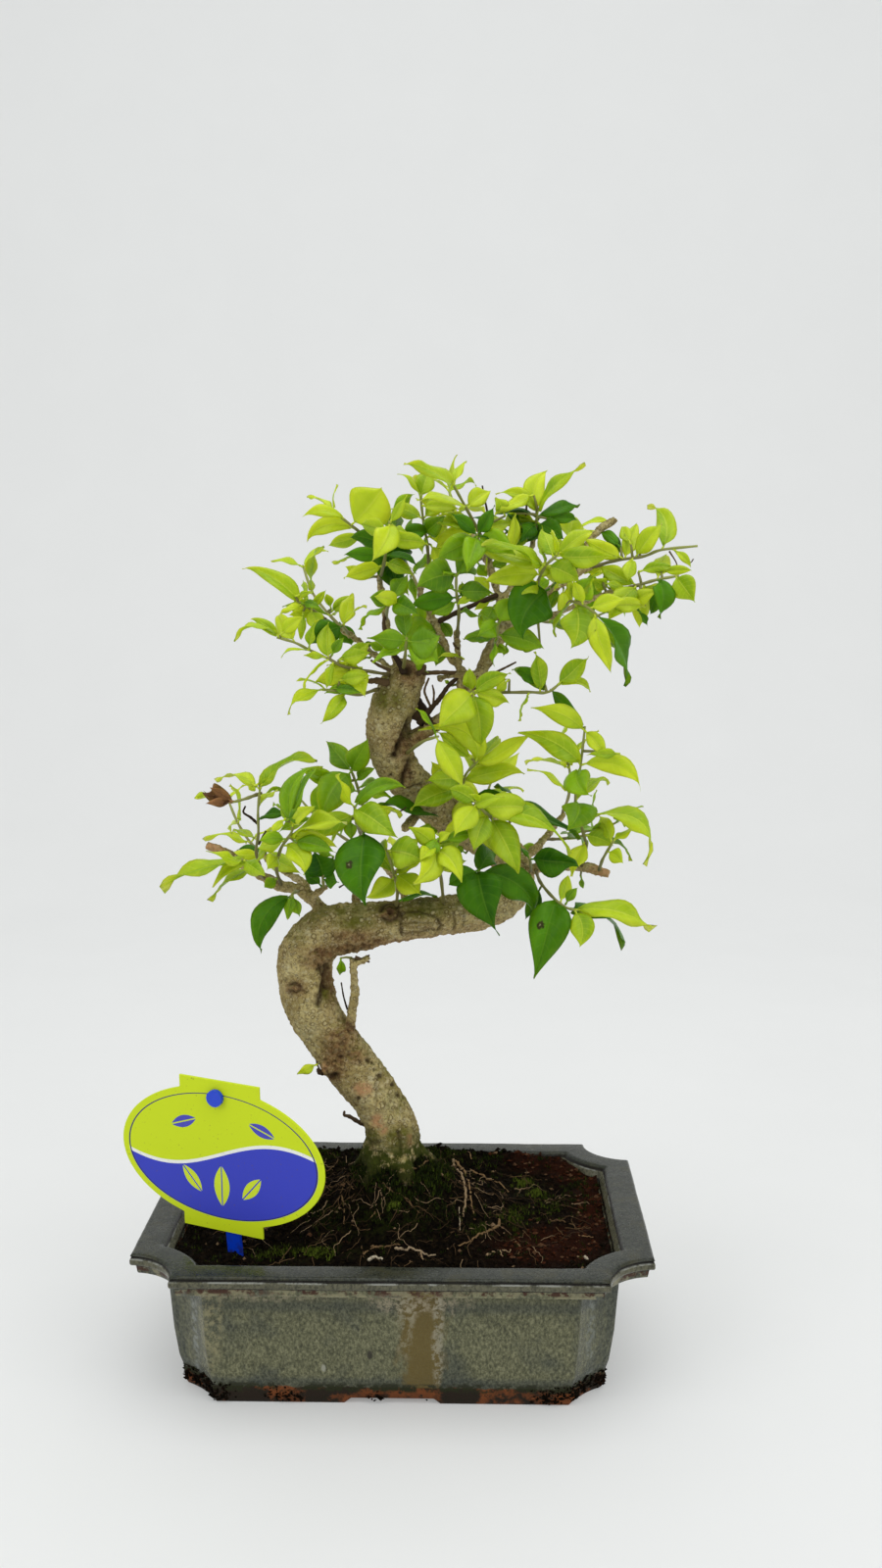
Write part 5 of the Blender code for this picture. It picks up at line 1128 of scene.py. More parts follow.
def make_shoots():
    """A finer piece for each leafy shoot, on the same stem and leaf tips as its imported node."""
    draw = random.Random(RULED_SEED)
    stems = Stems()
    for start, end, points in LIMBS:
        stems.add("wood", smooth_curve(tapered([seen(*p) for p in points], start, end), 12 * len(points)))
    stems.add("wood", smooth_curve(TRUNK_LINE, TRUNK_PLACES))
    plans = []
    ruled = [(name, slot, stem, (length, pairs)) for name, slot, length, pairs, stem in RULED_SHOOTS]
    for name, slot, stem, plan in SHOOTS + ruled:
        corners = NodeCorners(name)
        points = corners.seated(spread_stem(stem))
        if isinstance(plan, list):
            made = shown_leaves(points, slot, plan)
        else:
            made = [(*leaf, None, slot, None, PLAIN_BOW) for leaf in ruled_tips(points, *plan, draw)]
        stems.add(name, smooth_curve(tapered(points, TWIG_RADIUS, TWIG_RADIUS), 20 * len(points)))
        plans.append((name, slot, corners, points, made))
    further = {}
    for row in FURTHER_LEAVES:
        further.setdefault(stems.nearest(row[0], row[1])[0], []).append(row)
    for name, slot, corners, points, made in plans:
        look = random.Random(name)
        heap = Foliage()
        heap.add_stem(points)
        for root, tip, width, kind, ahead, bow in made:
            tip = corners.bent(tip)
            if tip is None:
                continue
            if not width and turned_away(tip):
                width = EDGE_WIDTH
            normal, full = facing_eye(root, tip, width) if width else facing_out(root, tip)
            heap.add_leaf(kind, root, tip, normal, full, look, 1.0 if kind == DEAD else 0.0, bow)
            partner = opposite_tip(root, tip, ahead, look)
            if partner:
                normal, full = facing_out(root, partner)
                heap.add_leaf(kind, root, partner, normal, full * 1.15, look)
        for row in further.get(name, []):
            heap.hang_leaf(stems, row, look)
        heap.leafy_piece(f"{name}_fine", slot, [name])
    heap, look = Foliage(), random.Random(RULED_SEED)
    for row in further.get("wood", []):
        heap.hang_leaf(stems, row, look)
    heap.leafy_piece("leaves_on_wood", "mature_leaf")


def make_twigs():
    """Bare twigs and dark stubs that the shoots leave out."""
    heap = Heap()
    look = random.Random(TWIG_SEED)
    for start, end, points in LOOSE_TWIGS:
        fine = smooth_curve(tapered([seen(*point) for point in points], start, end), 7 * len(points) - 6)
        fine[:, 3] *= [look.uniform(0.85, 1.15) for _ in fine]
        last = Vector(fine[-1, :3])
        cap = last + (last - Vector(fine[-2, :3])).normalized() * 0.5 * end
        heap.add(*tube_form([*fine, (*cap, 0.45 * end)], 9), tone=look.random())
    heap.piece("bare_twigs", [BARE_TWIG], "bark")


# Wood

TRUNK_SIDES = 40
LIMB_SIDES = 14
VOXEL = 0.68
CORE_PLACES = 60


def trunk_shape(angle, ring):
    """Knobs and hollows of the trunk's girth."""
    return (1 + 0.045 * math.sin(3 * angle + 0.7 * ring) + 0.035 * math.sin(2 * angle - 0.45 * ring)
            + 0.025 * math.sin(5 * angle + 1.9 * ring))


def ground(x, y):
    """Height of the soil's surface."""
    mound = MOUND_HEIGHT * np.exp(-(x * x + 1.3 * y * y) / MOUND_SPREAD ** 2)
    swell = 0.7 * np.sin(0.21 * x + 1.3) * np.cos(0.17 * y)
    return SOIL_EDGE + mound + swell + 0.5 * np.sin(0.37 * x - 0.31 * y)


def root_line(direction, reach):
    """A root's points, from inside the trunk's foot down the mound and into it."""
    foot = seen(0.5, ROOT_TOP, 0)
    out = Vector((math.cos(math.radians(direction)), math.sin(math.radians(direction)), 0))
    line = [foot + out * 4]
    for share, height in ((0.6, -0.8), (0.85, -2.4), (1.0, -5.5)):
        place = foot + out * reach * share
        line.append(Vector((place.x, place.y, ground(place.x, place.y) + height)))
    return line


def wood_tubes():
    """The trunk with its limbs and roots as overlapping fine tubes, one heap."""
    heap = Heap()
    fine = smooth_curve(TRUNK_LINE, 4 * TRUNK_RINGS)
    scale = (TRUNK_RINGS - 1) / (len(fine) - 1)
    heap.add(*tube_form(fine, TRUNK_SIDES, lambda angle, ring: trunk_shape(angle, ring * scale)))
    limbs = [tapered([seen(*p) for p in points], start, end) for start, end, points in LIMBS]
    limbs += [tapered(root_line(direction, reach), start, end) for start, end, direction, reach in ROOTS]
    for rows in limbs:
        heap.add(*tube_form(smooth_curve(rows, 8 * len(rows) - 7), LIMB_SIDES))
    return heap


def reshaped(thing, kind, **settings):
    """Replaces the object's mesh by what a modifier makes of it."""
    modifier = thing.modifiers.new("shape", kind)
    for key, value in settings.items():
        setattr(modifier, key, value)
    graph = bpy.context.evaluated_depsgraph_get()
    old, thing.data = thing.data, bpy.data.meshes.new_from_object(thing.evaluated_get(graph))
    thing.modifiers.clear()
    bpy.data.meshes.remove(old)


def mesh_points(thing):
    """Corners and outward normals of the object's mesh, in pot millimetres."""
    normals = np.empty(len(thing.data.vertices) * 3, np.float32)
    thing.data.vertex_normals.foreach_get("vector", normals)
    return corners_of(thing.data), normals.reshape(-1, 3).astype(float)


def set_points(thing, points):
    thing.data.vertices.foreach_set("co", to_row(points).astype(np.float32).ravel())
    thing.data.update()


# Swellings and hollows of the trunk as read in the picture: x, z, half width, half height, rise
MARKS = [
    (0.5, 180, 3.6, 3.4, 1.3), (0.6, 180, 1.5, 1.4, -2.0), (12, 175.5, 8, 5.2, 0.7),
    (-38, 148.5, 3.6, 2.2, 0.9), (-38, 148.5, 1.6, 0.7, -0.5), (-27, 113, 3.2, 2.6, 1.5),
    (-20, 128, 5, 4, 1.0), (-16, 131, 3.5, 3, 0.9), (-40, 166, 5, 5, 0.6), (-11, 106, 4.2, 3.6, -0.4),
    (-5, 92, 4, 3.4, -0.5), (-25, 118, 3, 4, 0.6), (7, 97.3, 1.2, 1.4, 1.2), (2, 111, 4, 4, 0.7),
    (-1, 92.5, 1.6, 1.3, 0.8), (-9, 118.3, 0.9, 0.9, -1.1), (-4, 111.7, 1.2, 1.0, -1.0),
    (1.2, 108.2, 0.9, 1.0, -1.0), (3.3, 103.6, 0.8, 0.8, -0.9), (-13, 101.8, 0.9, 0.8, -1.0),
    (-7, 117.3, 0.6, 0.6, -0.8), (-6.3, 114.3, 0.6, 0.5, -0.7), (-20, 119.6, 1.2, 0.8, -0.9),
    (-22.5, 112, 2.0, 1.4, -0.9), (2.5, 243.5, 1.4, 1.3, -1.6), (4.3, 247, 1.1, 1.3, -1.5),
    (10, 249, 4, 3.5, 1.0), (-2, 236, 3, 3, 0.5), (1, 235.8, 0.6, 0.5, -0.8), (8.8, 236.4, 0.8, 0.6, -0.9),
    (12, 237, 4, 5, 0.8), (-20, 163.5, 5, 2.2, 0.7), (-26, 160, 4, 2.5, 0.5), (18, 170.5, 5, 1.4, 0.5),
    (5, 168.5, 5, 1.4, 0.5), (-25, 183, 3, 2, 0.5), (8, 277, 2, 2, -1.2), (-22, 186, 2, 2, 0.6),
]

# Creases: half width, depth, and x and z of each point
CREASES = [
    (0.9, 1.9, [(-24.6, 158), (-25.6, 152), (-27.2, 147), (-29, 141.5)]),
    (0.5, 0.8, [(-29, 156.3), (-24, 157.8)]), (0.42, 0.6, [(5.5, 175.3), (11, 175.9), (17.5, 175.4)]),
    (0.5, 0.55, [(6, 171.2), (12, 172), (18, 173)]),
    (0.4, 0.6, [(5, 179.8), (12, 180.2), (17, 178.6), (19.6, 177.4)]),
    (0.35, 0.5, [(4.6, 178.5), (4.2, 174), (5, 171)]),
    (1.1, 2.2, [(9.4, 257), (7.4, 253), (5.6, 249.5), (4.2, 246.5)]),
    (0.8, 1.4, [(4.4, 247), (3.4, 245), (2.4, 243)]),
    (0.8, 1.5, [(9, 242), (7.4, 238), (5.7, 235), (5, 231)]),
    (0.4, 0.7, [(6, 230), (9.5, 231), (13, 232.4)]), (0.4, 0.5, [(-1.5, 133), (0.5, 131)]),
    (0.35, 0.5, [(-5.6, 109), (-5.4, 105), (-5.5, 101)]), (0.5, 0.5, [(-17.4, 134), (-14, 131)]),
    (0.4, 0.5, [(-9, 84.5), (-6, 82.5), (-3, 83.8)]), (0.6, 0.8, [(3.5, 88), (4.4, 83), (4.8, 78)]),
    (0.7, 1.2,
     [(-3, 180.5), (-2, 183), (0.6, 184), (3.2, 183), (4.2, 180), (3.2, 177.4), (0.6, 176.4),
      (-2.2, 177.6)]),
    (0.5, 0.9, [(-1.5, 181.5), (0.5, 182.4), (2.6, 181)]),
    (0.5, 0.8, [(5.2, 171), (4.8, 175), (5.4, 179.6)]),
    (0.45, 0.8, [(19.8, 177), (21, 174.5), (19.6, 172.4)]),
    (0.4, 0.35, [(6, 173.6), (12, 174), (17, 173.4)]), (0.4, 0.6, [(26, 180), (26.6, 176), (26, 172.5)]),
    (0.4, 0.5, [(30, 180.5), (30.6, 177), (30, 174)]),
    (0.6, 1.1, [(-40.2, 149.8), (-38, 150.6), (-36, 149)]),
    (0.5, 0.9, [(-40, 147.4), (-38, 146.6), (-36.2, 147.6)]),
    (0.7, 0.9, [(-28, 157.5), (-26, 153), (-24.8, 149)]),
]

# Worn places, warm brown ones and mossy ones: x, z, half width, half height
WARM_SCARS = [
    (85, 196, 6, 3.5), (-71, 206, 5, 3), (-11, 106, 4, 3.4), (-5.5, 92.5, 2.6, 3), (0.5, 180, 1.4, 1.6),
    (-3, 89, 2, 2.5), (-26.5, 115.5, 1.5, 2), (8, 84, 1.5, 3),
]
BROWN_PLACES = [
    (-20, 127, 6, 6), (-22, 119, 5, 8), (-17, 131.5, 4, 4), (-24, 150, 3, 9), (-38, 148.5, 4, 3),
    (0.5, 180, 4, 4), (-17, 165, 7, 2.5), (-29, 159, 5, 2.5), (5, 168, 10, 1.2), (5, 247, 5, 6),
    (14, 249, 6, 5), (7, 237, 2.5, 5), (-14, 120, 4, 3), (-23, 112, 4, 3), (9, 276, 5, 5),
    (-5, 166.5, 8, 3), (24, 169.5, 14, 1.4), (-14, 170, 8, 3), (-27, 163, 7, 3),
]
GREEN_PLACES = [
    (-18, 181, 11, 3.5), (-14, 176, 9, 3.5), (0, 266, 7, 6), (3, 101, 5, 5), (-8, 86, 4, 4), (4, 86, 6, 5),
    (20, 184, 16, 2.5), (-3, 274, 6, 3), (-26, 146, 2, 5), (14, 180, 10, 3),
]

CREASE_SPREAD = 1.4
PITS_PER_AREA = 0.8
LENTICELS = 4600


def along_crease(x, z, line):
    """The distance in the picture of each read point from a crease."""
    least = np.full(len(x), 1e9)
    for (x0, z0), (x1, z1) in zip(line, line[1:]):
        run_x, run_z = x1 - x0, z1 - z0
        share = np.clip(((x - x0) * run_x + (z - z0) * run_z) / (run_x ** 2 + run_z ** 2), 0, 1)
        least = np.minimum(least, np.hypot(x - x0 - share * run_x, z - z0 - share * run_z))
    return least


def within(x, z, places, sharpness=2):
    """How far each read point lies inside any of the places, from 0 to 1."""
    most = np.zeros(len(x))
    for mark_x, mark_z, wide, high in places:
        inside = np.exp(-(((x - mark_x) / wide) ** 2 + ((z - mark_z) / high) ** 2) ** (sharpness / 2))
        most = np.maximum(most, inside)
    return most


def lenticels(points, stout):
    """Height of the small round pores that dot the bark, from 0 to 1."""
    draw = np.random.default_rng(LENTICEL_SEED)
    chosen = draw.choice(np.flatnonzero(stout > 0.6), LENTICELS, replace=False)
    sizes = draw.uniform(0.3, 0.95, LENTICELS)
    strengths = draw.uniform(0.3, 1.0, LENTICELS) ** 1.4
    tree = kdtree.KDTree(LENTICELS)
    for k, corner in enumerate(chosen):
        tree.insert(points[corner], k)
    tree.balance()
    height = np.zeros(len(points))
    for k, point in enumerate(points):
        _, which, away = tree.find(point)
        height[k] = strengths[which] * math.exp(-(away / sizes[which]) ** 2)
    return height


def brown_pits():
    """Middle x and z and radius of the small dark pits that break up the brown places."""
    draw = random.Random(PIT_SEED)
    return [(mark_x + draw.gauss(0, 0.6) * wide, mark_z + draw.gauss(0, 0.6) * high, draw.uniform(0.3, 0.75))
            for mark_x, mark_z, wide, high in BROWN_PLACES for _ in range(int(PITS_PER_AREA * wide * high))]


def make_trunk():
    """The trunk with its limbs and roots as one knobbly skin."""
    trunk = wood_tubes().piece("trunk_bark", [BARK], "bark", ["trunk"])
    reshaped(trunk, "REMESH", mode="VOXEL", voxel_size=VOXEL * MM, use_smooth_shade=True)
    points, normals = mesh_points(trunk)
    x, z = read_at(points)
    centre = smooth_curve(TRUNK_LINE, CORE_PLACES)[None, :, :3]
    reach = np.min(np.linalg.norm(points[:, None, :] - centre, axis=2), axis=1)
    stout = np.clip((reach - 3.0) / 4.0, 0.12, 1.0)
    toward = np.array(EYE) - points
    facing = np.clip((normals * toward).sum(1) / np.linalg.norm(toward, axis=1) * 3, 0, 1)
    brown = np.clip(within(x, z, BROWN_PLACES) * 1.3, 0, 1)
    pores = lenticels(points, stout)
    lift = 0.5 * rough(points, 0.16, 3, 3) + 0.42 * rough(points, 0.5, 9, 2) + 0.2 * rough(points, 1.3, 5, 2)
    lift += brown * 0.75 * rough(points, 0.65, 21, 2) + pores * (0.35 + 0.3 * brown)
    # The dark value is painted shade: it darkens the deep hollows and the creases, and it darkens the pits
    # too.
    dark = np.zeros(len(points))
    for mark_x, mark_z, wide, high, rise in MARKS:
        shape = facing * np.exp(-((x - mark_x) / wide) ** 2 - ((z - mark_z) / high) ** 2)
        lift += rise * shape
        if rise < -0.65:
            dark = np.maximum(dark, np.clip(1.6 * shape, 0, 1))
    for wide, depth, line in CREASES:
        shape = facing * np.exp(-(along_crease(x, z, line) / (CREASE_SPREAD * wide)) ** 2)
        lift -= depth * shape
        dark = np.maximum(dark, shape * min(1.0, 1.15 * depth))
    for pit_x, pit_z, size in brown_pits():
        shape = facing * np.exp(-(np.hypot(x - pit_x, z - pit_z) / size) ** 2)
        lift -= 0.5 * shape
        dark = np.maximum(dark, 0.75 * shape)
    set_points(trunk, points + normals * (lift * stout)[:, None])
    scar, green = within(x, z, WARM_SCARS, 4) * facing, within(x, z, GREEN_PLACES, 3)
    looks = {"tone": np.clip((reach - 2.5) / 4.0, 0, 1), "scar": scar, "brown": brown, "green": green,
             "dark": dark, "pore": pores}
    for name, values in looks.items():
        paint(trunk, name, values)
    trunk.data.polygons.foreach_set("use_smooth", [True] * len(trunk.data.polygons))


def bark_colour():
    fine = grain(0.8, 6, 0.75)
    base = ramp(grain(0.09, 5, 0.6), (0.3, (0.33, 0.25, 0.09)), (0.46, (0.54, 0.43, 0.17)),
                (0.6, (0.66, 0.55, 0.25)), (0.76, (0.72, 0.65, 0.37)))
    base = coat(base, (0.14, 0.095, 0.035), ramp(fine, (0.46, 0), (0.62, 1)), 0.8)
    spots = Shade(node("TexVoronoi", {"Vector": place_of(), "Scale": 0.7 / MM}), "Distance")
    pits = ramp(spots, (0.1, 1), (0.3, 0))
    base = coat(base, (0.075, 0.042, 0.018), pits, patches(0.13, 4, 0.7, 0.46, 0.6), 0.75)
    base = coat(base, (0.72, 0.66, 0.42), patches(1.1, 4, 0.7, 0.54, 0.66), 0.6)
    mottle = ramp(grain(0.26, 5, 0.65, distortion=0.6), (0.44, 0), (0.58, 1))
    base = coat(base, (0.24, 0.17, 0.07), mottle, 0.34)
    flecks = ramp(grain(0.42, 4, 0.6, stretch=(1, 1, 1.6)), (0.55, 0), (0.66, 1))
    base = coat(base, (0.76, 0.7, 0.45), flecks, 0.5)
    worn = times(attribute("brown"), patches(0.4, 5, 0.7, 0.34, 0.56, 0.45))
    base = coat(base, mix(fine, (0.42, 0.22, 0.09), (0.08, 0.036, 0.014)), worn, 0.85)
    right, _, up = parts(Shade(node("NewGeometry"), "Normal"))
    # Painted shade: faces that turn to the left are darker and browner.
    base = coat(base, (0.27, 0.175, 0.08), (right * -1.0 - 0.35).held(), 0.4)
    green = calc("MAXIMUM", ((up - 0.2) * 1.4).held() * 0.85, attribute("green"))
    algae = mix(fine, (0.2, 0.2, 0.018), (0.06, 0.065, 0.004))
    base = coat(base, algae, green, patches(0.12, 5, 0.7, 0.34, 0.54, 0.2), 0.92)
    pore = attribute("pore")
    base = coat(base, (0.09, 0.052, 0.02), ramp(pore, (0.12, 0), (0.3, 1), (0.5, 0)), 0.7)
    pale = mix(attribute("brown"), (0.66, 0.58, 0.34), (0.45, 0.28, 0.12))
    base = coat(base, pale, ramp(pore, (0.35, 0), (0.75, 1)), 0.6)
    # Painted light: faces that turn downwards are lighter and warmer, as if lit from below.
    below = ((up * -1.0 - 0.25) * 1.2).held()
    base = coat(base, (0.74, 0.52, 0.26), below, 0.68, ramp(fine, (0.4, 1.0), (0.6, 0.3)))
    slim = 1.0 - attribute("tone")
    base = coat(base, mix(fine, (0.3, 0.19, 0.085), (0.13, 0.075, 0.033)), slim, 0.75)
    base = coat(base, (0.6, 0.31, 0.15), attribute("scar"), patches(0.5, 5, 0.7, 0.34, 0.54), 0.8)
    # Painted shade: the dark value darkens the creases, the deep hollows and the pits.
    base = coat(base, (0.034, 0.018, 0.009), attribute("dark"), 0.86)
    low = 1.0 - ((height_of() - 79.0) / 15.0).held()
    moss = mix(fine, (0.09, 0.105, 0.012), (0.02, 0.028, 0.005))
    base = coat(base, moss, patches(0.25, 5, 0.7, 0.36, 0.5), low, 1.6)
    buried = 1.0 - ((height_of() - 70.0) / 12.0).held()
    return coat(base, (0.018, 0.013, 0.006), buried, patches(0.3, 5, 0.7, 0.3, 0.6, 0.6), 1.3)


def bark_relief():
    return grain(0.9, 6, 0.75) + grain(2.5, 4, 0.7) * 0.4


BARK = surface("bark_skin", bark_colour, 0.85, bark_relief, 0.9, 0.9, Specular_IOR_Level=0.1)


# Pot

ARC_STEPS = 12
SIDE_STEPS = 44
EDGE_SOFTNESS = 1.1
DRAIN_SIDES = 32


def indented_outline(inset, arc_steps=ARC_STEPS, side_steps=SIDE_STEPS):
    """A rectangle with a concave quarter arc at each corner, moved inwards by the inset."""
    half_x, half_y = POT_LENGTH / 2, POT_DEPTH / 2
    radius = CORNER_NOTCH + inset
    start = math.asin(inset / radius)
    corners = []
    for sign_x, sign_y, turn in ((1, 1, 1), (-1, 1, -1), (-1, -1, 1), (1, -1, -1)):
        arc = []
        for k in range(arc_steps + 1):
            angle = start + (math.pi / 2 - 2 * start) * k / arc_steps
            x, y = half_x - radius * math.sin(angle), half_y - radius * math.cos(angle)
            arc.append((sign_x * x, sign_y * y))
        corners.append(arc if turn > 0 else arc[::-1])
    points = []
    for k, arc in enumerate(corners):
        points += arc
        (x0, y0), (x1, y1) = arc[-1], corners[(k + 1) % 4][0]
        for i in range(1, side_steps):
            points.append((x0 + (x1 - x0) * i / side_steps, y0 + (y1 - y0) * i / side_steps))
    return points


def inner_inset(z):
    """Inset of the pot's inner wall at a height."""
    insets = (BODY_BOTTOM_INSET + WALL, BODY_TOP_INSET + WALL, FLANGE_WIDTH + 0.6)
    return float(np.interp(z, (FLOOR, SHOULDER, POT_HEIGHT - 1.4), insets))


def rounded(profile, radius, steps=4):
    """The profile with each inner corner rounded off."""
    out = [profile[0]]
    for before, at, after in zip(profile, profile[1:], profile[2:]):
        a, b, c = Vector(before), Vector(at), Vector(after)
        reach = min(radius, 0.45 * (a - b).length, 0.45 * (c - b).length)
        start, end = b + (a - b).normalized() * reach, b + (c - b).normalized() * reach
        for k in range(steps + 1):
            t = k / steps
            point = start * (1 - t) ** 2 + b * 2 * t * (1 - t) + end * t * t
            out.append((point.x, point.y))
    return out + [profile[-1]]


def pot_profile():
    """Inset and height up the outside, over the rim and down the inside."""
    top = POT_HEIGHT
    lip = top - LIP_HEIGHT
    band = lip - BAND_HEIGHT
    low, high, rim = BODY_BOTTOM_INSET, BODY_TOP_INSET, FLANGE_WIDTH
    return rounded([
        (FOOT_INSET + 0.8, 0), (FOOT_INSET, 1.2), (FOOT_INSET - 0.8, FOOT_HEIGHT - 0.8), (low, FOOT_HEIGHT),
        (low - 1.6, 0.25 * band), (low - 3.4, 0.5 * band), (high + 1.2, 0.76 * band), (high + 0.4, band - 3),
        (high, band - 0.2), (2.6, band), (2.0, lip - 0.1), (0.6, lip), (0, lip + 1), (0, top - 2.2),
        (0.6, top - 1.9), (0.6, top - 1.3), (0.1, top - 1), (0.9, top), (rim - 1, top),
        (rim + 0.6, top - 1.4), (inner_inset(SHOULDER), SHOULDER), (inner_inset(FLOOR), FLOOR),
    ], EDGE_SOFTNESS)


def make_pot():
    """The glazed pot, with softly rounded edges, an uneven wall and a recess in each side of its foot."""
    rings = [[(x, y, z) for x, y in indented_outline(inset)] for inset, z in pot_profile()]
    under = [[(x * s, y * s, 0.0) for x, y, _ in rings[0]] for s in (0.0, 0.2, 0.4, 0.6, 0.8, 0.93)]
    over = [[(x * s, y * s, FLOOR) for x, y, _ in rings[-1]] for s in (0.9, 0.7, 0.5, 0.3, 0.0)]
    corners = np.array(under + rings + over)
    faces = band_faces(*corners.shape[:2])
    corners = corners.reshape(-1, 3)
    raised = channel(corners) & (corners[:, 2] < FOOT_RECESS_HEIGHT)
    corners[:, 2] = np.where(raised, FOOT_RECESS_HEIGHT, corners[:, 2])
    heap = Heap()
    heap.add(corners, faces)
    pot = heap.piece("pot_glazed", [GLAZE], "glaze", ["pot"])
    weld(pot)
    points, normals = mesh_points(pot)
    outer = np.clip((points[:, 2] - FOOT_RECESS_HEIGHT) / 6, 0, 1)
    wobble = 0.22 * rough(points, 0.035, 2, 2) + 0.07 * rough(points, 0.2, 8, 2)
    set_points(pot, points + normals * ((np.minimum(wobble, 0.12) - 0.12) * outer)[:, None])
    for side in (-1, 1):
        drill(pot, (side * DRAIN_SPACING / 2, 0), DRAIN_RADIUS, -2, FLOOR + 3)


def channel(corners):
    """True where the foot is raised off the table."""
    half = FOOT_RECESS_LENGTH / 2
    return (np.abs(corners[:, 0]) < half) | (np.abs(corners[:, 1]) < 0.7 * half)


def weld(thing, distance=0.001):
    """Merges corners that lie together, and drops faces without area."""
    form = bmesh.new()
    form.from_mesh(thing.data)
    bmesh.ops.remove_doubles(form, verts=form.verts, dist=distance * MM)
    bmesh.ops.dissolve_degenerate(form, edges=form.edges, dist=distance * MM)
    bmesh.ops.recalc_face_normals(form, faces=form.faces)
    form.to_mesh(thing.data)
    form.free()


def drill(thing, centre, radius, low, high):
    """Cuts a round upright hole."""
    corners, faces = tube_form([(*centre, low, radius), (*centre, high, radius)], DRAIN_SIDES)
    mesh = bpy.data.meshes.new("drill")
    mesh.from_pydata(to_row(np.array([tuple(corner) for corner in corners])).tolist(), [], faces)
    cutter = show(bpy.data.objects.new("drill", mesh))
    reshaped(thing, "BOOLEAN", object=cutter, operation="DIFFERENCE")
    bpy.data.objects.remove(cutter)


def blot(middle_x, middle_z, wide, high, edge=0.25, torn=0.9, power=2.0):
    """One within a ragged oval on the pot's front wall, fading to nothing at its edge."""
    x, y, z = parts(place_of())
    across = abs((x * (1 / MM) - POT_MIDDLE.x / MM - middle_x) / wide) ** power
    upward = abs((z * (1 / MM) - middle_z) / high) ** power
    ragged = (across + upward) ** (1 / power) + (grain(0.22, 5, 0.7, stretch=(1, 1, 0.4)) - 0.5) * torn
    return ((1.0 + edge - ragged) / edge).held() * (y < -0.03)


# Stains of the front wall, and two pale vertical streaks on the corner flutes that are painted highlights:
# middle x and height, half sizes, colour, strength, and whether in flakes
GLAZE_MARKS = [
    (11.5, 28, 5.6, 30, (0.125, 0.088, 0.02), 0.9, False), (9, 46.0, 13, 5, (0.36, 0.31, 0.21), 0.8, True),
    (5.2, 36, 2.2, 12, (0.3, 0.28, 0.19), 0.5, True), (17.8, 30, 1.6, 18, (0.34, 0.32, 0.24), 0.6, True),
    (-68.5, 36, 3, 13, (0.24, 0.22, 0.12), 0.8, True), (-50, 47.6, 24, 2.6, (0.3, 0.27, 0.18), 0.8, True),
    (-8.2, 22, 0.7, 1.2, (0.025, 0.022, 0.016), 0.9, False),
    (-26, 16, 0.6, 1.2, (0.36, 0.36, 0.3), 0.7, False),
    (10, 52.6, 10, 1.8, (0.06, 0.02, 0.008), 0.95, True),
    (-60, 52.6, 10, 1.4, (0.07, 0.024, 0.01), 0.95, True),
    # Painted highlights: pale vertical streaks on the two corner flutes.
    (-76, 30, 1.0, 20, (0.24, 0.26, 0.24), 0.6, True), (76, 28, 1.2, 20, (0.2, 0.22, 0.2), 0.5, True),
]


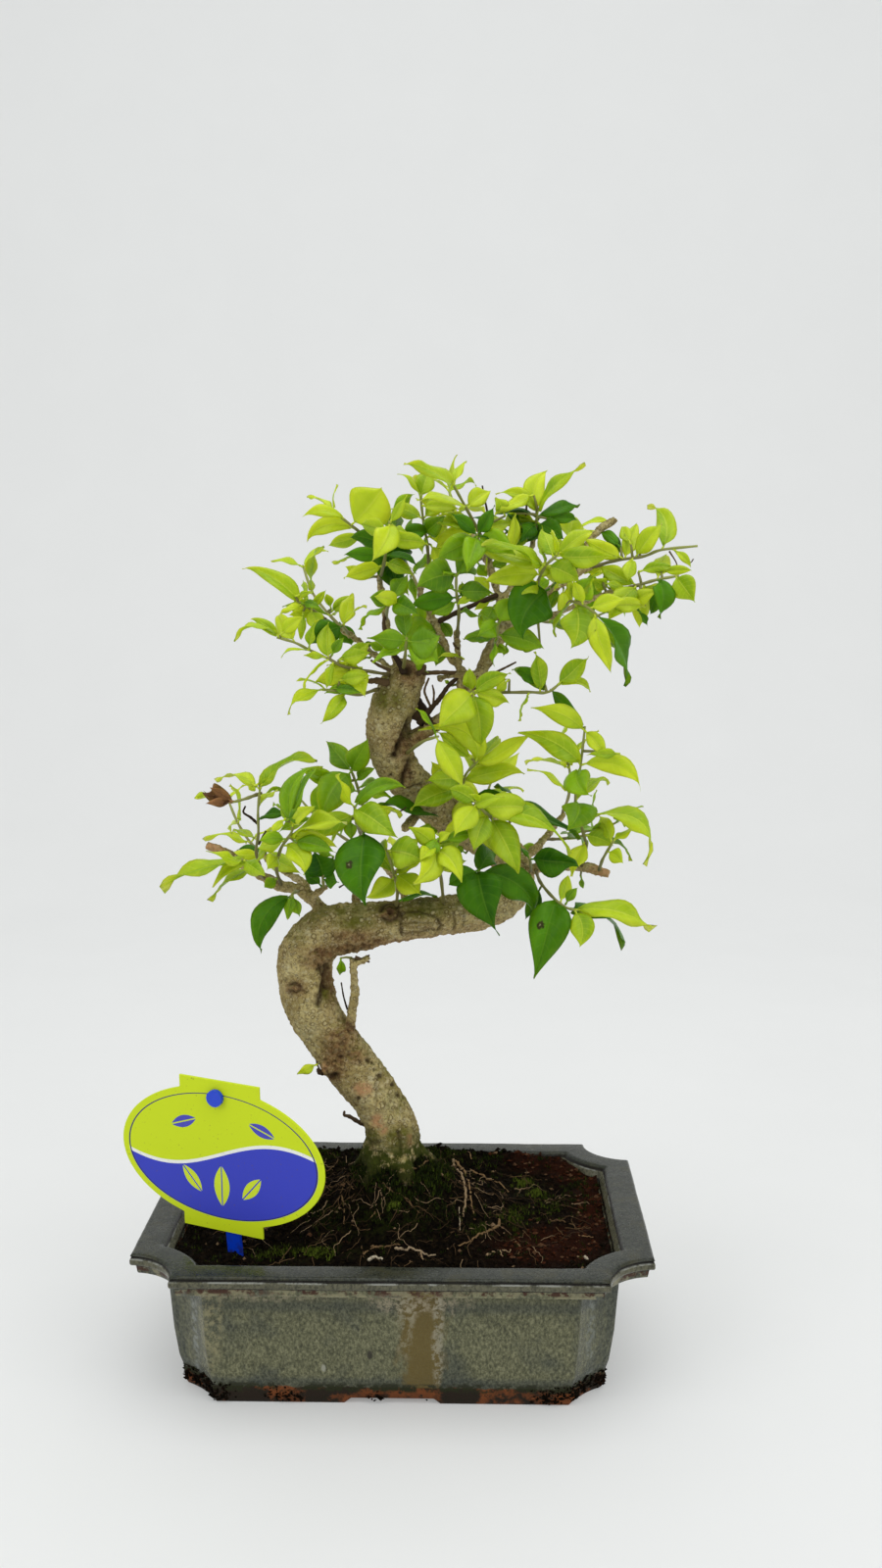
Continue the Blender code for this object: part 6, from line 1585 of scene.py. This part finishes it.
def glaze_colour():
    height = height_of()
    speckle = grain(1.0, 5, 0.75, stretch=(1, 1, 0.6))
    body = ramp(speckle, (0.36, (0.049, 0.051, 0.028)), (0.5, (0.118, 0.119, 0.064)),
                (0.64, (0.222, 0.219, 0.126)))
    cool = mix(ramp(speckle, (0.38, 0), (0.6, 1)), (0.02, 0.025, 0.021), (0.068, 0.078, 0.062))
    body = mix(patches(0.045, 4, 0.6, 0.5, 0.66, 0.0, 0.7), body, cool)
    body = mix((1.0 - blot(0, 28, 66, 40, 0.3, power=6.0)) * 0.75, body, cool)
    for low, high, soft in ((41.0, 43.0, 2.5), (6.0, 10.5, 2.0)):
        body = mix(band_of(height, low, high, soft) * 0.6, body, cool)
    flakes = patches(0.4, 5, 0.75, 0.46, 0.56)
    for middle_x, middle_z, wide, high, tint, share, patchy in GLAZE_MARKS:
        # Each mark is a real stain, except the two corner streaks, which are painted highlights.
        stain_and_sheen = blot(middle_x, middle_z, wide, high, 0.8, 2.6) * share
        body = mix(stain_and_sheen * flakes if patchy else stain_and_sheen, body, tint)
    rim = mix(ramp(speckle, (0.4, 0), (0.62, 1)), (0.01, 0.0125, 0.0085), (0.045, 0.049, 0.036))
    rim = mix(patches(0.12, 5, 0.7, 0.5, 0.64, 0.0, 0.6), rim, (0.045, 0.043, 0.02))
    base = mix(band_of(height, 54.3, 70, 0.4), body, rim)
    under = times(band_of(height, 49.0, 53.2, 1.6), patches(0.22, 5, 0.55, 0.46, 0.56))
    base = mix(under * 0.7, base, (0.26, 0.24, 0.14))
    rust = band_of(height, 52.4, 54.0, 0.8)
    base = coat(base, (0.05, 0.017, 0.006), rust, patches(0.16, 5, 0.7, 0.5, 0.56))
    # Painted shade: a dark line under the lip, and a dark line along the groove below the top edge.
    for low, high in ((53.9, 54.5), (57.6, 58.3)):
        line = band_of(height, low, high, 0.3)
        base = coat(base, (0.006, 0.004, 0.002), line, patches(0.15, 4, 0.55, 0.3, 0.5, 0.6))
    ledge = band_of(height, 54.9, 57.2, 0.3)
    base = coat(base, (0.125, 0.12, 0.075), ledge, ramp(speckle, (0.4, 0.3), (0.6, 1.0)))
    # A pale line at the groove's lower edge: partly chalk, partly a painted highlight.
    chalk_and_highlight = band_of(height, 57.1, 57.4, 0.2)
    base = coat(base, (0.3, 0.31, 0.28), chalk_and_highlight, patches(0.1, 4, 0.7, 0.48, 0.58, 0.0, 0.7))
    clay = mix(patches(0.06, 5, 0.65, 0.46, 0.55), (0.018, 0.011, 0.006), (0.17, 0.05, 0.013))
    clay = mix(patches(0.35, 5, 0.7, 0.52, 0.6, 0.0, 0.9), clay, (0.014, 0.011, 0.005))
    edge = height + (grain(0.15, 4) - 0.5) * 4.0
    base = mix(((edge - (FOOT_HEIGHT - 0.6)) / 0.6).held(), clay, base)
    grime = band_of(edge, FOOT_HEIGHT - 1.5, FOOT_HEIGHT + 0.8, 1.2)
    return coat(base, (0.018, 0.02, 0.006), grime, patches(0.2, 5, 0.7, 0.44, 0.54))


def glaze_roughness():
    fired = ((height_of() - (FOOT_HEIGHT - 0.5)) / 0.8).held()
    return mix(fired, (0.85, 0.85, 0.85), patches(0.3, 4, 0.55, 0.35, 0.7, 0.22, 0.36))


GLAZE = surface("pot_glaze", glaze_colour, glaze_roughness, (0.8, 4, 0.6), 0.25, 0.4, Specular_IOR_Level=0.24)


# Soil

SOIL_SIDE_STEPS = 40
SOIL_ARC_STEPS = 10
SOIL_RINGS = 90
BACK_BANK = 6.2
ROOT_HAIRS = 420
LONE_TUFTS = 700
FOOT_TUFTS = 420
TUFT_BLADES = 6
PEAT_CRUMBS = 5200
CLUMP_CRUMBS = 90
WALL_CRUMBS = 260
FOOT_CRUMBS = 2200

# Places of the peat as read in the picture, red-brown ones and mossy ones: x, z, half width, half height
RED_PEAT = [
    (66, 39, 24, 9), (84, 56, 9, 18), (-26, 86, 5, 2), (35, 84, 4, 2.5), (74, 74, 12, 9), (58, 76, 10, 6),
]
GREEN_PEAT = [
    (-9, 69, 8, 7), (-23, 79, 9, 7), (56, 64, 8, 5), (52, 51, 8, 6), (36, 46, 6, 4), (22, 79, 9, 5),
    (-32, 36, 22, 4), (-4, 84, 18, 4), (12, 66, 14, 8), (-3, 50, 20, 8),
]

# Moss: middle x and z, half width and half height, count of tufts, and brightness
MOSS = [
    (55, 66, 4, 2.0, 50, 0.75), (60.5, 61, 3.4, 2.0, 34, 0.7), (1.5, 56, 2.0, 1.6, 30, 0.8),
    (-8, 70, 7, 5, 130, 0.35), (-24, 81, 6, 4.5, 110, 0.5), (52, 52, 6, 4, 80, 0.55),
    (37, 46, 4, 2.6, 50, 0.45), (24, 80, 7, 3.6, 120, 0.4), (-45, 36, 6, 2.4, 60, 0.6),
    (-31, 35.5, 7, 2, 70, 0.7), (53.5, 82, 4, 1.6, 80, 0.12), (4, 78, 5, 4, 150, 0.3),
    (-9, 79, 5, 3, 120, 0.35), (14, 80, 4, 3, 110, 0.4), (0, 74, 14, 4, 160, 0.25),
    (10, 52, 26, 9, 160, 0.3), (65, 55, 6, 5, 60, 0.5), (-30, 52, 10, 8, 110, 0.3),
    (-55, 34, 5, 2, 30, 0.5), (40, 76, 8, 4, 60, 0.4), (75, 62, 9, 10, 60, 0.3),
]

# Roots that lie on the peat: radius, paleness, and x and z of each point
SURFACE_ROOTS = [
    (0.75, 0.8, [(26, 75.5), (29, 70), (31, 63), (31, 57), (30, 51)]),
    (0.6, 0.75, [(27, 75), (31, 70), (33, 62), (34.5, 52)]), (0.6, 0.7, [(33, 71), (40, 67), (49, 61.5)]),
    (0.5, 0.75, [(30, 83), (31.5, 80), (33.5, 75.5)]),
    (0.6, 0.6, [(45, 50), (44.6, 47), (38, 43.5), (34, 41), (27, 37)]),
    (0.6, 0.85, [(2, 37), (6, 36.3), (12, 36), (19, 34)]), (0.4, 0.8, [(12.5, 36), (13.6, 32.4)]),
    (0.75, 1.0, [(-9, 32), (-6, 33.3), (-3, 32)]), (0.5, 0.8, [(40, 33.5), (44, 36), (50, 37)]),
    (0.4, 0.8, [(44.5, 36.3), (46.5, 33.6)]), (0.4, 0.6, [(-11.5, 34.5), (-9, 36), (-6, 37.5)]),
    (0.5, 0.55, [(9, 71), (13, 73), (17, 75.5)]), (0.35, 0.8, [(-26, 58), (-28, 54), (-34, 52.5)]),
    (0.8, 1.0, [(80.5, 33.5), (82, 31.8)]), (0.5, 0.5, [(-4, 75), (-2, 72), (1, 70.5)]),
    (0.3, 0.5, [(66, 50), (75, 48), (83, 46.5)]), (0.4, 0.45, [(-28, 70), (-24, 72), (-19, 77)]),
    (0.4, 0.5, [(-25, 64), (-20, 65), (-15, 63)]), (0.4, 0.5, [(-3, 66), (0, 62), (5, 60), (12, 52)]),
    (0.5, 0.5, [(-8, 37.5), (0, 38), (4, 38.4)]), (0.3, 0.7, [(78, 43), (84, 41.5)]),
    (0.35, 0.6, [(12, 84), (17, 84.6), (21, 83.8)]), (0.35, 0.6, [(-20, 60), (-19, 54), (-19.4, 47)]),
    (0.35, 0.7, [(-6, 53), (-8, 50.5)]), (0.3, 0.9, [(28.6, 55), (28.8, 45)]),
    (0.35, 0.55, [(52, 40), (54, 37), (53, 34.5)]), (0.9, 0.3, [(-1.5, 78), (0.5, 75), (2.6, 72)]),
]


def peat_height(points):
    """Height of the rough peat at rows of (x, y); it is banked up against the back wall."""
    x, y = points[:, 0], points[:, 1]
    flat = np.column_stack([points, np.zeros(len(points))])
    bank = BACK_BANK * np.clip((y - 18) / 30, 0, 1) ** 2 * (1 - 0.35 * np.clip((x - 30) / 40, 0, 1))
    return ground(x, y) + bank + 1.4 * rough(flat, 0.11, 4, 3) + 0.8 * rough(flat, 0.5, 11, 3)


def peat_at(x, y):
    return float(peat_height(np.array([(x, y)]))[0])


def on_peat(x, z):
    """Where the sight line through a read point meets the peat."""
    line = np.array([seen(x, z, depth) for depth in np.arange(-56, 54, 0.5)])
    under = line[:, 2] - peat_height(line[:, :2])
    hit = np.flatnonzero(under <= 0)
    return Vector(line[hit[0]] if len(hit) else line[-1])


def on_soil(x, y, margin=1.0):
    """Whether a place lies on the soil and clear of the pot's wall."""
    inset = inner_inset(SOIL_EDGE) + margin
    beside, before = POT_LENGTH / 2 - abs(x), POT_DEPTH / 2 - abs(y)
    return beside > inset and before > inset and math.hypot(beside, before) > CORNER_NOTCH + inset


def make_soil():
    """The peat's rough surface, down inside the pot to its floor."""
    bottom = FLOOR + 2 * GAP + NET_THICKNESS
    rings = []
    for z in (bottom, 0.5 * (bottom + SHOULDER), SHOULDER, SOIL_EDGE - 3.5):
        outline = np.array(indented_outline(inner_inset(z) + GAP, SOIL_ARC_STEPS, SOIL_SIDE_STEPS))
        rings.append(np.column_stack([outline, np.full(len(outline), z)]))
    edge = np.array(indented_outline(inner_inset(SOIL_EDGE) + GAP + 0.3, SOIL_ARC_STEPS, SOIL_SIDE_STEPS))
    for k in range(SOIL_RINGS):
        flat = edge * (1 - k / SOIL_RINGS)
        flat[:, 1] += 2.2 * np.clip((flat[:, 1] - 42) / 11, 0, 1)
        rings.append(np.column_stack([flat, peat_height(flat)]))
    corners, count = np.vstack(rings), len(edge)
    lids = [tuple(range(len(corners) - count, len(corners))), tuple(range(count))[::-1]]
    heap = Heap()
    heap.add(corners, band_faces(len(rings), count) + lids)
    peat = heap.piece("peat_surface", [PEAT], "soil", ["soil"])
    x, z = read_at(corners)
    paint(peat, "brown", within(x, z, RED_PEAT, 3))
    paint(peat, "green", within(x, z, GREEN_PEAT, 3))


def add_root(heap, draw, radius, pale, points):
    """A bare root that lies on the peat through the read points."""
    places = [on_peat(x, z) + Vector((0, 0, 0.5 * radius)) for x, z in points]
    fine = smooth_curve(places, 8 * len(places))
    fine[:, 2] = peat_height(fine[:, :2]) + 0.4 * radius
    fine += np.array([[draw.uniform(-0.16, 0.16) for _ in range(3)] for _ in fine])
    radii = [radius * (1 - 0.5 * k / len(fine)) * draw.uniform(0.85, 1.15) for k in range(len(fine))]
    heap.add(*tube_form(np.column_stack([fine, radii]), 7), tone=pale)


def hair_line(draw):
    """Places of a root hair that wanders away from the trunk's foot, as far as the soil goes."""
    angle, away = draw.uniform(0, 2 * math.pi), draw.uniform(9, 50)
    x, y = away * math.cos(angle) * 1.5, away * math.sin(angle)
    heading = angle + draw.gauss(0, 0.75)
    line = []
    for _ in range(draw.randint(6, 15)):
        if not on_soil(x, y, 2.5):
            break
        line.append((x, y))
        heading += draw.gauss(0, 0.28)
        x, y = x + 1.1 * math.cos(heading), y + 1.1 * math.sin(heading)
    return line


def make_surface_roots():
    """Bare roots and root hairs that lie on the peat."""
    heap = Heap()
    draw = random.Random(ROOT_SEED)
    for radius, pale, points in SURFACE_ROOTS:
        add_root(heap, draw, radius, pale, points)
    made = 0
    while made < ROOT_HAIRS:
        line = hair_line(draw)
        if len(line) < 5:
            continue
        heights = peat_height(np.array(line)) + draw.uniform(0.0, 0.35)
        radius = draw.uniform(0.1, 0.22)
        rise = draw.uniform(0, 1.0)
        rows = []
        for k, ((x, y), height) in enumerate(zip(line, heights)):
            height += rise * math.sin(math.pi * k / len(line))
            rows.append((x, y, height, radius * (1 - 0.6 * k / len(line))))
        heap.add(*tube_form(rows, 5), tone=draw.choice([0.1, 0.2, 0.35, 0.5, 0.8]))
        made += 1
    heap.piece("surface_roots", [ROOT_SKIN], "bark")


def make_moss():
    """Tufts of short moss blades on the peat and round the trunk's foot."""
    heap = Heap()
    draw = random.Random(MOSS_SEED)
    for middle_x, middle_z, wide, high, count, bright in MOSS:
        for _ in range(count):
            foot = on_peat(middle_x + draw.gauss(0, 0.5) * wide, middle_z + draw.gauss(0, 0.5) * high)
            if on_soil(foot.x, foot.y, 0.5):
                add_tuft(heap, draw, foot, bright)
    for _ in range(LONE_TUFTS):
        x, y = draw.uniform(-84, 84), draw.uniform(-52, 52)
        if on_soil(x, y) and noise.noise(Vector((x * 0.07, y * 0.07, 3.0))) > 0.0:
            add_tuft(heap, draw, Vector((x, y, peat_at(x, y))), draw.uniform(0.1, 0.5))
    for _ in range(FOOT_TUFTS):
        angle, away = draw.uniform(0, 2 * math.pi), draw.uniform(11, 21)
        x, y = 2 + away * math.cos(angle), -1.5 + away * math.sin(angle)
        foot = Vector((x, y, peat_at(x, y) + draw.uniform(0, 1.2)))
        add_tuft(heap, draw, foot, draw.uniform(0.1, 0.5), 1.3)
    heap.piece("moss", [MOSS_GREEN], "soil", smooth=False)


def add_tuft(heap, draw, foot, bright, size=1.0):
    """A few leaning three-sided blades from one foot."""
    for _ in range(TUFT_BLADES):
        angle = draw.uniform(0, 2 * math.pi)
        out = Vector((math.cos(angle), math.sin(angle), 0))
        base = foot + out * draw.uniform(0, 0.9) * size
        tip = base + (out * draw.uniform(0, 0.9) + Vector((0, 0, draw.uniform(0.7, 1.9)))) * size
        wide = draw.uniform(0.16, 0.34) * size
        turn = draw.uniform(0, 2)
        around = [turn + angle for angle in (0, 2.09, 4.19)]
        corners = [base + Vector((wide * math.cos(a), wide * math.sin(a), -0.5)) for a in around]
        tone = min(1.0, max(0.0, bright + draw.uniform(-0.25, 0.2)))
        heap.add(corners + [tip], [(0, 2, 1), (0, 1, 3), (1, 2, 3), (2, 0, 3)], tone=tone)


def make_crumbs():
    """Crumbs of peat and bits of bark, with a small heap of them by the back wall."""
    heap = Heap()
    draw = random.Random(CRUMB_SEED)
    places = []
    while len(places) < PEAT_CRUMBS:
        x, y = draw.uniform(-85, 85), draw.uniform(-53, 53)
        if on_soil(x, y, 0.8):
            places.append((x, y, draw.uniform(0.3, 1.15) ** 1.4, 0.0))
    clump = on_peat(54, 80)
    for _ in range(CLUMP_CRUMBS):
        x, y = clump.x + draw.gauss(0, 1.9), clump.y + draw.gauss(0, 1.6)
        if on_soil(x, y, 0.8):
            lift = 4.2 * math.exp(-((x - clump.x) ** 2 + (y - clump.y) ** 2) / 6)
            places.append((x, y, draw.uniform(0.7, 1.5), draw.uniform(0.3, 1.0) * lift))
    for _ in range(WALL_CRUMBS):
        x, y = draw.uniform(-62, 62), 53.5 + draw.gauss(0, 0.9)
        places.append((x, y, draw.uniform(0.5, 1.3), draw.uniform(0.0, 0.8)))
    heights = peat_height(np.array([place[:2] for place in places]))
    for (x, y, size, lift), height in zip(places, heights):
        centre = Vector((x, y, height + 0.25 * size + lift))
        read_x, read_z = read_at(np.array([centre]))
        tone = 0.75 if within(read_x, read_z, RED_PEAT, 3)[0] > 0.5 else 0.2
        if draw.random() < 0.025:
            tone = 1.0
        add_crumb(heap, draw, centre, size, tone)
    heap.piece("peat_crumbs", [CRUMB], "soil", smooth=False)


def add_crumb(heap, draw, centre, size, tone):
    """One uneven eight-sided crumb."""
    stretch = [draw.uniform(0.6, 1.5), draw.uniform(0.6, 1.5), draw.uniform(0.5, 1.0)]
    corners = []
    for axis in range(3):
        for sign in (1, -1):
            reach = [draw.uniform(-0.3, 0.3) for _ in range(3)]
            reach[axis] = sign * draw.uniform(0.7, 1.1)
            corners.append([centre[i] + reach[i] * size * stretch[i] for i in range(3)])
    faces = [(0, 2, 4), (2, 1, 4), (1, 3, 4), (3, 0, 4), (2, 0, 5), (1, 2, 5), (3, 1, 5), (0, 3, 5)]
    heap.add(corners, faces, tone=min(1.0, tone + draw.uniform(-0.15, 0.15)))


def make_foot_dirt():
    """Dirt and moss that cling to the foot of the pot, thickest at its corners."""
    heap = Heap()
    draw = random.Random(DIRT_SEED)
    corner_x, corner_y = POT_LENGTH / 2 - FOOT_INSET, POT_DEPTH / 2 - FOOT_INSET
    outline = indented_outline(FOOT_INSET - 0.4, 24, 120)
    made = 0
    while made < FOOT_CRUMBS:
        x, y = draw.choice(outline)
        corner = max(0.0, 1 - math.hypot(corner_x - abs(x), corner_y - abs(y)) / 26)
        patchy = noise.noise(Vector((x * 0.06, y * 0.06, 7.0))) + draw.uniform(-0.3, 0.3)
        if patchy + 1.3 * corner < 0.35:
            continue
        size = draw.uniform(0.35, 1.0) * (1 + 0.7 * corner)
        high = FOOT_HEIGHT - 0.5 + 4.0 * corner
        z = 1.2 * size + max(0.0, high - 1.2 * size) * draw.random() ** 0.7
        inward = Vector((-math.copysign(0.4, x), -math.copysign(0.4, y), 0)) * draw.random()
        add_crumb(heap, draw, Vector((x, y, z)) + inward, size, draw.choice([0.05, 0.2, 0.45]))
        made += 1
    heap.piece("foot_dirt", [CRUMB], "soil", smooth=False)


def peat_colour():
    fine = grain(0.5, 6, 0.75)
    base = ramp(fine, (0.38, (0.0015, 0.001, 0.0008)), (0.52, (0.0062, 0.004, 0.002)),
                (0.62, (0.024, 0.015, 0.007)))
    red = mix(fine, (0.055, 0.013, 0.005), (0.011, 0.003, 0.0015))
    base = coat(base, red, attribute("brown"), patches(0.2, 5, 0.7, 0.36, 0.56, 0.3), 0.9)
    mossy = mix(fine, (0.024, 0.034, 0.003), (0.004, 0.006, 0.001))
    return coat(base, mossy, attribute("green"), patches(0.25, 5, 0.7, 0.44, 0.58), 0.8)


def by_tone(scale, share, dark, *stops):
    """A colour from each form's own tone, with dark grain over it."""
    return lambda: coat(ramp(attribute("tone"), *stops), dark, grain(scale, 4), share)


CRUMB_COLOUR = by_tone(1.2, 0.7, (0.008, 0.005, 0.003),
                       (0.0, (0.003, 0.002, 0.001)), (0.4, (0.0075, 0.005, 0.0023)),
                       (0.6, (0.028, 0.009, 0.004)), (0.85, (0.075, 0.02, 0.007)), (1.0, (0.3, 0.2, 0.11)))
MOSS_COLOUR = by_tone(0.6, 0.6, (0.012, 0.016, 0.003),
                      (0.0, (0.003, 0.006, 0.001)), (0.3, (0.012, 0.022, 0.002)),
                      (0.6, (0.065, 0.095, 0.006)), (1.0, (0.32, 0.42, 0.05)))
ROOT_COLOUR = by_tone(1.0, 0.7, (0.04, 0.025, 0.012),
                      (0.0, (0.022, 0.012, 0.006)), (0.4, (0.11, 0.065, 0.03)),
                      (0.75, (0.36, 0.22, 0.1)), (1.0, (0.65, 0.57, 0.42)))
PEAT = surface("peat", peat_colour, 0.95, (1.0, 6, 0.8), 1.0, 1.6, Specular_IOR_Level=0.05)
CRUMB = surface("peat_crumb", CRUMB_COLOUR, 0.95, (2.0, 4), 0.8, 0.5, Specular_IOR_Level=0.05)
MOSS_GREEN = surface("moss_blade", MOSS_COLOUR, 0.8, (2.5, 3), 0.5, 0.3, Specular_IOR_Level=0.1)
ROOT_SKIN = surface("root_skin", ROOT_COLOUR, 0.85, (2.0, 4), 0.7, 0.4, Specular_IOR_Level=0.1)


# Plant tag

EDGE_ROUND = 0.12
EDGE_SHARE = 0.996
TAG_LEAVES = [
    (0.0, -12.0, 90, 17, (0.62, 0.75, 0.035)), (-13.0, -11.0, 130, 13, (0.62, 0.75, 0.035)),
    (13.0, -11.0, 50, 13, (0.62, 0.75, 0.035)), (-16.0, 12.0, 20, 12, (0.075, 0.08, 0.48)),
    (18.0, 13.5, -20, 12, (0.075, 0.08, 0.48)),
]


def tag_radius(angle):
    """Reach of the plate's outline from its middle: an oval with a square tab above and below."""
    cos, sin = abs(math.cos(angle)), abs(math.sin(angle))
    oval = 1 / math.hypot(cos / LABEL_HALF_WIDTH, sin / LABEL_HALF_HEIGHT)
    if cos * LABEL_TAB_TOP <= LABEL_TAB_HALF_WIDTH * sin:
        return LABEL_TAB_TOP / sin
    beside = LABEL_TAB_HALF_WIDTH / max(cos, 1e-6)
    return max(oval, beside) if beside * sin <= LABEL_TAB_TOP else oval


def tag_outline(steps=160):
    corner = math.atan2(LABEL_TAB_TOP, LABEL_TAB_HALF_WIDTH)
    angles = [2 * math.pi * k / steps for k in range(steps)]
    angles += [corner, math.pi - corner, math.pi + corner, 2 * math.pi - corner]
    return [(tag_radius(a) * math.cos(a), tag_radius(a) * math.sin(a)) for a in sorted(angles)]


def make_tag():
    """The oval plate with a softened edge and the peg's hole, its design painted by place on the plate."""
    up = Vector((0, -LABEL_LEAN, 1)).normalized()
    right = Vector((math.cos(LABEL_YAW), -math.sin(LABEL_YAW), 0))
    right = (right - up * right.dot(up)).normalized()
    out = right.cross(up)
    origin = in_pot_frame(PEG_PLACE)
    outline = tag_outline()
    peg_u, peg_v = PEG_ON_PLATE
    around = [math.atan2(v - peg_v, u - peg_u) for u, v in outline]
    hole = PEG_RADIUS + GAP
    inner = [(peg_u + hole * math.cos(a), peg_v + hole * math.sin(a)) for a in around]
    levels = [(1.0, EDGE_ROUND), (1.0, LABEL_THICKNESS - EDGE_ROUND), (EDGE_SHARE, LABEL_THICKNESS)]
    rings = [[(u * s, v * s, w) for u, v in outline] for s, w in levels]
    for share in (0.35, 0.7, 1.0):
        rings.append([(u * EDGE_SHARE * (1 - share) + a * share, v * EDGE_SHARE * (1 - share) + b * share,
                       LABEL_THICKNESS) for (u, v), (a, b) in zip(outline, inner)])
    rings.append([(a, b, 0.0) for a, b in inner])
    rings.append([(u * EDGE_SHARE, v * EDGE_SHARE, 0.0) for u, v in outline])
    places = [place for ring in rings for place in ring]
    corners = [origin + right * (u - peg_u) + up * (v - peg_v) + out * w for u, v, w in places]
    heap = Heap()
    heap.add(corners, band_faces(len(rings), len(outline), True), 0, np.array(places)[:, :2])
    heap.piece("tag_plate", [TAG_FACE], "label_face", ["label_plate"], smooth=False)


def plain_leaf(u, v, middle_u, middle_v, turn, length):
    """One within a pointed oval of the stated length, but for its vein."""
    cos, sin = math.cos(math.radians(turn)), math.sin(math.radians(turn))
    du, dv = u - middle_u, v - middle_v
    part = (du * cos + dv * sin) / (0.5 * length)
    beside = abs(dv * cos - du * sin)
    half = (1.0 - part * part) * (0.2 * length)
    return (beside < half) * (beside > 0.25)


def tag_colour():
    """Lime with a blue-violet sweep below, a pale line between, five plain leaves and a fine border."""
    u, v = leaf_map()
    lime, violet, white = (0.6, 0.74, 0.015), (0.045, 0.06, 0.52), (0.85, 0.87, 0.83)
    above = v - (calc("SINE", u * 0.06) * 7.0 + 1.0)
    base = mix(abs(above) < 0.7, mix(above < 0.0, lime, violet), white)
    for *leaf, tint in TAG_LEAVES:
        base = mix(plain_leaf(u, v, *leaf), base, tint)
    ring_u, ring_v = u / (LABEL_HALF_WIDTH - 2.6), v / (LABEL_HALF_HEIGHT - 2.6)
    reach = calc("SQRT", ring_u * ring_u + ring_v * ring_v)
    base = mix(reach > 1.0, base, lime)
    base = mix(abs(reach - 0.99) < 0.007, base, (0.03, 0.03, 0.16))
    return mix(patches(0.9, 4, 0.55, 0.66, 0.72, 0.0, 0.5), base, (0.12, 0.08, 0.04))


def stake_colour():
    base = mix(patches(1.0, 4, 0.55, 0.5, 0.75, 0.0, 0.6), (0.0, 0.045, 0.6), (0.01, 0.07, 0.68))
    low = 1.0 - ((height_of() - 54) / 9.0).held()
    return mix(patches(0.4, 5, 0.55, 0.45, 0.6) * low, base, (0.02, 0.014, 0.008))


def speckled(scale, first, second):
    """A colour that runs from one to the other in small grains."""
    return lambda: mix(grain(scale, 3), first, second)


TAG_FACE = surface("tag_print", tag_colour, 0.38, (0.5, 2), 0.05, 0.2, Specular_IOR_Level=0.15)
STAKE_PLASTIC = surface("stake_moulding", stake_colour, 0.32, (1.5, 2), 0.1, 0.2)
NET_PLASTIC = surface("net_moulding", speckled(1.0, (0.012, 0.012, 0.012), (0.03, 0.03, 0.028)), 0.6,
                      (2.0, 2), 0.2, 0.2)


def dress(name, made):
    """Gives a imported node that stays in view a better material."""
    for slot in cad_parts[name].material_slots:
        slot.material = made


# Setting

CAMERA_PITCH = math.radians(90 - 7.47)
CAMERA_LENS = 33.75
CAMERA_SENSOR = 36
SWEEP_START = 0.7
SWEEP_RADIUS = 0.7
SWEEP_STEPS = 24
FLOOR_FRONT = -2.0
BACKDROP_TOP = 3.0
BACKDROP_HALF = 3.0
SKY_STRENGTH = 0.56

# Lights: name, place, what it is aimed at, size and power
LIGHTS = [
    ("overhead", (0.1, -0.2, 1.6), (0, 0, 0.15), 1.6, 11), ("right", (1.3, -1.0, 1.1), (0, 0, 0.1), 1.3, 7),
    ("left", (-1.3, -1.0, 1.1), (0, 0, 0.1), 1.3, 7),
]


def add_light(name, place, aim, size, power):
    data = bpy.data.lights.new(name, "AREA")
    data.shape = "DISK"
    data.size = size
    data.energy = power
    lamp = show(bpy.data.objects.new(name, data))
    lamp.location = place
    lamp.rotation_euler = (Vector(aim) - Vector(place)).to_track_quat("-Z", "Y").to_euler()


def make_camera():
    """The camera where the photograph was taken from."""
    camera = show(bpy.data.objects.new("camera", bpy.data.cameras.new("camera")))
    camera.data.lens = CAMERA_LENS
    camera.data.sensor_width = CAMERA_SENSOR
    camera.data.clip_start = 0.02
    camera.location = EYE * MM + POT_MIDDLE
    camera.rotation_euler = (CAMERA_PITCH, 0, -POT_TURN)
    bpy.context.scene.camera = camera


def make_backdrop():
    """A pale floor that sweeps up behind, in metres; it glows a little, as painted light that lifts the
    shadows on it and lights the plant from below.
    """
    line = [(FLOOR_FRONT, 0.0), (SWEEP_START, 0.0)]
    for k in range(1, SWEEP_STEPS + 1):
        turn = math.pi / 2 * k / SWEEP_STEPS
        line.append((SWEEP_START + SWEEP_RADIUS * math.sin(turn), SWEEP_RADIUS * (1 - math.cos(turn))))
    line.append((SWEEP_START + SWEEP_RADIUS, BACKDROP_TOP))
    corners = [(x, y, z) for y, z in line for x in (-BACKDROP_HALF, BACKDROP_HALF)]
    faces = [(2 * k, 2 * k + 1, 2 * k + 3, 2 * k + 2) for k in range(len(line) - 1)]
    mesh = bpy.data.meshes.new("backdrop")
    mesh.from_pydata(corners, [], faces)
    mesh.polygons.foreach_set("use_smooth", [True] * len(faces))
    white = speckled(0.01, (0.54, 0.545, 0.545), (0.57, 0.575, 0.575))
    # Painted light: the floor glows a little, which lightens the shadows on it and lights the plant from
    # below.
    mesh.materials.append(surface("glowing_white_floor", white, 0.75, Emission_Color=(0.98, 1.0, 0.99),
                                  Emission_Strength=0.24))
    show(bpy.data.objects.new("backdrop", mesh))


def make_light():
    """Soft light from above and both sides, and from all round."""
    world = bpy.data.worlds.new("studio")
    world.use_nodes = True
    sky = world.node_tree.nodes["Background"]
    sky.inputs["Color"].default_value = (0.97, 0.98, 0.97, 1)
    sky.inputs["Strength"].default_value = SKY_STRENGTH
    bpy.context.scene.world = world
    for light in LIGHTS:
        add_light(*light)
    bpy.context.scene.view_settings.view_transform = "Standard"


make_camera()
make_backdrop()
make_light()
make_shoots()
make_twigs()
make_trunk()
make_pot()
make_soil()
make_surface_roots()
make_moss()
make_crumbs()
make_foot_dirt()
make_tag()
dress("label_stake", STAKE_PLASTIC)
dress("drain_net_left", NET_PLASTIC)
dress("drain_net_right", NET_PLASTIC)
